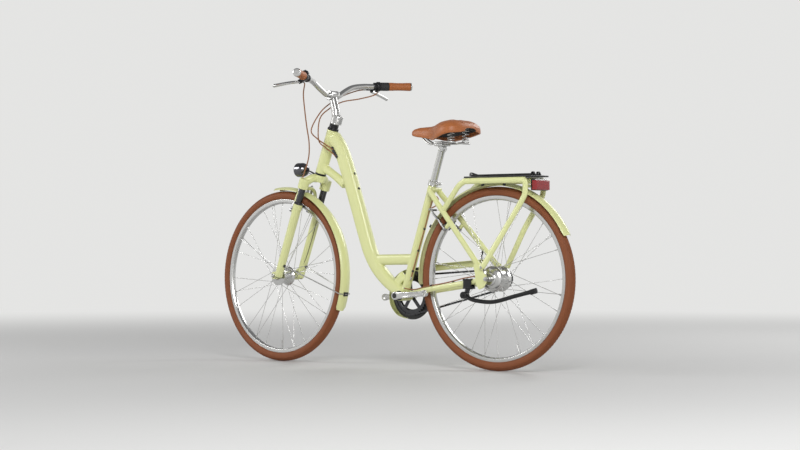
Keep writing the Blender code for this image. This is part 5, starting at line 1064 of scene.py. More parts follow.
@drawn
def lamp_mesh(bm):
    profile = [(0.0, -0.026), (0.010, -0.0257), (0.018, -0.0225), (0.0245, -0.0160), (0.0280, -0.0070),
               (0.0288, 0.0), (0.0288, 0.0150), (0.0290, 0.0155), (0.0290, 0.0215), (0.0283, 0.0238),
               (0.0265, 0.0240), (0.0258, 0.0225), (0.0225, 0.0170), (0.0, 0.0158)]
    add_turned(bm, profile, LAMP_CENTRE, LAMP_AXIS, 72, soft=0.0006)


@drawn
def lamp_strap_mesh(bm):
    back = LAMP_CENTRE - LAMP_AXIS * 0.022
    add_bar(bm, smooth_line([(0.0250, 0, 0.4460), (0.050, 0, 0.4500), back], 6), 0.0018, 0.0085, 24, 0.7)
    add_bar(bm, [LAMP_CENTRE - LAMP_AXIS * 0.030, back], 0.0090, None, 28)
    screw_head(bm, Vector((0.0300, 0.0, 0.4485)), (0.1, 0, 1), 0.0044, 0.0034)


def make_lens_glass(name, colour):
    material = make_finish(name, colour, colour, 0.06, patch_scale=20.0, roughness_change=0.03,
                           grain_scale=300.0, grain_height=0.00010)
    shader = material.node_tree.nodes["Principled BSDF"]
    shader.inputs["Transmission Weight"].default_value = 0.75
    shader.inputs["IOR"].default_value = 1.49
    return material


@drawn
def lamp_lens_mesh(bm):
    profile = [(0.0, 0.0268)]
    for i in range(1, 25):
        r = 0.0252 * i / 24
        profile.append((r, 0.0268 - 0.0036 * (i / 24) ** 2 + 0.00022 * math.cos(2 * math.pi * i / 4)))
    profile += [(0.0252, 0.0190), (0.0215, 0.0173), (0.0, 0.0166)]
    add_turned(bm, profile, LAMP_CENTRE, LAMP_AXIS, 64)


place_piece("headlight_shell", lamp_mesh(), DARK_CHROME, "steering", "headlight_body", place=STEER_TURNED)
place_piece("headlight_strap", lamp_strap_mesh(), BLACK_ANODISED, "steering", "headlight_body",
            place=STEER_TURNED)
place_piece("headlight_glass", lamp_lens_mesh(), make_lens_glass("clear_lens_glass", (0.88, 0.90, 0.92)),
            "steering", "headlight_lens", place=STEER_TURNED, sharp=60.0)


# Fenders
# Two arched strips of formed metal, painted with the frame and rolled at both edges, follow the
# tyres. The front one hangs from the fork's arch and a wire stay, the rear one from the bridges.
FENDER_RADIUS = 0.3640
FENDER_HALF_WIDTH = 0.0250
FENDER_BEAD_RADIUS = 0.3545
FENDER_END_ROUND = 0.016
FRONT_STAY_ANGLE = math.radians(171.0)


@drawn
def fender_mesh(bm, first, last, steps=110):
    rings = []
    across_steps = 16
    for i in range(steps + 1):
        t = i / steps
        angle = math.radians(first + (last - first) * t)
        out = way_out(angle)
        from_end = min(t, 1 - t) * math.radians(abs(last - first)) * FENDER_RADIUS
        narrow = 1.0 - 0.22 * max(0.0, 1 - from_end / FENDER_END_ROUND) ** 2
        outer, inner = [], []
        for k in range(across_steps + 1):
            across = -1.0 + 2.0 * k / across_steps
            drop = 0.0105 * abs(across) ** 2.2 - 0.0007 * math.exp(-(across / 0.14) ** 2)
            y = Vector((0, FENDER_HALF_WIDTH * across * narrow, 0))
            outer.append(out * (FENDER_RADIUS + 0.0014 - drop) + y)
            inner.append(out * (FENDER_RADIUS - drop) + y)
        rings.append(outer + list(reversed(inner)))
    add_skin(bm, rings)
    for side in (1, -1):
        bead = []
        for i in range(steps + 1):
            angle = math.radians(first + (last - first) * (0.014 + 0.972 * i / steps))
            bead.append(Vector((math.cos(angle) * FENDER_BEAD_RADIUS, side * FENDER_HALF_WIDTH * 0.992,
                                math.sin(angle) * FENDER_BEAD_RADIUS)))
        add_bar(bm, bead, 0.0014, None, 10)


@drawn
def front_fender_fittings_mesh(bm):
    add_block(bm, (-0.002, 0.0, 0.3698), (0.010, 0.014, 0.0122), 0.001)
    foot_x = 0.017 - 0.050 - 0.0190 + 0.003 - 0.0026 - 0.0003
    out = way_out(FRONT_STAY_ANGLE)
    line = []
    for side in (1, -1):
        foot = Vector((foot_x, LEG_SPREAD * side, 0.060))
        edge = out * 0.3594 + Vector((0, 0.0284 * side, 0))
        over = out * 0.3662 + Vector((0, 0.006 * side, 0))
        part = [foot, foot.lerp(edge, 0.35), foot.lerp(edge, 0.7), edge, over]
        line = line + (part if side == 1 else list(reversed(part)))
    add_bar(bm, line, 0.0024, None, 14)


@drawn
def front_fender_clips_mesh(bm):
    out = way_out(FRONT_STAY_ANGLE)
    turn = Matrix.Rotation(math.pi / 2 - FRONT_STAY_ANGLE, 4, "Y")
    add_block(bm, out * 0.3664, (0.016, 0.024, 0.0036), 0.001, turn)
    for side in (1, -1):
        foot = Vector((-0.0526, LEG_SPREAD * side, 0.060))
        add_rod(bm, foot + Vector((0.002, 0, 0)), ALONG_X, 0.0058, 0.009, 24)


@drawn
def rear_fender_clips_mesh(bm):
    for degrees in (113.0, 98.0, 82.0, 34.0):
        angle = math.radians(degrees)
        out = way_out(angle)
        place = out * 0.3585 + Vector((0, 0.0245, 0))
        turn = Matrix.Rotation(math.pi / 2 - angle, 4, "Y")
        add_block(bm, place, (0.012, 0.0042, 0.0085), 0.0009, turn)


place_piece("front_fender_skin", fender_mesh(62.0, 182.0, 84), FRAME_PAINT, "fork_lower", "fender_front",
            place=FRONT_PLACE, sharp=50.0)
place_piece("front_fender_wire", front_fender_fittings_mesh(), SCREW_STEEL, "fork_lower", place=FRONT_PLACE)
place_piece("front_fender_clips", front_fender_clips_mesh(), BLACK_PLASTIC, "fork_lower", place=FRONT_PLACE)
place_piece("rear_fender_skin", fender_mesh(-4.0, 153.0, 110), FRAME_PAINT, "frame", "fender_rear",
            place=REAR_PLACE, sharp=50.0)
place_piece("rear_fender_clips", rear_fender_clips_mesh(), BLACK_PLASTIC, "frame", place=REAR_PLACE)


# Rack
# Flattened aluminium tube, bent into a leg, a rail and a front arm on each side and joined by bars
# across, is painted with the frame. A black deck of moulded slats lies on the rails.
RACK_SPREAD = 0.060
RACK_HEIGHT = 0.440
RACK_BACK = -0.613
DECK_FRONT = -0.330
DECK_BACK = -0.640
DECK_HALF_WIDTH = 0.052


@drawn
def rack_mesh(bm):
    for side in (1, -1):
        y = RACK_SPREAD * side
        foot = REAR_HUB + Vector((0.010, 0.0815 * side, 0.045))
        line = [foot, foot.lerp(Vector((-0.529, y * 1.05, 0.263)), 0.5), (-0.529, y * 1.05, 0.263),
                (-0.600, y, 0.366), (-0.6125, y, 0.394), (RACK_BACK - 0.0005, y, 0.428),
                (RACK_BACK + 0.004, y, 0.4375), (RACK_BACK + 0.014, y, RACK_HEIGHT),
                (-0.480, y, RACK_HEIGHT), (-0.350, y, RACK_HEIGHT),
                (-0.328, y * 0.985, RACK_HEIGHT - 0.004), (-0.300, y * 0.93, RACK_HEIGHT - 0.022)]
        end = seatstay_place(0.27, side)
        line += [Vector(line[-1]).lerp(end, 0.5), end]
        add_bar(bm, smooth_line(line, 5), 0.0115, 0.0115 * STAY_FLATNESS, 28)
        add_rod(bm, REAR_HUB + Vector((0.014, 0.0790 * side, 0.044)), ALONG_Y, 0.0095, 0.010, 32, soft=0.001)
    for x, z in ((RACK_BACK + 0.004, RACK_HEIGHT - 0.022), (-0.470, RACK_HEIGHT),
                 (-0.345, RACK_HEIGHT - 0.004)):
        add_bar(bm, [(x, RACK_SPREAD, z), (x, 0, z), (x, -RACK_SPREAD, z)], 0.0062, None, 24, start=ALONG_Z)


@drawn
def rack_screws_mesh(bm):
    for side in (1, -1):
        screw_head(bm, REAR_HUB + Vector((0.014, 0.0842 * side, 0.044)), (0, side, 0), 0.0050, 0.0040)


@drawn
def deck_mesh(bm):
    low = RACK_HEIGHT + 0.0118
    middle = low + 0.003
    for side in (1, -1):
        add_block(bm, ((DECK_FRONT + DECK_BACK) / 2, DECK_HALF_WIDTH * side, middle),
                  (DECK_FRONT - DECK_BACK, 0.012, 0.006), 0.0018)
    for i in range(5):
        x = DECK_BACK + 0.012 + (DECK_FRONT - DECK_BACK - 0.024) * i / 4
        add_block(bm, (x, 0, middle), (0.020, 2 * DECK_HALF_WIDTH, 0.0058), 0.0016)
        for rib in (-0.006, 0.0, 0.006):
            add_block(bm, (x + rib, 0, middle + 0.0029), (0.0020, 1.7 * DECK_HALF_WIDTH, 0.0007), 0.0003)


place_piece("rack_tubes", rack_mesh(), FRAME_PAINT, "frame", "rack_frame")
place_piece("rack_screws", rack_screws_mesh(), SCREW_STEEL, "frame")
place_piece("rack_slats", deck_mesh(), BLACK_PLASTIC, "frame", "rack_deck")


# Rack's spring clamp
# A bent steel rod, coated black, turns on a bar at the deck's back end and presses luggage down.
# Coils of finer wire wind round the hinge, and a crossbar joins the rod's two sides.
CLAMP_Z = 0.440 + 0.0118 + 0.006 + 0.0038 + 0.0006
BLACK_STEEL = make_finish("black_coated_steel", (0.015, 0.015, 0.016), (0.028, 0.028, 0.029), 0.30,
                          metallic=0.4, patch_scale=30.0)


@drawn
def clamp_frame_mesh(bm):
    front = DECK_FRONT - 0.004
    back = DECK_BACK + 0.020
    line = [(back, 0.030, CLAMP_Z), (-0.550, 0.030, CLAMP_Z), (-0.480, 0.030, CLAMP_Z),
            (front - 0.020, 0.030, CLAMP_Z), (front, 0.020, CLAMP_Z + 0.004),
            (front + 0.010, 0.0, CLAMP_Z + 0.010), (front, -0.020, CLAMP_Z + 0.004),
            (front - 0.020, -0.030, CLAMP_Z), (-0.480, -0.030, CLAMP_Z), (-0.550, -0.030, CLAMP_Z),
            (back, -0.030, CLAMP_Z)]
    add_bar(bm, smooth_line(line, 5), 0.0034, None, 20)
    add_rod(bm, (back, 0, CLAMP_Z), ALONG_Y, 0.0037, 0.066, 24)
    add_bar(bm, [(-0.470, 0.030, CLAMP_Z), (-0.470, 0, CLAMP_Z), (-0.470, -0.030, CLAMP_Z)], 0.0037, None,
            20, start=ALONG_Z)
    for side in (1, -1):
        coil = [Vector((back + 0.0052 * math.cos(a), side * (0.0120 + 0.0128 * a / (2 * math.pi * 4)),
                        CLAMP_Z + 0.0040 + 0.0052 * math.sin(a)))
                for a in [2 * math.pi * 4 * k / 96 for k in range(97)]]
        add_bar(bm, coil, 0.0013, None, 8, start=ALONG_Z)


place_piece("rack_clamp_rod", clamp_frame_mesh(), BLACK_STEEL, "rack_clamp", "rack_spring_clamp")


# Tail light
# A black moulded case on a bracket at the rack's back bar carries a red lens with upright ribs on
# its face and a silver strip along its top edge.
@drawn
def tail_case_mesh(bm):
    front = RACK_BACK - 0.014
    add_block(bm, (front - 0.010, 0, RACK_HEIGHT - 0.017), (0.020, 0.090, 0.044), 0.0045)
    add_block(bm, (front + 0.0035, 0, RACK_HEIGHT - 0.022), (0.0145, 0.030, 0.016), 0.001)


@drawn
def tail_strip_mesh(bm):
    add_block(bm, (RACK_BACK - 0.0290, 0, RACK_HEIGHT + 0.0012), (0.0180, 0.086, 0.0040), 0.0012)


@drawn
def tail_lens_mesh(bm):
    x = RACK_BACK - 0.0303
    add_block(bm, (x, 0, RACK_HEIGHT - 0.019), (0.0200, 0.0920, 0.036), 0.0032)
    for k in range(15):
        add_block(bm, (x - 0.0099, -0.035 + 0.005 * k, RACK_HEIGHT - 0.019), (0.0007, 0.0032, 0.028), 0.0003)


RED_LENS = make_finish("red_lens", (0.30, 0.006, 0.010), (0.22, 0.003, 0.006), 0.16, patch_scale=60.0,
                       roughness_change=0.06, coat=0.4)
place_piece("tail_light_shell", tail_case_mesh(), BLACK_PLASTIC, "frame", "tail_light_case")
place_piece("tail_light_strip", tail_strip_mesh(), POLISHED_ALUMINIUM, "frame")
place_piece("tail_light_red", tail_lens_mesh(), RED_LENS, "frame", "tail_light_lens")


# Seat clamp and seatpost
# A silver collar with a bolt behind squeezes the seat tube round a polished post. The post's head
# holds both saddle rails between two ribbed plates with one bolt.
POST_TOP = 0.601
RAIL_HEIGHT = 0.588
SPRING_X = -0.262
SPRING_Y = 0.048


@drawn
def seat_clamp_mesh(bm):
    centre = SEAT_UP * 0.459
    collar = [(0.0173, 0.009), (0.0205, 0.009), (0.0207, 0.0078), (0.0199, 0.0068)]
    add_turned(bm, both_ways(collar), centre, SEAT_UP, 64, closed=True, soft=0.0004)
    for side in (1, -1):
        add_block(bm, centre + Vector((-0.0245, 0.0068 * side, -0.002)), (0.0135, 0.0095, 0.0135), 0.0018)


@drawn
def seat_clamp_bolt_mesh(bm):
    centre = SEAT_UP * 0.459 + Vector((-0.0265, 0, -0.002))
    add_rod(bm, centre, ALONG_Y, 0.0026, 0.026, 20)
    screw_head(bm, centre + Vector((0, 0.0118, 0)), ALONG_Y, 0.0042, 0.0042)
    add_rod(bm, centre + Vector((0, -0.0136, 0)), ALONG_Y, 0.0040, 0.0036, 6)


@drawn
def seatpost_mesh(bm):
    add_turned(bm, [(0.0, POST_TOP - 0.001), (0.0120, POST_TOP - 0.001), (0.0166, POST_TOP - 0.0035),
                    (0.0166, POST_TOP - 0.0095), (0.0136, POST_TOP - 0.0125), (0.0136, 0.330),
                    (0.0125, 0.317), (0.0, 0.317)], (0, 0, 0), SEAT_UP, 56, soft=0.0008)
    middle = SEAT_UP * POST_TOP
    add_rod(bm, middle + Vector((0, 0, -0.0010)), ALONG_Y, 0.0125, 0.030, 48, soft=0.001)


@drawn
def rail_clamp_mesh(bm):
    x = (SEAT_UP * POST_TOP).x
    for low in (RAIL_HEIGHT - 0.0063, RAIL_HEIGHT + 0.0063):
        add_block(bm, (x, 0, low), (0.040, 0.052, 0.005), 0.0014)
    for side in (1, -1):
        for low, high in ((-0.0058, -0.0008), (0.0008, 0.0058)):
            middle = RAIL_HEIGHT + (low + high) / 2
            for aside in (-0.0062, 0.0062):
                add_block(bm, (x, 0.020 * side + aside, middle), (0.038, 0.0042, high - low), 0.0008)


@drawn
def rail_bolt_mesh(bm):
    x = (SEAT_UP * POST_TOP).x
    add_rod(bm, (x, 0, RAIL_HEIGHT), ALONG_Z, 0.0038, 0.020, 24)
    screw_head(bm, Vector((x, 0, RAIL_HEIGHT + 0.0088)), ALONG_Z, 0.0056, 0.0024)


place_piece("seat_collar", seat_clamp_mesh(), POLISHED_ALUMINIUM, "frame", "seat_clamp")
place_piece("seat_collar_bolt", seat_clamp_bolt_mesh(), SCREW_STEEL, "frame")
place_piece("seatpost_tube", seatpost_mesh(), POLISHED_ALUMINIUM, "seat", "seatpost", sharp=30.0)
place_piece("rail_plates", rail_clamp_mesh(), SCREW_STEEL, "seat", "seatpost")
place_piece("rail_bolt", rail_bolt_mesh(), SCREW_STEEL, "seat")


# Saddle rails and springs
# Bright steel rod is bent into two rails that meet at the nose and carry a plate at the back. Two
# coil springs stand there under the broad part of the saddle, each with closed end turns.
@drawn
def rails_mesh(bm):
    plate = 0.592
    for side in (1, -1):
        y = 0.020 * side
        line = [(-0.0845, 0.0, 0.6345), (-0.0865, y * 0.42, 0.6342), (-0.098, y * 0.50, 0.6150),
                (-0.118, y * 0.8, 0.5990), (-0.140, y, RAIL_HEIGHT), (-0.158, y, RAIL_HEIGHT),
                (-0.190, y, RAIL_HEIGHT), (-0.220, y, RAIL_HEIGHT), (-0.238, y * 1.1, RAIL_HEIGHT),
                (-0.258, 0.0384 * side, plate), (-0.264, 0.048 * side, plate)]
        add_bar(bm, smooth_line(line, 5), 0.0035, None, 20)
        add_turned(bm, [(0.0, 0.0037), (0.0125, 0.0037), (0.0150, 0.0030), (0.0150, -0.0020),
                        (0.0140, -0.0024), (0.0, -0.0024)], (SPRING_X, SPRING_Y * side, plate), ALONG_Z, 40,
                   soft=0.0006)
    add_bar(bm, smooth_line([(-0.270, 0.048, plate), (-0.290, 0.034, plate - 0.005),
                             (-0.292, 0.0, plate - 0.006), (-0.290, -0.034, plate - 0.005),
                             (-0.270, -0.048, plate)], 8), 0.0035, None, 20, start=ALONG_Z)


@drawn
def spring_mesh(bm, side):
    """A coil of round wire whose first and last turns close up."""
    turns, steps = 5.0, 160
    low, high = 0.5979, 0.6500
    line = []
    for i in range(steps + 1):
        t = i / steps
        rise = t - 0.055 * math.sin(2 * math.pi * t)
        angle = 2 * math.pi * turns * t
        line.append(Vector((SPRING_X + 0.0125 * math.cos(angle), SPRING_Y * side + 0.0125 * math.sin(angle),
                            low + (high - low) * rise)))
    add_bar(bm, line, 0.0019, None, 14, start=ALONG_Z)


place_piece("saddle_rail_rods", rails_mesh(), SCREW_STEEL, "seat", "saddle_rails")
for side, label in SIDES:
    place_piece("saddle_coil_" + label, spring_mesh(side), SPOKE_STEEL, "seat", "saddle_spring_" + label)


# Saddle base
# A black moulded shell carries the padding and rests on each spring with a round foot.
SADDLE_SIDE_POWER = 0.75
SADDLE_TOP_POWER = 0.60
SADDLE_STATIONS = [
    (-0.046, 0.010, 0.640, 0.6340), (-0.055, 0.021, 0.6485, 0.6250), (-0.080, 0.026, 0.6530, 0.6190),
    (-0.110, 0.029, 0.6545, 0.6150), (-0.140, 0.035, 0.6560, 0.6100), (-0.165, 0.048, 0.6610, 0.6040),
    (-0.190, 0.068, 0.6680, 0.6020), (-0.220, 0.090, 0.6750, 0.6080), (-0.255, 0.103, 0.6785, 0.6180),
    (-0.288, 0.100, 0.6760, 0.6260), (-0.310, 0.080, 0.6660, 0.6280), (-0.320, 0.045, 0.6550, 0.6320),
]


def saddle_station(t):
    """The section's sizes at a share of the way from the nose to the tail, on a smooth curve."""
    place = t * (len(SADDLE_STATIONS) - 1)
    i = min(int(place), len(SADDLE_STATIONS) - 2)
    u = place - i
    a = SADDLE_STATIONS[max(i - 1, 0)]
    b, c = SADDLE_STATIONS[i], SADDLE_STATIONS[i + 1]
    d = SADDLE_STATIONS[min(i + 2, len(SADDLE_STATIONS) - 1)]
    return [0.5 * (2 * q + (r - p) * u + (2 * p - 5 * q + 4 * r - s) * u * u
                   + (3 * q - 3 * r + s - p) * u ** 3)
            for p, q, r, s in zip(a, b, c, d)]


def saddle_arc(t, inset, steps):
    """Half of a section over the top, from the left edge to the right edge."""
    x, width, top, edge = saddle_station(t)
    inset = min(inset, 0.45 * width, 0.45 * (top - edge))
    points = []
    for i in range(steps + 1):
        angle = math.pi * i / steps
        c, s = math.cos(angle), math.sin(angle)
        points.append(Vector((x, (width - inset) * math.copysign(abs(c) ** SADDLE_SIDE_POWER, c),
                              edge + (top - edge - inset) * abs(s) ** SADDLE_TOP_POWER)))
    return points


@drawn
def saddle_base_mesh(bm):
    rings = []
    for k in range(41):
        t = 0.16 + 0.70 * k / 40
        upper = saddle_arc(t, 0.0118, 24)[1:-1]
        lower = saddle_arc(t, 0.0158, 24)[1:-1]
        rings.append(upper + list(reversed(lower)))
    add_skin(bm, rings)
    for side in (1, -1):
        add_turned(bm, [(0.0, 0.0080), (0.0145, 0.0080), (0.0148, 0.0012), (0.0140, 0.0003), (0.0, 0.0003)],
                   (SPRING_X, SPRING_Y * side, 0.6520), ALONG_Z, 40, soft=0.0006)


place_piece("saddle_shell", saddle_base_mesh(), BLACK_PLASTIC, "seat", "saddle_base")


# Saddle cover
# Brown leatherette is stretched over gel padding and its edge is turned under the shell. The padding
# swells beside a shallow middle channel, and a row of stitches follows each of the two seams.
SEAM_SHARE = 0.42
STITCH_SPACING = 0.0046
SWELL_FRAMES = 12
SWELL_LIMIT = 0.0012
SADDLE_LEATHER = make_finish("brown_saddle_leather", (0.43, 0.140, 0.042), (0.34, 0.105, 0.030), 0.44,
                             patch_scale=22.0, roughness_change=0.16, grain_scale=620.0,
                             grain_height=0.00026, specular=0.45)


@drawn
def saddle_cover_mesh(bm):
    """The padding's skin with its rolled lower edge, swollen beside the two seams."""
    rings = []
    rows, steps = 90, 48
    for k in range(rows + 1):
        t = k / rows
        width = saddle_station(t)[1]
        outer = []
        for point in saddle_arc(t, 0.0, steps):
            share = point.y / max(width, 0.001)
            seam = min(abs(share - SEAM_SHARE), abs(share + SEAM_SHARE))
            groove = 0.0011 * math.exp(-(seam / 0.045) ** 2) * min(1.0, t * 6, (1 - t) * 8)
            fade = max(0.0, min(1.0, (t - 0.30) * 5, (0.93 - t) * 8))
            channel = 0.0030 * math.exp(-(share / 0.13) ** 2) * fade
            outer.append(point - Vector((0, 0, groove + channel)))
        inner = [point + Vector((0, 0, -0.0005)) for point in saddle_arc(t, 0.0098, steps)]
        lip = 0.0020 if 0.02 < t < 0.98 else 0.0008
        left = outer[0] + Vector((0, -0.0020, -lip))
        right = outer[-1] + Vector((0, 0.0020, -lip))
        rings.append(outer + [right] + list(reversed(inner)) + [left])
    add_skin(bm, rings)


def swell(mesh):
    """Cloth pressed outward over the padding, kept close to its first shape."""
    passing = bpy.data.objects.new("swell", mesh)
    bpy.context.scene.collection.objects.link(passing)
    hold = passing.vertex_groups.new(name="hold")
    low = [v.index for v in mesh.vertices if v.normal.z < 0.25]
    hold.add(low, 1.0, "REPLACE")
    cloth = passing.modifiers.new("cloth", "CLOTH")
    cloth.settings.use_pressure = True
    cloth.settings.uniform_pressure_force = 4.0
    cloth.settings.vertex_group_mass = "hold"
    cloth.settings.tension_stiffness = 60.0
    cloth.settings.compression_stiffness = 60.0
    cloth.settings.bending_stiffness = 4.0
    cloth.settings.effector_weights.gravity = 0.0
    cloth.point_cache.frame_start = 1
    cloth.point_cache.frame_end = SWELL_FRAMES
    before = [v.co.copy() for v in mesh.vertices]
    for step in range(1, SWELL_FRAMES + 1):
        bpy.context.scene.frame_set(step)
    bpy.context.view_layer.update()
    graph = bpy.context.evaluated_depsgraph_get()
    result = bpy.data.meshes.new_from_object(passing.evaluated_get(graph))
    bpy.context.scene.frame_set(1)
    bpy.data.objects.remove(passing, do_unlink=True)
    for vertex, start in zip(result.vertices, before):
        move = vertex.co - start
        if move.length > SWELL_LIMIT:
            vertex.co = start + move.normalized() * SWELL_LIMIT
    return result


@drawn
def stitch_mesh(bm):
    """One short stitch lying along X."""
    add_bar(bm, [(-0.0017, 0, -0.0004), (-0.0009, 0, 0.0003), (0.0009, 0, 0.0003), (0.0017, 0, -0.0004)],
            0.00038, None, 6)


def seam_line(share):
    line = []
    for k in range(121):
        t = 0.08 + 0.86 * k / 120
        x, width, top, edge = saddle_station(t)
        angle = math.acos(math.copysign(min(1.0, abs(share) ** (1 / SADDLE_SIDE_POWER)), share))
        rise = (top - edge) * abs(math.sin(angle)) ** SADDLE_TOP_POWER
        line.append(Vector((x, width * share, edge + rise - 0.0009)))
    return line


def make_stitch_tree():
    """Copies of one stitch laid along a line at an even spacing."""
    tree, given = start_tree("lay_along_line", ("Spacing", "NodeSocketFloat"))
    nodes, links = tree.nodes, tree.links
    curve = nodes.new("GeometryNodeMeshToCurve")
    links.new(given.outputs["Geometry"], curve.inputs["Mesh"])
    points = nodes.new("GeometryNodeCurveToPoints")
    points.mode = "LENGTH"
    links.new(curve.outputs["Curve"], points.inputs["Curve"])
    links.new(given.outputs["Spacing"], points.inputs["Length"])
    align = nodes.new("FunctionNodeAlignEulerToVector")
    align.axis = "X"
    links.new(points.outputs["Tangent"], align.inputs["Vector"])
    return end_tree(tree, given, points.outputs["Points"], align.outputs[0])


LAY_ALONG_LINE = make_stitch_tree()


def lay_along(line, mesh, spacing, material):
    """One shape repeated along a line."""
    path = bpy.data.meshes.new("path")
    path.from_pydata([tuple(p) for p in line], [(i, i + 1) for i in range(len(line) - 1)], [])
    return repeated(LAY_ALONG_LINE, path, mesh, material, Spacing=spacing)


STITCH_THREAD = make_finish("tan_thread", (0.50, 0.22, 0.09), (0.42, 0.17, 0.06), 0.7, patch_scale=90.0,
                            grain_scale=2500.0, grain_height=0.00005)
place_piece("saddle_padding", swell(saddle_cover_mesh()), SADDLE_LEATHER, "seat", "saddle_cover",
            sharp=70.0)
for side, label in SIDES:
    stitches = lay_along(seam_line(SEAM_SHARE * side), stitch_mesh(), STITCH_SPACING, STITCH_THREAD)
    place_piece("saddle_stitches_" + label, stitches, STITCH_THREAD, "seat", sharp=80.0)


# Bottom bracket and cranks
# The spindle turns in a sealed cartridge whose flanges show beside the shell. Forged silver crank
# arms, tapered and hollowed along their face, end in open threaded eyes, and the right one carries
# a steel chainring of thirty-eight teeth with five windows.
CRANK_PLACE = Matrix.Rotation(math.radians(4.0), 4, "Y")
CHAIN_LINE = -0.0440
CHAINRING_TEETH = 38
SPROCKET_TEETH = 18
CHAINRING_PITCH = 0.0771
SPROCKET_PITCH = 0.0366
CRANK_STATIONS = [(0.000, 0.0150, 0.0500, 0.0635), (0.030, 0.0130, 0.0530, 0.0665),
                  (0.080, 0.0115, 0.0640, 0.0755), (0.140, 0.0105, 0.0800, 0.0915),
                  (0.168, 0.0110, 0.0880, 0.0990)]


@drawn
def cartridge_mesh(bm):
    for side in (1, -1):
        rings = []
        for radius, height in ((0.0092, 0.0343), (0.0092, 0.0368), (0.0194, 0.0368), (0.0194, 0.0343)):
            ring = []
            for k, angle in enumerate(circle(96)):
                reach = radius - (0.0009 if radius > 0.01 and (k // 3) % 2 else 0.0)
                ring.append(Vector((reach * math.cos(angle), side * height, reach * math.sin(angle))))
            rings.append(ring)
        add_skin(bm, rings, loop=True)


def add_crank_arm(bm, side):
    stations = []
    for a, b in zip(CRANK_STATIONS, CRANK_STATIONS[1:]):
        stations += [tuple(p + (q - p) * k / 6 for p, q in zip(a, b)) for k in range(6)]
    stations.append(CRANK_STATIONS[-1])
    rings = []
    for x, half, inner, outer in stations:
        dip = 0.0020 * max(0.0, min(1.0, (x - 0.030) / 0.020, (0.146 - x) / 0.020))
        middle, deep = (inner + outer) / 2, (outer - inner) / 2
        ring = []
        for k in range(40):
            angle = 2 * math.pi * (k + 0.5) / 40
            c, s = math.cos(angle), math.sin(angle)
            y = middle + deep * math.copysign(abs(c) ** 0.45, c)
            z = half * math.copysign(abs(s) ** 0.45, s)
            if c > 0 and abs(z) < half * 0.62:
                y -= dip * (1 - (z / (half * 0.62)) ** 2) ** 0.5
            ring.append(Vector((x, side * y, z)))
        rings.append(ring)
    add_skin(bm, rings)
    boss = [(0.0, 0.0080), (0.0150, 0.0080), (0.0165, 0.0065), (0.0165, -0.0065), (0.0155, -0.0080),
            (0.0, -0.0080)]
    add_turned(bm, boss, (0, side * 0.056, 0), (0, side, 0), 56, soft=0.0008)
    add_turned(bm, [(0.0070, 0.0065), (0.0125, 0.0065), (0.0135, 0.0052), (0.0135, -0.0055),
                    (0.0128, -0.0065), (0.0070, -0.0065)], (0.170, side * 0.0935, 0), (0, side, 0), 48,
               closed=True, soft=0.0006)


@drawn
def crank_mesh(bm, side):
    add_crank_arm(bm, side)
    if side > 0:
        bm.transform(Matrix.Rotation(math.pi, 4, "Y"))


@drawn
def crank_caps_mesh(bm, side):
    """The black dust cap over the crank's bolt and the spindle's end behind it."""
    add_turned(bm, [(0.0, 0.0020), (0.0080, 0.0020), (0.0100, 0.0012), (0.0105, 0.0), (0.0, 0.0)],
               (0, side * 0.0641, 0), (0, side, 0), 40, soft=0.0004)


def add_toothed_ring(bm, count, root, tip, inner, half):
    """A plate on the chain's line, with rounded teeth and an inner hole."""
    outline = []
    per_tooth = 10
    for i in range(count * per_tooth):
        phase = (i % per_tooth) / per_tooth
        wave = math.cos(2 * math.pi * phase)
        rise = max(0.0, wave) ** 1.3 - 0.25 * max(0.0, -wave)
        radius = root + 0.0012 + (tip - root - 0.0012) * rise
        angle = 2 * math.pi * i / (count * per_tooth)
        outline.append((radius * math.cos(angle), radius * math.sin(angle)))
    rings = []
    for y, ring_inner in ((half, None), (-half, None), (-half, inner), (half, inner)):
        if ring_inner is None:
            rings.append([Vector((x, CHAIN_LINE + y, z)) for x, z in outline])
        else:
            rings.append([Vector((ring_inner * math.cos(a), CHAIN_LINE + y, ring_inner * math.sin(a)))
                          for a in circle(len(outline))])
    add_skin(bm, rings, loop=True)


@drawn
def chainring_mesh(bm):
    add_toothed_ring(bm, CHAINRING_TEETH, 0.0728, 0.0800, 0.0600, 0.0013)
    for i in range(5):
        angle = 2 * math.pi * i / 5 + 0.3
        out = way_out(angle)
        add_bar(bm, [out * 0.012 + Vector((0, CHAIN_LINE - 0.0012, 0)),
                     out * 0.034 + Vector((0, CHAIN_LINE, 0)), out * 0.0625 + Vector((0, CHAIN_LINE, 0))],
                0.0078, 0.0020, 20, 0.6)
    add_rod(bm, (0, -0.0455, 0), ALONG_Y, 0.0150, 0.0060, 48)


@drawn
def spindle_mesh(bm):
    add_rod(bm, (0, 0.0060, 0), ALONG_Y, 0.0075, 0.108, 32)


place_piece("bearing_cups", cartridge_mesh(), BLACK_ANODISED, "frame", "bottom_bracket_cartridge")
place_piece("crank_arm_right", crank_mesh(-1), POLISHED_ALUMINIUM, "cranks", "crank_right",
            place=CRANK_PLACE)
place_piece("crank_arm_left", crank_mesh(1), POLISHED_ALUMINIUM, "cranks", "crank_left", place=CRANK_PLACE)
place_piece("chainring", chainring_mesh(), DARK_STEEL, "cranks", "crank_right", place=CRANK_PLACE)
place_piece("spindle", spindle_mesh(), SCREW_STEEL, "cranks", place=CRANK_PLACE)
for side, label in SIDES:
    place_piece("crank_cap_" + label, crank_caps_mesh(side), BLACK_PLASTIC, "cranks", place=CRANK_PLACE)


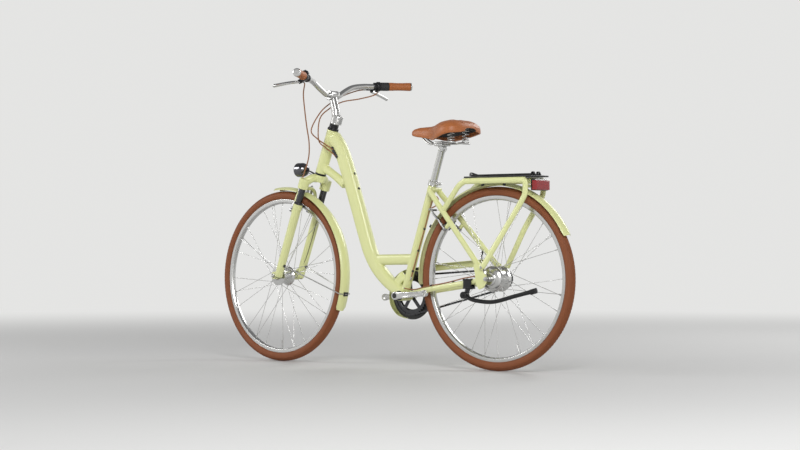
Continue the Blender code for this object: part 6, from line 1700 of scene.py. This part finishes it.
# Rear sprocket
# A hardened steel sprocket of eighteen teeth sits on the gear hub's driver, on a round boss.
@drawn
def sprocket_mesh(bm):
    add_toothed_ring(bm, SPROCKET_TEETH, 0.0324, 0.0390, 0.0160, 0.0012)
    add_turned(bm, [(0.0062, 0.0050), (0.0165, 0.0050), (0.0172, 0.0042), (0.0172, -0.0048),
                    (0.0155, -0.0057), (0.0062, -0.0057)], (0, CHAIN_LINE, 0), ALONG_Y, 56, closed=True,
               soft=0.0005)


place_piece("sprocket", sprocket_mesh(), SCREW_STEEL, "rear_sprocket", "sprocket_rear", place=REAR_PLACE)


# Chain
# A steel roller chain of half-inch pitch runs round the chainring and the sprocket. Inner and outer
# links take turns. Each has two waisted side plates, and the outer ones carry the pins and rollers.
CHAIN_PITCH = 0.0127


def chain_loop():
    """The pitch line round the chainring and the sprocket, evenly spaced points."""
    reach = REAR_HUB.length
    heading = math.atan2(REAR_HUB.z, REAR_HUB.x)
    lean = math.acos((CHAINRING_PITCH - SPROCKET_PITCH) / reach)
    rough = []
    for centre, radius, start, sweep in (
            (Vector((0, 0, 0)), CHAINRING_PITCH, heading + lean, 2 * math.pi - 2 * lean),
            (REAR_HUB, SPROCKET_PITCH, heading - lean, 2 * lean)):
        for i in range(97):
            angle = start + sweep * i / 96
            rough.append(centre + way_out(angle) * radius)
    lengths = [(b - a).length for a, b in zip(rough, rough[1:] + rough[:1])]
    total = sum(lengths)
    count = int(round(total / CHAIN_PITCH / 2)) * 2
    step = total / count
    points, walked, i = [], 0.0, 0
    for k in range(count):
        target = k * step
        while walked + lengths[i] < target:
            walked += lengths[i]
            i += 1
        a, b = rough[i], rough[(i + 1) % len(rough)]
        points.append(a.lerp(b, (target - walked) / lengths[i]))
    return points


@drawn
def link_mesh(bm, outer):
    """One link along X: two waisted plates and, on an outer link, both pins with their rollers."""
    half = CHAIN_PITCH / 2
    offset = 0.0036 if outer else 0.0025
    outline = []
    for centre, start in ((half, -90.0), (-half, 90.0)):
        for k in range(7):
            angle = math.radians(start + 180.0 * k / 6)
            outline.append((centre + 0.0040 * math.cos(angle), 0.0040 * math.sin(angle)))
        outline.append((0.0, 0.0030 if centre > 0 else -0.0030))
    for side in (1, -1):
        rings = [[Vector((x, side * offset + y, z)) for x, z in outline] for y in (-0.0005, 0.0005)]
        add_skin(bm, rings)
    if outer:
        for x in (-half, half):
            add_rod(bm, (x, 0, 0), ALONG_Y, 0.0016, 0.0086, 8, soft=0.0)
            add_ring(bm, (x, 0, 0), ALONG_Y, 0.0016, 0.0038, 0.0042, 12)


def make_link_tree():
    """One shape on every point, leaned about the axle's direction by the point's own angle."""
    tree, given = start_tree("set_links")
    nodes, links = tree.nodes, tree.links
    points = nodes.new("GeometryNodeMeshToPoints")
    links.new(given.outputs["Geometry"], points.inputs["Mesh"])
    lean = nodes.new("GeometryNodeInputNamedAttribute")
    lean.data_type = "FLOAT"
    lean.inputs["Name"].default_value = "lean"
    turn = nodes.new("ShaderNodeCombineXYZ")
    links.new(lean.outputs["Attribute"], turn.inputs["Y"])
    return end_tree(tree, given, points.outputs[0], turn.outputs[0])


SET_LINKS = make_link_tree()


@drawn
def chain_mesh(bm):
    """Inner and outer links on every other span of the loop, set there by the tree above."""
    points = chain_loop()
    for outer in (True, False):
        link = link_mesh(outer)
        first = 0 if outer else 1
        spans = [(points[k], points[(k + 1) % len(points)]) for k in range(first, len(points), 2)]
        path = bpy.data.meshes.new("pins")
        path.from_pydata([tuple((a + b) / 2) for a, b in spans], [], [])
        lean = path.attributes.new("lean", "FLOAT", "POINT")
        for item, (a, b) in zip(lean.data, spans):
            item.value = -math.atan2((b - a).z, (b - a).x)
        bm.from_mesh(repeated(SET_LINKS, path, link, SPOKE_STEEL))
    bm.transform(Matrix.Translation((0, CHAIN_LINE, 0)))


place_piece("roller_chain", chain_mesh(), DARK_STEEL, "frame", "chain", sharp=35.0)


# Chainguard
# A pressed band, painted with the frame, covers the chain's upper run and the front of the chainring.
# A tab on the seat tube and a rod to the seatstay hold it.
CHAINGUARD_LINE = [(-0.345, 0.142), (-0.220, 0.132), (-0.094, 0.120), (-0.030, 0.109), (0.020, 0.101),
                   (0.060, 0.083), (0.090, 0.051), (0.103, 0.012), (0.103, -0.025), (0.094, -0.049),
                   (0.069, -0.076), (0.044, -0.087), (0.021, -0.092)]


@drawn
def chainguard_mesh(bm):
    points = smooth_line([(x, 0, z) for x, z in CHAINGUARD_LINE], 8)
    last = len(points) - 1
    rings = []
    outer, inner, wall, depth = 0.0545, 0.0360, 0.0018, 0.0260
    for i, point in enumerate(points):
        along = (points[min(i + 1, last)] - points[max(i - 1, 0)]).normalized()
        out = Vector((-along.z, 0, along.x))
        section = ((0.0006, outer), (0.0, outer - 0.0010), (0.0, inner + 0.0006), (0.0006, inner),
                   (wall - 0.0004, inner), (wall, inner + 0.0006), (wall, outer - wall - 0.0008),
                   (wall + 0.0008, outer - wall), (depth - 0.0006, outer - wall),
                   (depth, outer - wall + 0.0005), (depth, outer - 0.0005), (depth - 0.0006, outer),
                   (depth * 0.62, outer + 0.0008), (depth * 0.50, outer + 0.0008), (depth * 0.40, outer))
        rings.append([point - out * d + Vector((0, -across, 0)) for d, across in section])
    add_skin(bm, rings)


@drawn
def guard_cheek_mesh(bm, near, far):
    """The guard's flat cheek beside the chainring, as a ring sector under the band."""
    add_turned(bm, [(0.0560, near), (0.0960, near), (0.0960, far), (0.0560, far)], steps=128, closed=True,
               soft=0.0002)


@drawn
def guard_holders_mesh(bm):
    add_block(bm, (-0.034, -0.0297, 0.1035), (0.012, 0.0250, 0.0085), 0.0012)
    end = seatstay_place(0.735, -1)
    start = Vector((-0.336, -0.048, 0.138))
    add_bar(bm, [start, start.lerp(end, 0.93)], 0.0036, None, 20)
    screw_head(bm, Vector((-0.034, -0.0545, 0.1035)), (0, -1, 0), 0.0042, 0.0026)
    screw_head(bm, Vector((-0.334, -0.0545, 0.134)), (0, -1, 0), 0.0042, 0.0026)


place_piece("chainguard_band", chainguard_mesh(), FRAME_PAINT, "frame", "chainguard", sharp=30.0)
place_piece("chainguard_cheek", guard_cheek_mesh(-0.0532, -0.0524), FRAME_PAINT, "frame")
place_piece("chainguard_lining", guard_cheek_mesh(-0.0522, -0.0514), BLACK_PLASTIC, "frame")
place_piece("chainguard_holders", guard_holders_mesh(), BLACK_STEEL, "frame")


# Kickstand
# A black bracket is clamped round the left chainstay. Its leg is a bent bar with a flat rubber foot
# and folds up on a round pin.
KICK_PIVOT = Vector((-0.353, 0.088, 0.008))
KICK_AXIS = Vector((-0.09, 1.0, 0.098)).normalized()
KICK_PLACE = Matrix.Translation(KICK_PIVOT) @ turn_to(KICK_AXIS)
KICK_STAY = Vector((-0.357, 0.0609, 0.0533))


def kick_point(x, z):
    """A point in the plane that the leg turns in."""
    slide = (KICK_AXIS.x * (x - KICK_PIVOT.x) + KICK_AXIS.z * (z - KICK_PIVOT.z)) / KICK_AXIS.y
    return Vector((x, KICK_PIVOT.y - slide, z))


@drawn
def kick_bracket_mesh(bm):
    add_turned(bm, [(0.0, -0.0093), (0.0130, -0.0093), (0.0135, -0.0100), (0.0135, -0.0185),
                    (0.0128, -0.0193), (0.0, -0.0193)], (0, 0, 0), ALONG_Z, 48, soft=0.0005)
    add_turned(bm, [(0.0, 0.0122), (0.0045, 0.0122), (0.0045, -0.0120), (0.0, -0.0120)], (0, 0, 0), ALONG_Z,
               28, soft=0.0005)
    bm.transform(KICK_PLACE)
    for z in (0.0135, -0.0180):
        add_block(bm, KICK_STAY + Vector((0, 0.0005, z - 0.0005)), (0.040, 0.029, 0.0065), 0.0016)
    add_block(bm, KICK_STAY + Vector((0, 0.0118, -0.0025)), (0.036, 0.0055, 0.030), 0.0014)
    add_block(bm, KICK_STAY + Vector((0, -0.0112, -0.0025)), (0.036, 0.0050, 0.030), 0.0014)
    inner = KICK_PLACE @ Vector((0, 0, -0.0143))
    add_bar(bm, [KICK_STAY + Vector((0, 0.004, -0.014)), inner], 0.0100, 0.0062, 24, 0.7)


@drawn
def kick_bolts_mesh(bm):
    for x in (-0.011, 0.011):
        screw_head(bm, KICK_STAY + Vector((x, 0.0, 0.0158)), ALONG_Z, 0.0046, 0.0032)
        screw_head(bm, KICK_STAY + Vector((x, 0.0, -0.0212)), (0, 0, -1), 0.0044, 0.0026)


@drawn
def kick_leg_mesh(bm):
    eye = [(0.0048, 0.0090), (0.0125, 0.0090), (0.0135, 0.0080)]
    add_turned(bm, both_ways(eye), (0, 0, 0), ALONG_Z, 48, closed=True, soft=0.0006)
    bm.transform(KICK_PLACE)
    line = [kick_point(x, z) for x, z in (
        (-0.362, 0.004), (-0.400, -0.010), (-0.480, -0.015), (-0.570, 0.007), (-0.640, 0.0245),
        (-0.664, 0.030))]
    add_bar(bm, smooth_line(line, 8), lambda t: 0.0078 + 0.0022 * max(0.0, t - 0.7) / 0.3,
            lambda t: 0.0078 - 0.0022 * max(0.0, t - 0.8) / 0.2, 28)


@drawn
def kick_foot_mesh(bm):
    end = kick_point(-0.6600, 0.0290)
    back = Vector((0.0240, -0.0006, -0.0060))
    add_bar(bm, [end + back, end + back * 0.5, end, end - back * 0.12], 0.0103, 0.0062, 28, 0.8)


place_piece("kickstand_clamp", kick_bracket_mesh(), BLACK_STEEL, "frame", "kickstand_bracket")
place_piece("kickstand_bolts", kick_bolts_mesh(), SCREW_STEEL, "frame")
place_piece("kickstand_bar", kick_leg_mesh(), BLACK_STEEL, "kickstand", "kickstand_leg")
place_piece("kickstand_foot", kick_foot_mesh(), BLACK_RUBBER, "kickstand", "kickstand_leg")


# Rim brakes
# Each wheel has two grey forged arms on studs, each with a ribbed rubber pad on a steel post and a
# bolt at its foot. The wire that joins them over the tyre is drawn with the cables.
BRAKE_ALLOY = make_finish("brake_alloy", (0.40, 0.40, 0.41), (0.33, 0.33, 0.34), 0.34, metallic=1.0,
                          patch_scale=40.0)
BRAKE_ARM_LINE = [(0.0480, 0.2830), (0.0445, 0.3050), (0.0365, 0.3350), (0.0345, 0.3700), (0.0300, 0.3880)]
FRONT_BRAKE_STATION = 0.0083
PAD_HEIGHT = 0.3060
PAD_MIDDLE = 0.0185


@drawn
def brake_arm_mesh(bm, side, station):
    boss = [(0.0, 0.0060), (0.0080, 0.0060), (0.0085, 0.0052)]
    add_turned(bm, both_ways(boss), (station, 0.048 * side, STUD_HEIGHT), ALONG_X, 40, soft=0.0005)
    line = [(station, y * side, z) for y, z in BRAKE_ARM_LINE]
    add_bar(bm, smooth_line(line, 6), lambda t: 0.0062 - 0.0016 * t, lambda t: 0.0048 - 0.0008 * t, 24, 0.7,
            start=ALONG_X)


@drawn
def brake_pad_mesh(bm, side, station):
    add_block(bm, (station, PAD_MIDDLE * side, PAD_HEIGHT), (0.050, 0.0096, 0.0088), 0.0016)
    for x in (-0.018, -0.006, 0.006, 0.018):
        add_block(bm, (station + x, (PAD_MIDDLE + 0.0044) * side, PAD_HEIGHT), (0.006, 0.0012, 0.0080),
                  0.0004)


@drawn
def brake_steel_mesh(bm, side, station):
    add_rod(bm, (station, 0.0335 * side, PAD_HEIGHT), ALONG_Y, 0.0030, 0.0270, 24)
    add_rod(bm, (station, 0.0470 * side, PAD_HEIGHT), ALONG_Y, 0.0052, 0.0040, 6)
    screw_head(bm, Vector((station + 0.0058, 0.048 * side, STUD_HEIGHT)), ALONG_X, 0.0056, 0.0030)


BRAKES = (("front", FRONT_PLACE, FRONT_BRAKE_STATION), ("rear", REAR_BRAKE_PLACE, 0.0))
for wheel, place, station in BRAKES:
    for side, label in SIDES:
        end = wheel + "_" + label
        body, node = "arm_" + end, "brake_arm_" + end
        place_piece("brake_forging_" + end, brake_arm_mesh(side, station), BRAKE_ALLOY, body, node,
                    place=place)
        place_piece("brake_block_" + end, brake_pad_mesh(side, station), BLACK_RUBBER, body, node,
                    place=place)
        place_piece("brake_bolts_" + end, brake_steel_mesh(side, station), SCREW_STEEL, body, place=place)


# Cable housings
# Brown plastic over wound steel, 5 mm thick. The front brake's runs from the left lever down to the
# fork, the rear brake's and the shifter's from the right end round the head into the frame's port.
# At each brake a bent silver tube leads on to the bare wire, which a small rubber bellows covers.
CABLE_BROWN = make_finish("brown_cable_housing", (0.30, 0.125, 0.050), (0.24, 0.095, 0.036), 0.38,
                          patch_scale=30.0, roughness_change=0.10, grain_scale=900.0,
                          grain_height=0.00004)
FERRULE_STEEL = make_finish("ferrule_steel", (0.60, 0.60, 0.59), (0.50, 0.50, 0.49), 0.28, metallic=1.0,
                            patch_scale=60.0)
CABLE_RADIUS = 0.0025
CABLE_SIDE = (0.3, 0.2, 0.93)
WIRE_HEIGHT = 0.3880 + 0.0045


def steer_point(place):
    """A point of the steering's own frame, as the bicycle stands."""
    return STEER_TURNED @ Vector(place)


def barrel_end(side):
    """The mouth of a brake clamp's barrel."""
    centre = bar_point(PERCH_PLACE, side)
    reach = on_side(BARREL_REACH, side)
    return centre.lerp(on_side(LEVER_PIVOT, side), 0.62) + reach + reach.normalized() * 0.0005


def link_line(station):
    """The wire over a brake's two arms."""
    return [Vector((station, y, WIRE_HEIGHT + rise))
            for y, rise in ((0.038, 0.0035), (0.020, 0.0), (-0.010, 0.0), (-0.034, 0.0))]


def stay_at(station):
    """The left chainstay's centre at a distance along X."""
    line = chainstay_line(1)
    for near, far in zip(line, line[1:]):
        if far.x <= station <= near.x:
            return near.lerp(far, (near.x - station) / (near.x - far.x))
    return line[-1]


FRONT_BRAKE_RUN = [steer_point(p) for p in [
    barrel_end(1), (0.066, 0.158, 0.806), (0.080, 0.135, 0.760), (0.074, 0.106, 0.690),
    (0.068, 0.080, 0.632), (0.062, 0.050, 0.570), (0.060, 0.032, 0.510), (0.060, 0.032, 0.450)]
    + [p + Vector((0.050, 0, 0)) for p in link_line(FRONT_BRAKE_STATION)]]
REAR_BRAKE_FRONT_RUN = [steer_point(p) for p in [
    barrel_end(-1), (0.070, -0.150, 0.805), (0.088, -0.100, 0.775), (0.100, -0.050, 0.735),
    (0.092, 0.004, 0.690)]] + [Vector(p) for p in (
        (0.446, 0.040, 0.662), (0.410, 0.046, 0.626), (0.366, 0.0330, 0.596), (0.345, 0.0250, 0.580))]
SHIFTER_FRONT_RUN = [steer_point(p) for p in [
    bar_point((0.12830 + PERCH_PLACE) / 2, -1) + Vector((-0.012, 0.0, -0.0185)), (0.004, -0.180, 0.808),
    (0.030, -0.130, 0.780), (0.066, -0.078, 0.752), (0.086, -0.034, 0.712), (0.078, 0.010, 0.668)]] + [
        Vector(p) for p in ((0.412, 0.034, 0.622), (0.378, 0.0335, 0.590), (0.345, 0.0268, 0.566),
                            (0.331, 0.0250, 0.553))]
REAR_BRAKE_RUN = [Vector(p) for p in (
    (-0.0405, 0.0120, 0.062), (-0.0600, 0.0120, 0.120),
    (-0.084, 0.0120, 0.190), (-0.108, 0.0110, 0.260), (-0.131, 0.0110, 0.330), (-0.149, 0.0110, 0.374),
    (-0.166, 0.0130, 0.384), (-0.178, 0.0155, 0.372), (-0.174, 0.0200, 0.352))]
REAR_BRAKE_RUN += [REAR_BRAKE_PLACE @ p for p in link_line(0.0)]
SHIFTER_REAR_RUN = [Vector((-0.022, 0.0295, 0.029)), Vector((-0.040, 0.0295, 0.026))]
SHIFTER_REAR_RUN += [stay_at(x) + Vector((0, -0.002, height)) for x, height in (
    (-0.075, 0.0137), (-0.150, 0.0137), (-0.250, 0.0140), (-0.330, 0.0195), (-0.388, 0.0195))]
SHIFTER_REAR_RUN += [REAR_HUB + Vector((0.030, 0.0595, 0.0170)), REAR_HUB + Vector((0.008, 0.0595, 0.0146))]


@drawn
def bar_of(bm, line, radius, sides=16):
    add_bar(bm, line, radius, None, sides, start=CABLE_SIDE)


@drawn
def stops_of(bm, line, *spans):
    """Steel ferrules over the housing where it enters a barrel or a stop."""
    for first, last in spans:
        add_bar(bm, line[first:last], 0.0031, None, 20, start=CABLE_SIDE)


@drawn
def bellows_of(bm, line):
    """A ribbed rubber sleeve over the wire beside its guide tube."""
    add_bar(bm, line, lambda t: 0.0030 + 0.0007 * math.cos(2 * math.pi * 5 * t), None, 20,
            start=CABLE_SIDE)


front_line = smooth_line(FRONT_BRAKE_RUN, 10)
FORK_BEND = ("fork_lower", steer_point((0, 0, 0.580)), steer_point((0, 0, 0.420)))
place_piece("front_brake_housing", bar_of(front_line[:81], CABLE_RADIUS), CABLE_BROWN, "steering",
            "cable_front_brake", bend=FORK_BEND)
place_piece("front_brake_ferrule", stops_of(front_line, (0, 5)), FERRULE_STEEL, "steering")
place_piece("front_brake_guide", bar_of(front_line[77:88], 0.0029, 20), FERRULE_STEEL, "fork_lower")
place_piece("front_brake_wire", bar_of(front_line[80:], 0.0008, 8), SPOKE_STEEL, "fork_lower",
            "cable_front_brake")
place_piece("front_brake_bellows", bellows_of(smooth_line(front_line[89:99], 4)), BLACK_RUBBER, "fork_lower")

HEAD_BEND = ("frame", Vector((0.460, 0.0, 0.700)), Vector((0.400, 0.0, 0.580)))
rear_front_line = smooth_line(REAR_BRAKE_FRONT_RUN, 10)
place_piece("rear_brake_housing_front", bar_of(rear_front_line, CABLE_RADIUS), CABLE_BROWN, "steering",
            "cable_rear_brake_front", bend=HEAD_BEND)
place_piece("rear_brake_ferrule", stops_of(rear_front_line, (0, 5)), FERRULE_STEEL, "steering")
shifter_line = smooth_line(SHIFTER_FRONT_RUN, 10)
place_piece("shifter_housing_front", bar_of(shifter_line, CABLE_RADIUS), CABLE_BROWN, "steering",
            "cable_shifter_front", bend=HEAD_BEND)
place_piece("shifter_ferrule", stops_of(shifter_line, (0, 4)), FERRULE_STEEL, "steering")

rear_line = smooth_line(REAR_BRAKE_RUN, 10)
place_piece("rear_brake_housing", bar_of(rear_line[:91], CABLE_RADIUS), CABLE_BROWN, "frame",
            "cable_rear_brake")
place_piece("rear_brake_stops", stops_of(rear_line, (0, 3)), FERRULE_STEEL, "frame")
place_piece("rear_brake_guide", bar_of(rear_line[86:98], 0.0029, 20), FERRULE_STEEL, "frame")
place_piece("rear_brake_wire", bar_of(rear_line[90:], 0.0008, 8), SPOKE_STEEL, "frame", "cable_rear_brake")
place_piece("rear_brake_bellows", bellows_of(smooth_line(rear_line[99:109], 4)), BLACK_RUBBER, "frame")
shift_line = smooth_line(SHIFTER_REAR_RUN, 10)
place_piece("shifter_housing_rear", bar_of(shift_line, CABLE_RADIUS), CABLE_BROWN, "frame",
            "cable_shifter_rear")
place_piece("shifter_stops", stops_of(shift_line, (0, 3), (-5, None)), FERRULE_STEEL, "frame")


# Cable clips and lamp wire
# Black plastic clips hold the housings to the seat tube and the chainstay. A thin black wire runs
# from the headlight behind the crown and down the right leg to the dynamo in the front hub.
@drawn
def cable_clips_mesh(bm):
    for index in (6, 18, 30):
        here, ahead = rear_line[index], rear_line[index + 1]
        add_ring(bm, here, ahead - here, 0.0026, 0.0040, 0.008, 24, 0.0004)
        add_bar(bm, [here, here + Vector((0.006, -0.002, 0.0))], 0.0022, None, 12)
    for x in (-0.170, -0.280):
        place = stay_at(x) + Vector((0, -0.002, 0.0137))
        add_ring(bm, place, (-0.98, 0.10, 0.17), 0.0026, 0.0040, 0.008, 24, 0.0004)


LAMP_WIRE_RUN = [steer_point(p) for p in (
    (0.070, -0.004, 0.440), (0.050, -0.018, 0.436), (0.030, -0.034, 0.420), (0.012, -0.042, 0.395),
    (0.004, -0.046, 0.340), (0.000, -0.050, 0.300), (0.000, -0.0520, 0.200), (0.003, -0.0520, 0.100),
    (0.012, -0.0500, 0.050), (0.034, -0.0485, 0.024), (0.044, -0.0455, 0.014))]
place_piece("cable_clips", cable_clips_mesh(), BLACK_PLASTIC, "frame")
place_piece("lamp_wire", bar_of(smooth_line(LAMP_WIRE_RUN, 8), 0.0012, 10), BLACK_RUBBER, "steering",
            bend=("fork_lower", steer_point((0, 0, 0.430)), steer_point((0, 0, 0.330))))


# Studio
# A plain pale floor under the wheels, soft lamps above and beside the bicycle, and a camera at the
# photograph's angle: behind the rider's left shoulder, at the height of the hubs, with a long lens.
GROUND = -0.2794
FLOOR_REACH = 40
BACKGROUND = (0.78, 0.78, 0.77, 1.0)
CAMERA_PLACE = Vector((-4.825, 6.213, 0.208))
CAMERA_TARGET = Vector((0.022, 0.0, 0.276))


def seen_ray(nodes, links):
    """One on the rays that show the background, straight, mirrored or through glass."""
    path = nodes.new("ShaderNodeLightPath")
    mirrored = nodes.new("ShaderNodeMath")
    mirrored.operation = "MAXIMUM"
    links.new(path.outputs["Is Camera Ray"], mirrored.inputs[0])
    links.new(path.outputs["Is Glossy Ray"], mirrored.inputs[1])
    seen = nodes.new("ShaderNodeMath")
    seen.operation = "MAXIMUM"
    links.new(mirrored.outputs[0], seen.inputs[0])
    links.new(path.outputs["Is Transmission Ray"], seen.inputs[1])
    return seen.outputs[0]


def fade_into_background(material, near, far):
    """Turns the floor into the background's own colour with the distance from the bicycle."""
    nodes, links = material.node_tree.nodes, material.node_tree.links
    output = nodes["Material Output"]
    surface = output.inputs["Surface"].links[0].from_socket
    place = nodes.new("ShaderNodeTexCoord")
    length = nodes.new("ShaderNodeVectorMath")
    length.operation = "LENGTH"
    links.new(place.outputs["Object"], length.inputs[0])
    fade = nodes.new("ShaderNodeMapRange")
    fade.interpolation_type = "SMOOTHSTEP"
    fade.inputs["From Min"].default_value = near
    fade.inputs["From Max"].default_value = far
    links.new(length.outputs["Value"], fade.inputs["Value"])
    share = nodes.new("ShaderNodeMath")
    share.operation = "MULTIPLY"
    links.new(fade.outputs["Result"], share.inputs[0])
    links.new(seen_ray(nodes, links), share.inputs[1])
    glow = nodes.new("ShaderNodeEmission")
    glow.inputs["Color"].default_value = BACKGROUND
    blend = nodes.new("ShaderNodeMixShader")
    links.new(share.outputs[0], blend.inputs[0])
    links.new(surface, blend.inputs[1])
    links.new(glow.outputs[0], blend.inputs[2])
    links.new(blend.outputs[0], output.inputs["Surface"])


def lay_floor():
    mesh = bpy.data.meshes.new("floor")
    corners = [(x * FLOOR_REACH, y * FLOOR_REACH, 0) for x, y in ((-1, -1), (1, -1), (1, 1), (-1, 1))]
    mesh.from_pydata(corners, [], [(0, 1, 2, 3)])
    floor = bpy.data.objects.new("floor", mesh)
    floor.location.z = GROUND
    bpy.context.scene.collection.objects.link(floor)
    material = make_finish("pale_floor", (0.66, 0.66, 0.65), (0.64, 0.64, 0.635), 0.62,
                           patch_scale=0.8, grain_scale=200.0)
    fade_into_background(material, 1.6, 7.0)
    mesh.materials.append(material)


def hang_lamp(name, place, power, size, target=(0.0, 0.0, 0.25)):
    data = bpy.data.lights.new(name, "AREA")
    data.shape = "DISK"
    data.size = size
    data.energy = power
    lamp = bpy.data.objects.new(name, data)
    lamp.location = place
    lamp.rotation_euler = (Vector(target) - Vector(place)).to_track_quat("-Z", "Y").to_euler()
    bpy.context.scene.collection.objects.link(lamp)


def light_world():
    """Pale walls all round, which are the background too, under a darker ceiling."""
    world = bpy.data.worlds.new("studio_world")
    world.use_nodes = True
    nodes, links = world.node_tree.nodes, world.node_tree.links
    direction = nodes.new("ShaderNodeTexCoord")
    split = nodes.new("ShaderNodeSeparateXYZ")
    ramp = nodes.new("ShaderNodeValToRGB")
    ramp.color_ramp.elements[0].position = 0.12
    ramp.color_ramp.elements[0].color = BACKGROUND
    ramp.color_ramp.elements[1].position = 0.60
    ramp.color_ramp.elements[1].color = (0.22, 0.22, 0.225, 1.0)
    links.new(direction.outputs["Generated"], split.inputs[0])
    links.new(split.outputs["Z"], ramp.inputs["Fac"])
    links.new(ramp.outputs["Color"], nodes["Background"].inputs["Color"])
    bpy.context.scene.world = world


lay_floor()
light_world()
hang_lamp("key_lamp", (-3.4, 3.6, 2.6), 150.0, 2.2)
hang_lamp("front_lamp", (3.6, 2.6, 2.2), 68.0, 1.8)
hang_lamp("right_lamp", (-0.6, -3.8, 2.6), 70.0, 2.2)

camera_data = bpy.data.cameras.new("camera")
camera_data.sensor_width = 36.0
camera_data.lens = 90.3
camera = bpy.data.objects.new("camera", camera_data)
camera.location = CAMERA_PLACE
camera.rotation_euler = (CAMERA_TARGET - CAMERA_PLACE).to_track_quat("-Z", "Y").to_euler()
bpy.context.scene.collection.objects.link(camera)
bpy.context.scene.camera = camera
bpy.context.scene.view_settings.view_transform = "Standard"
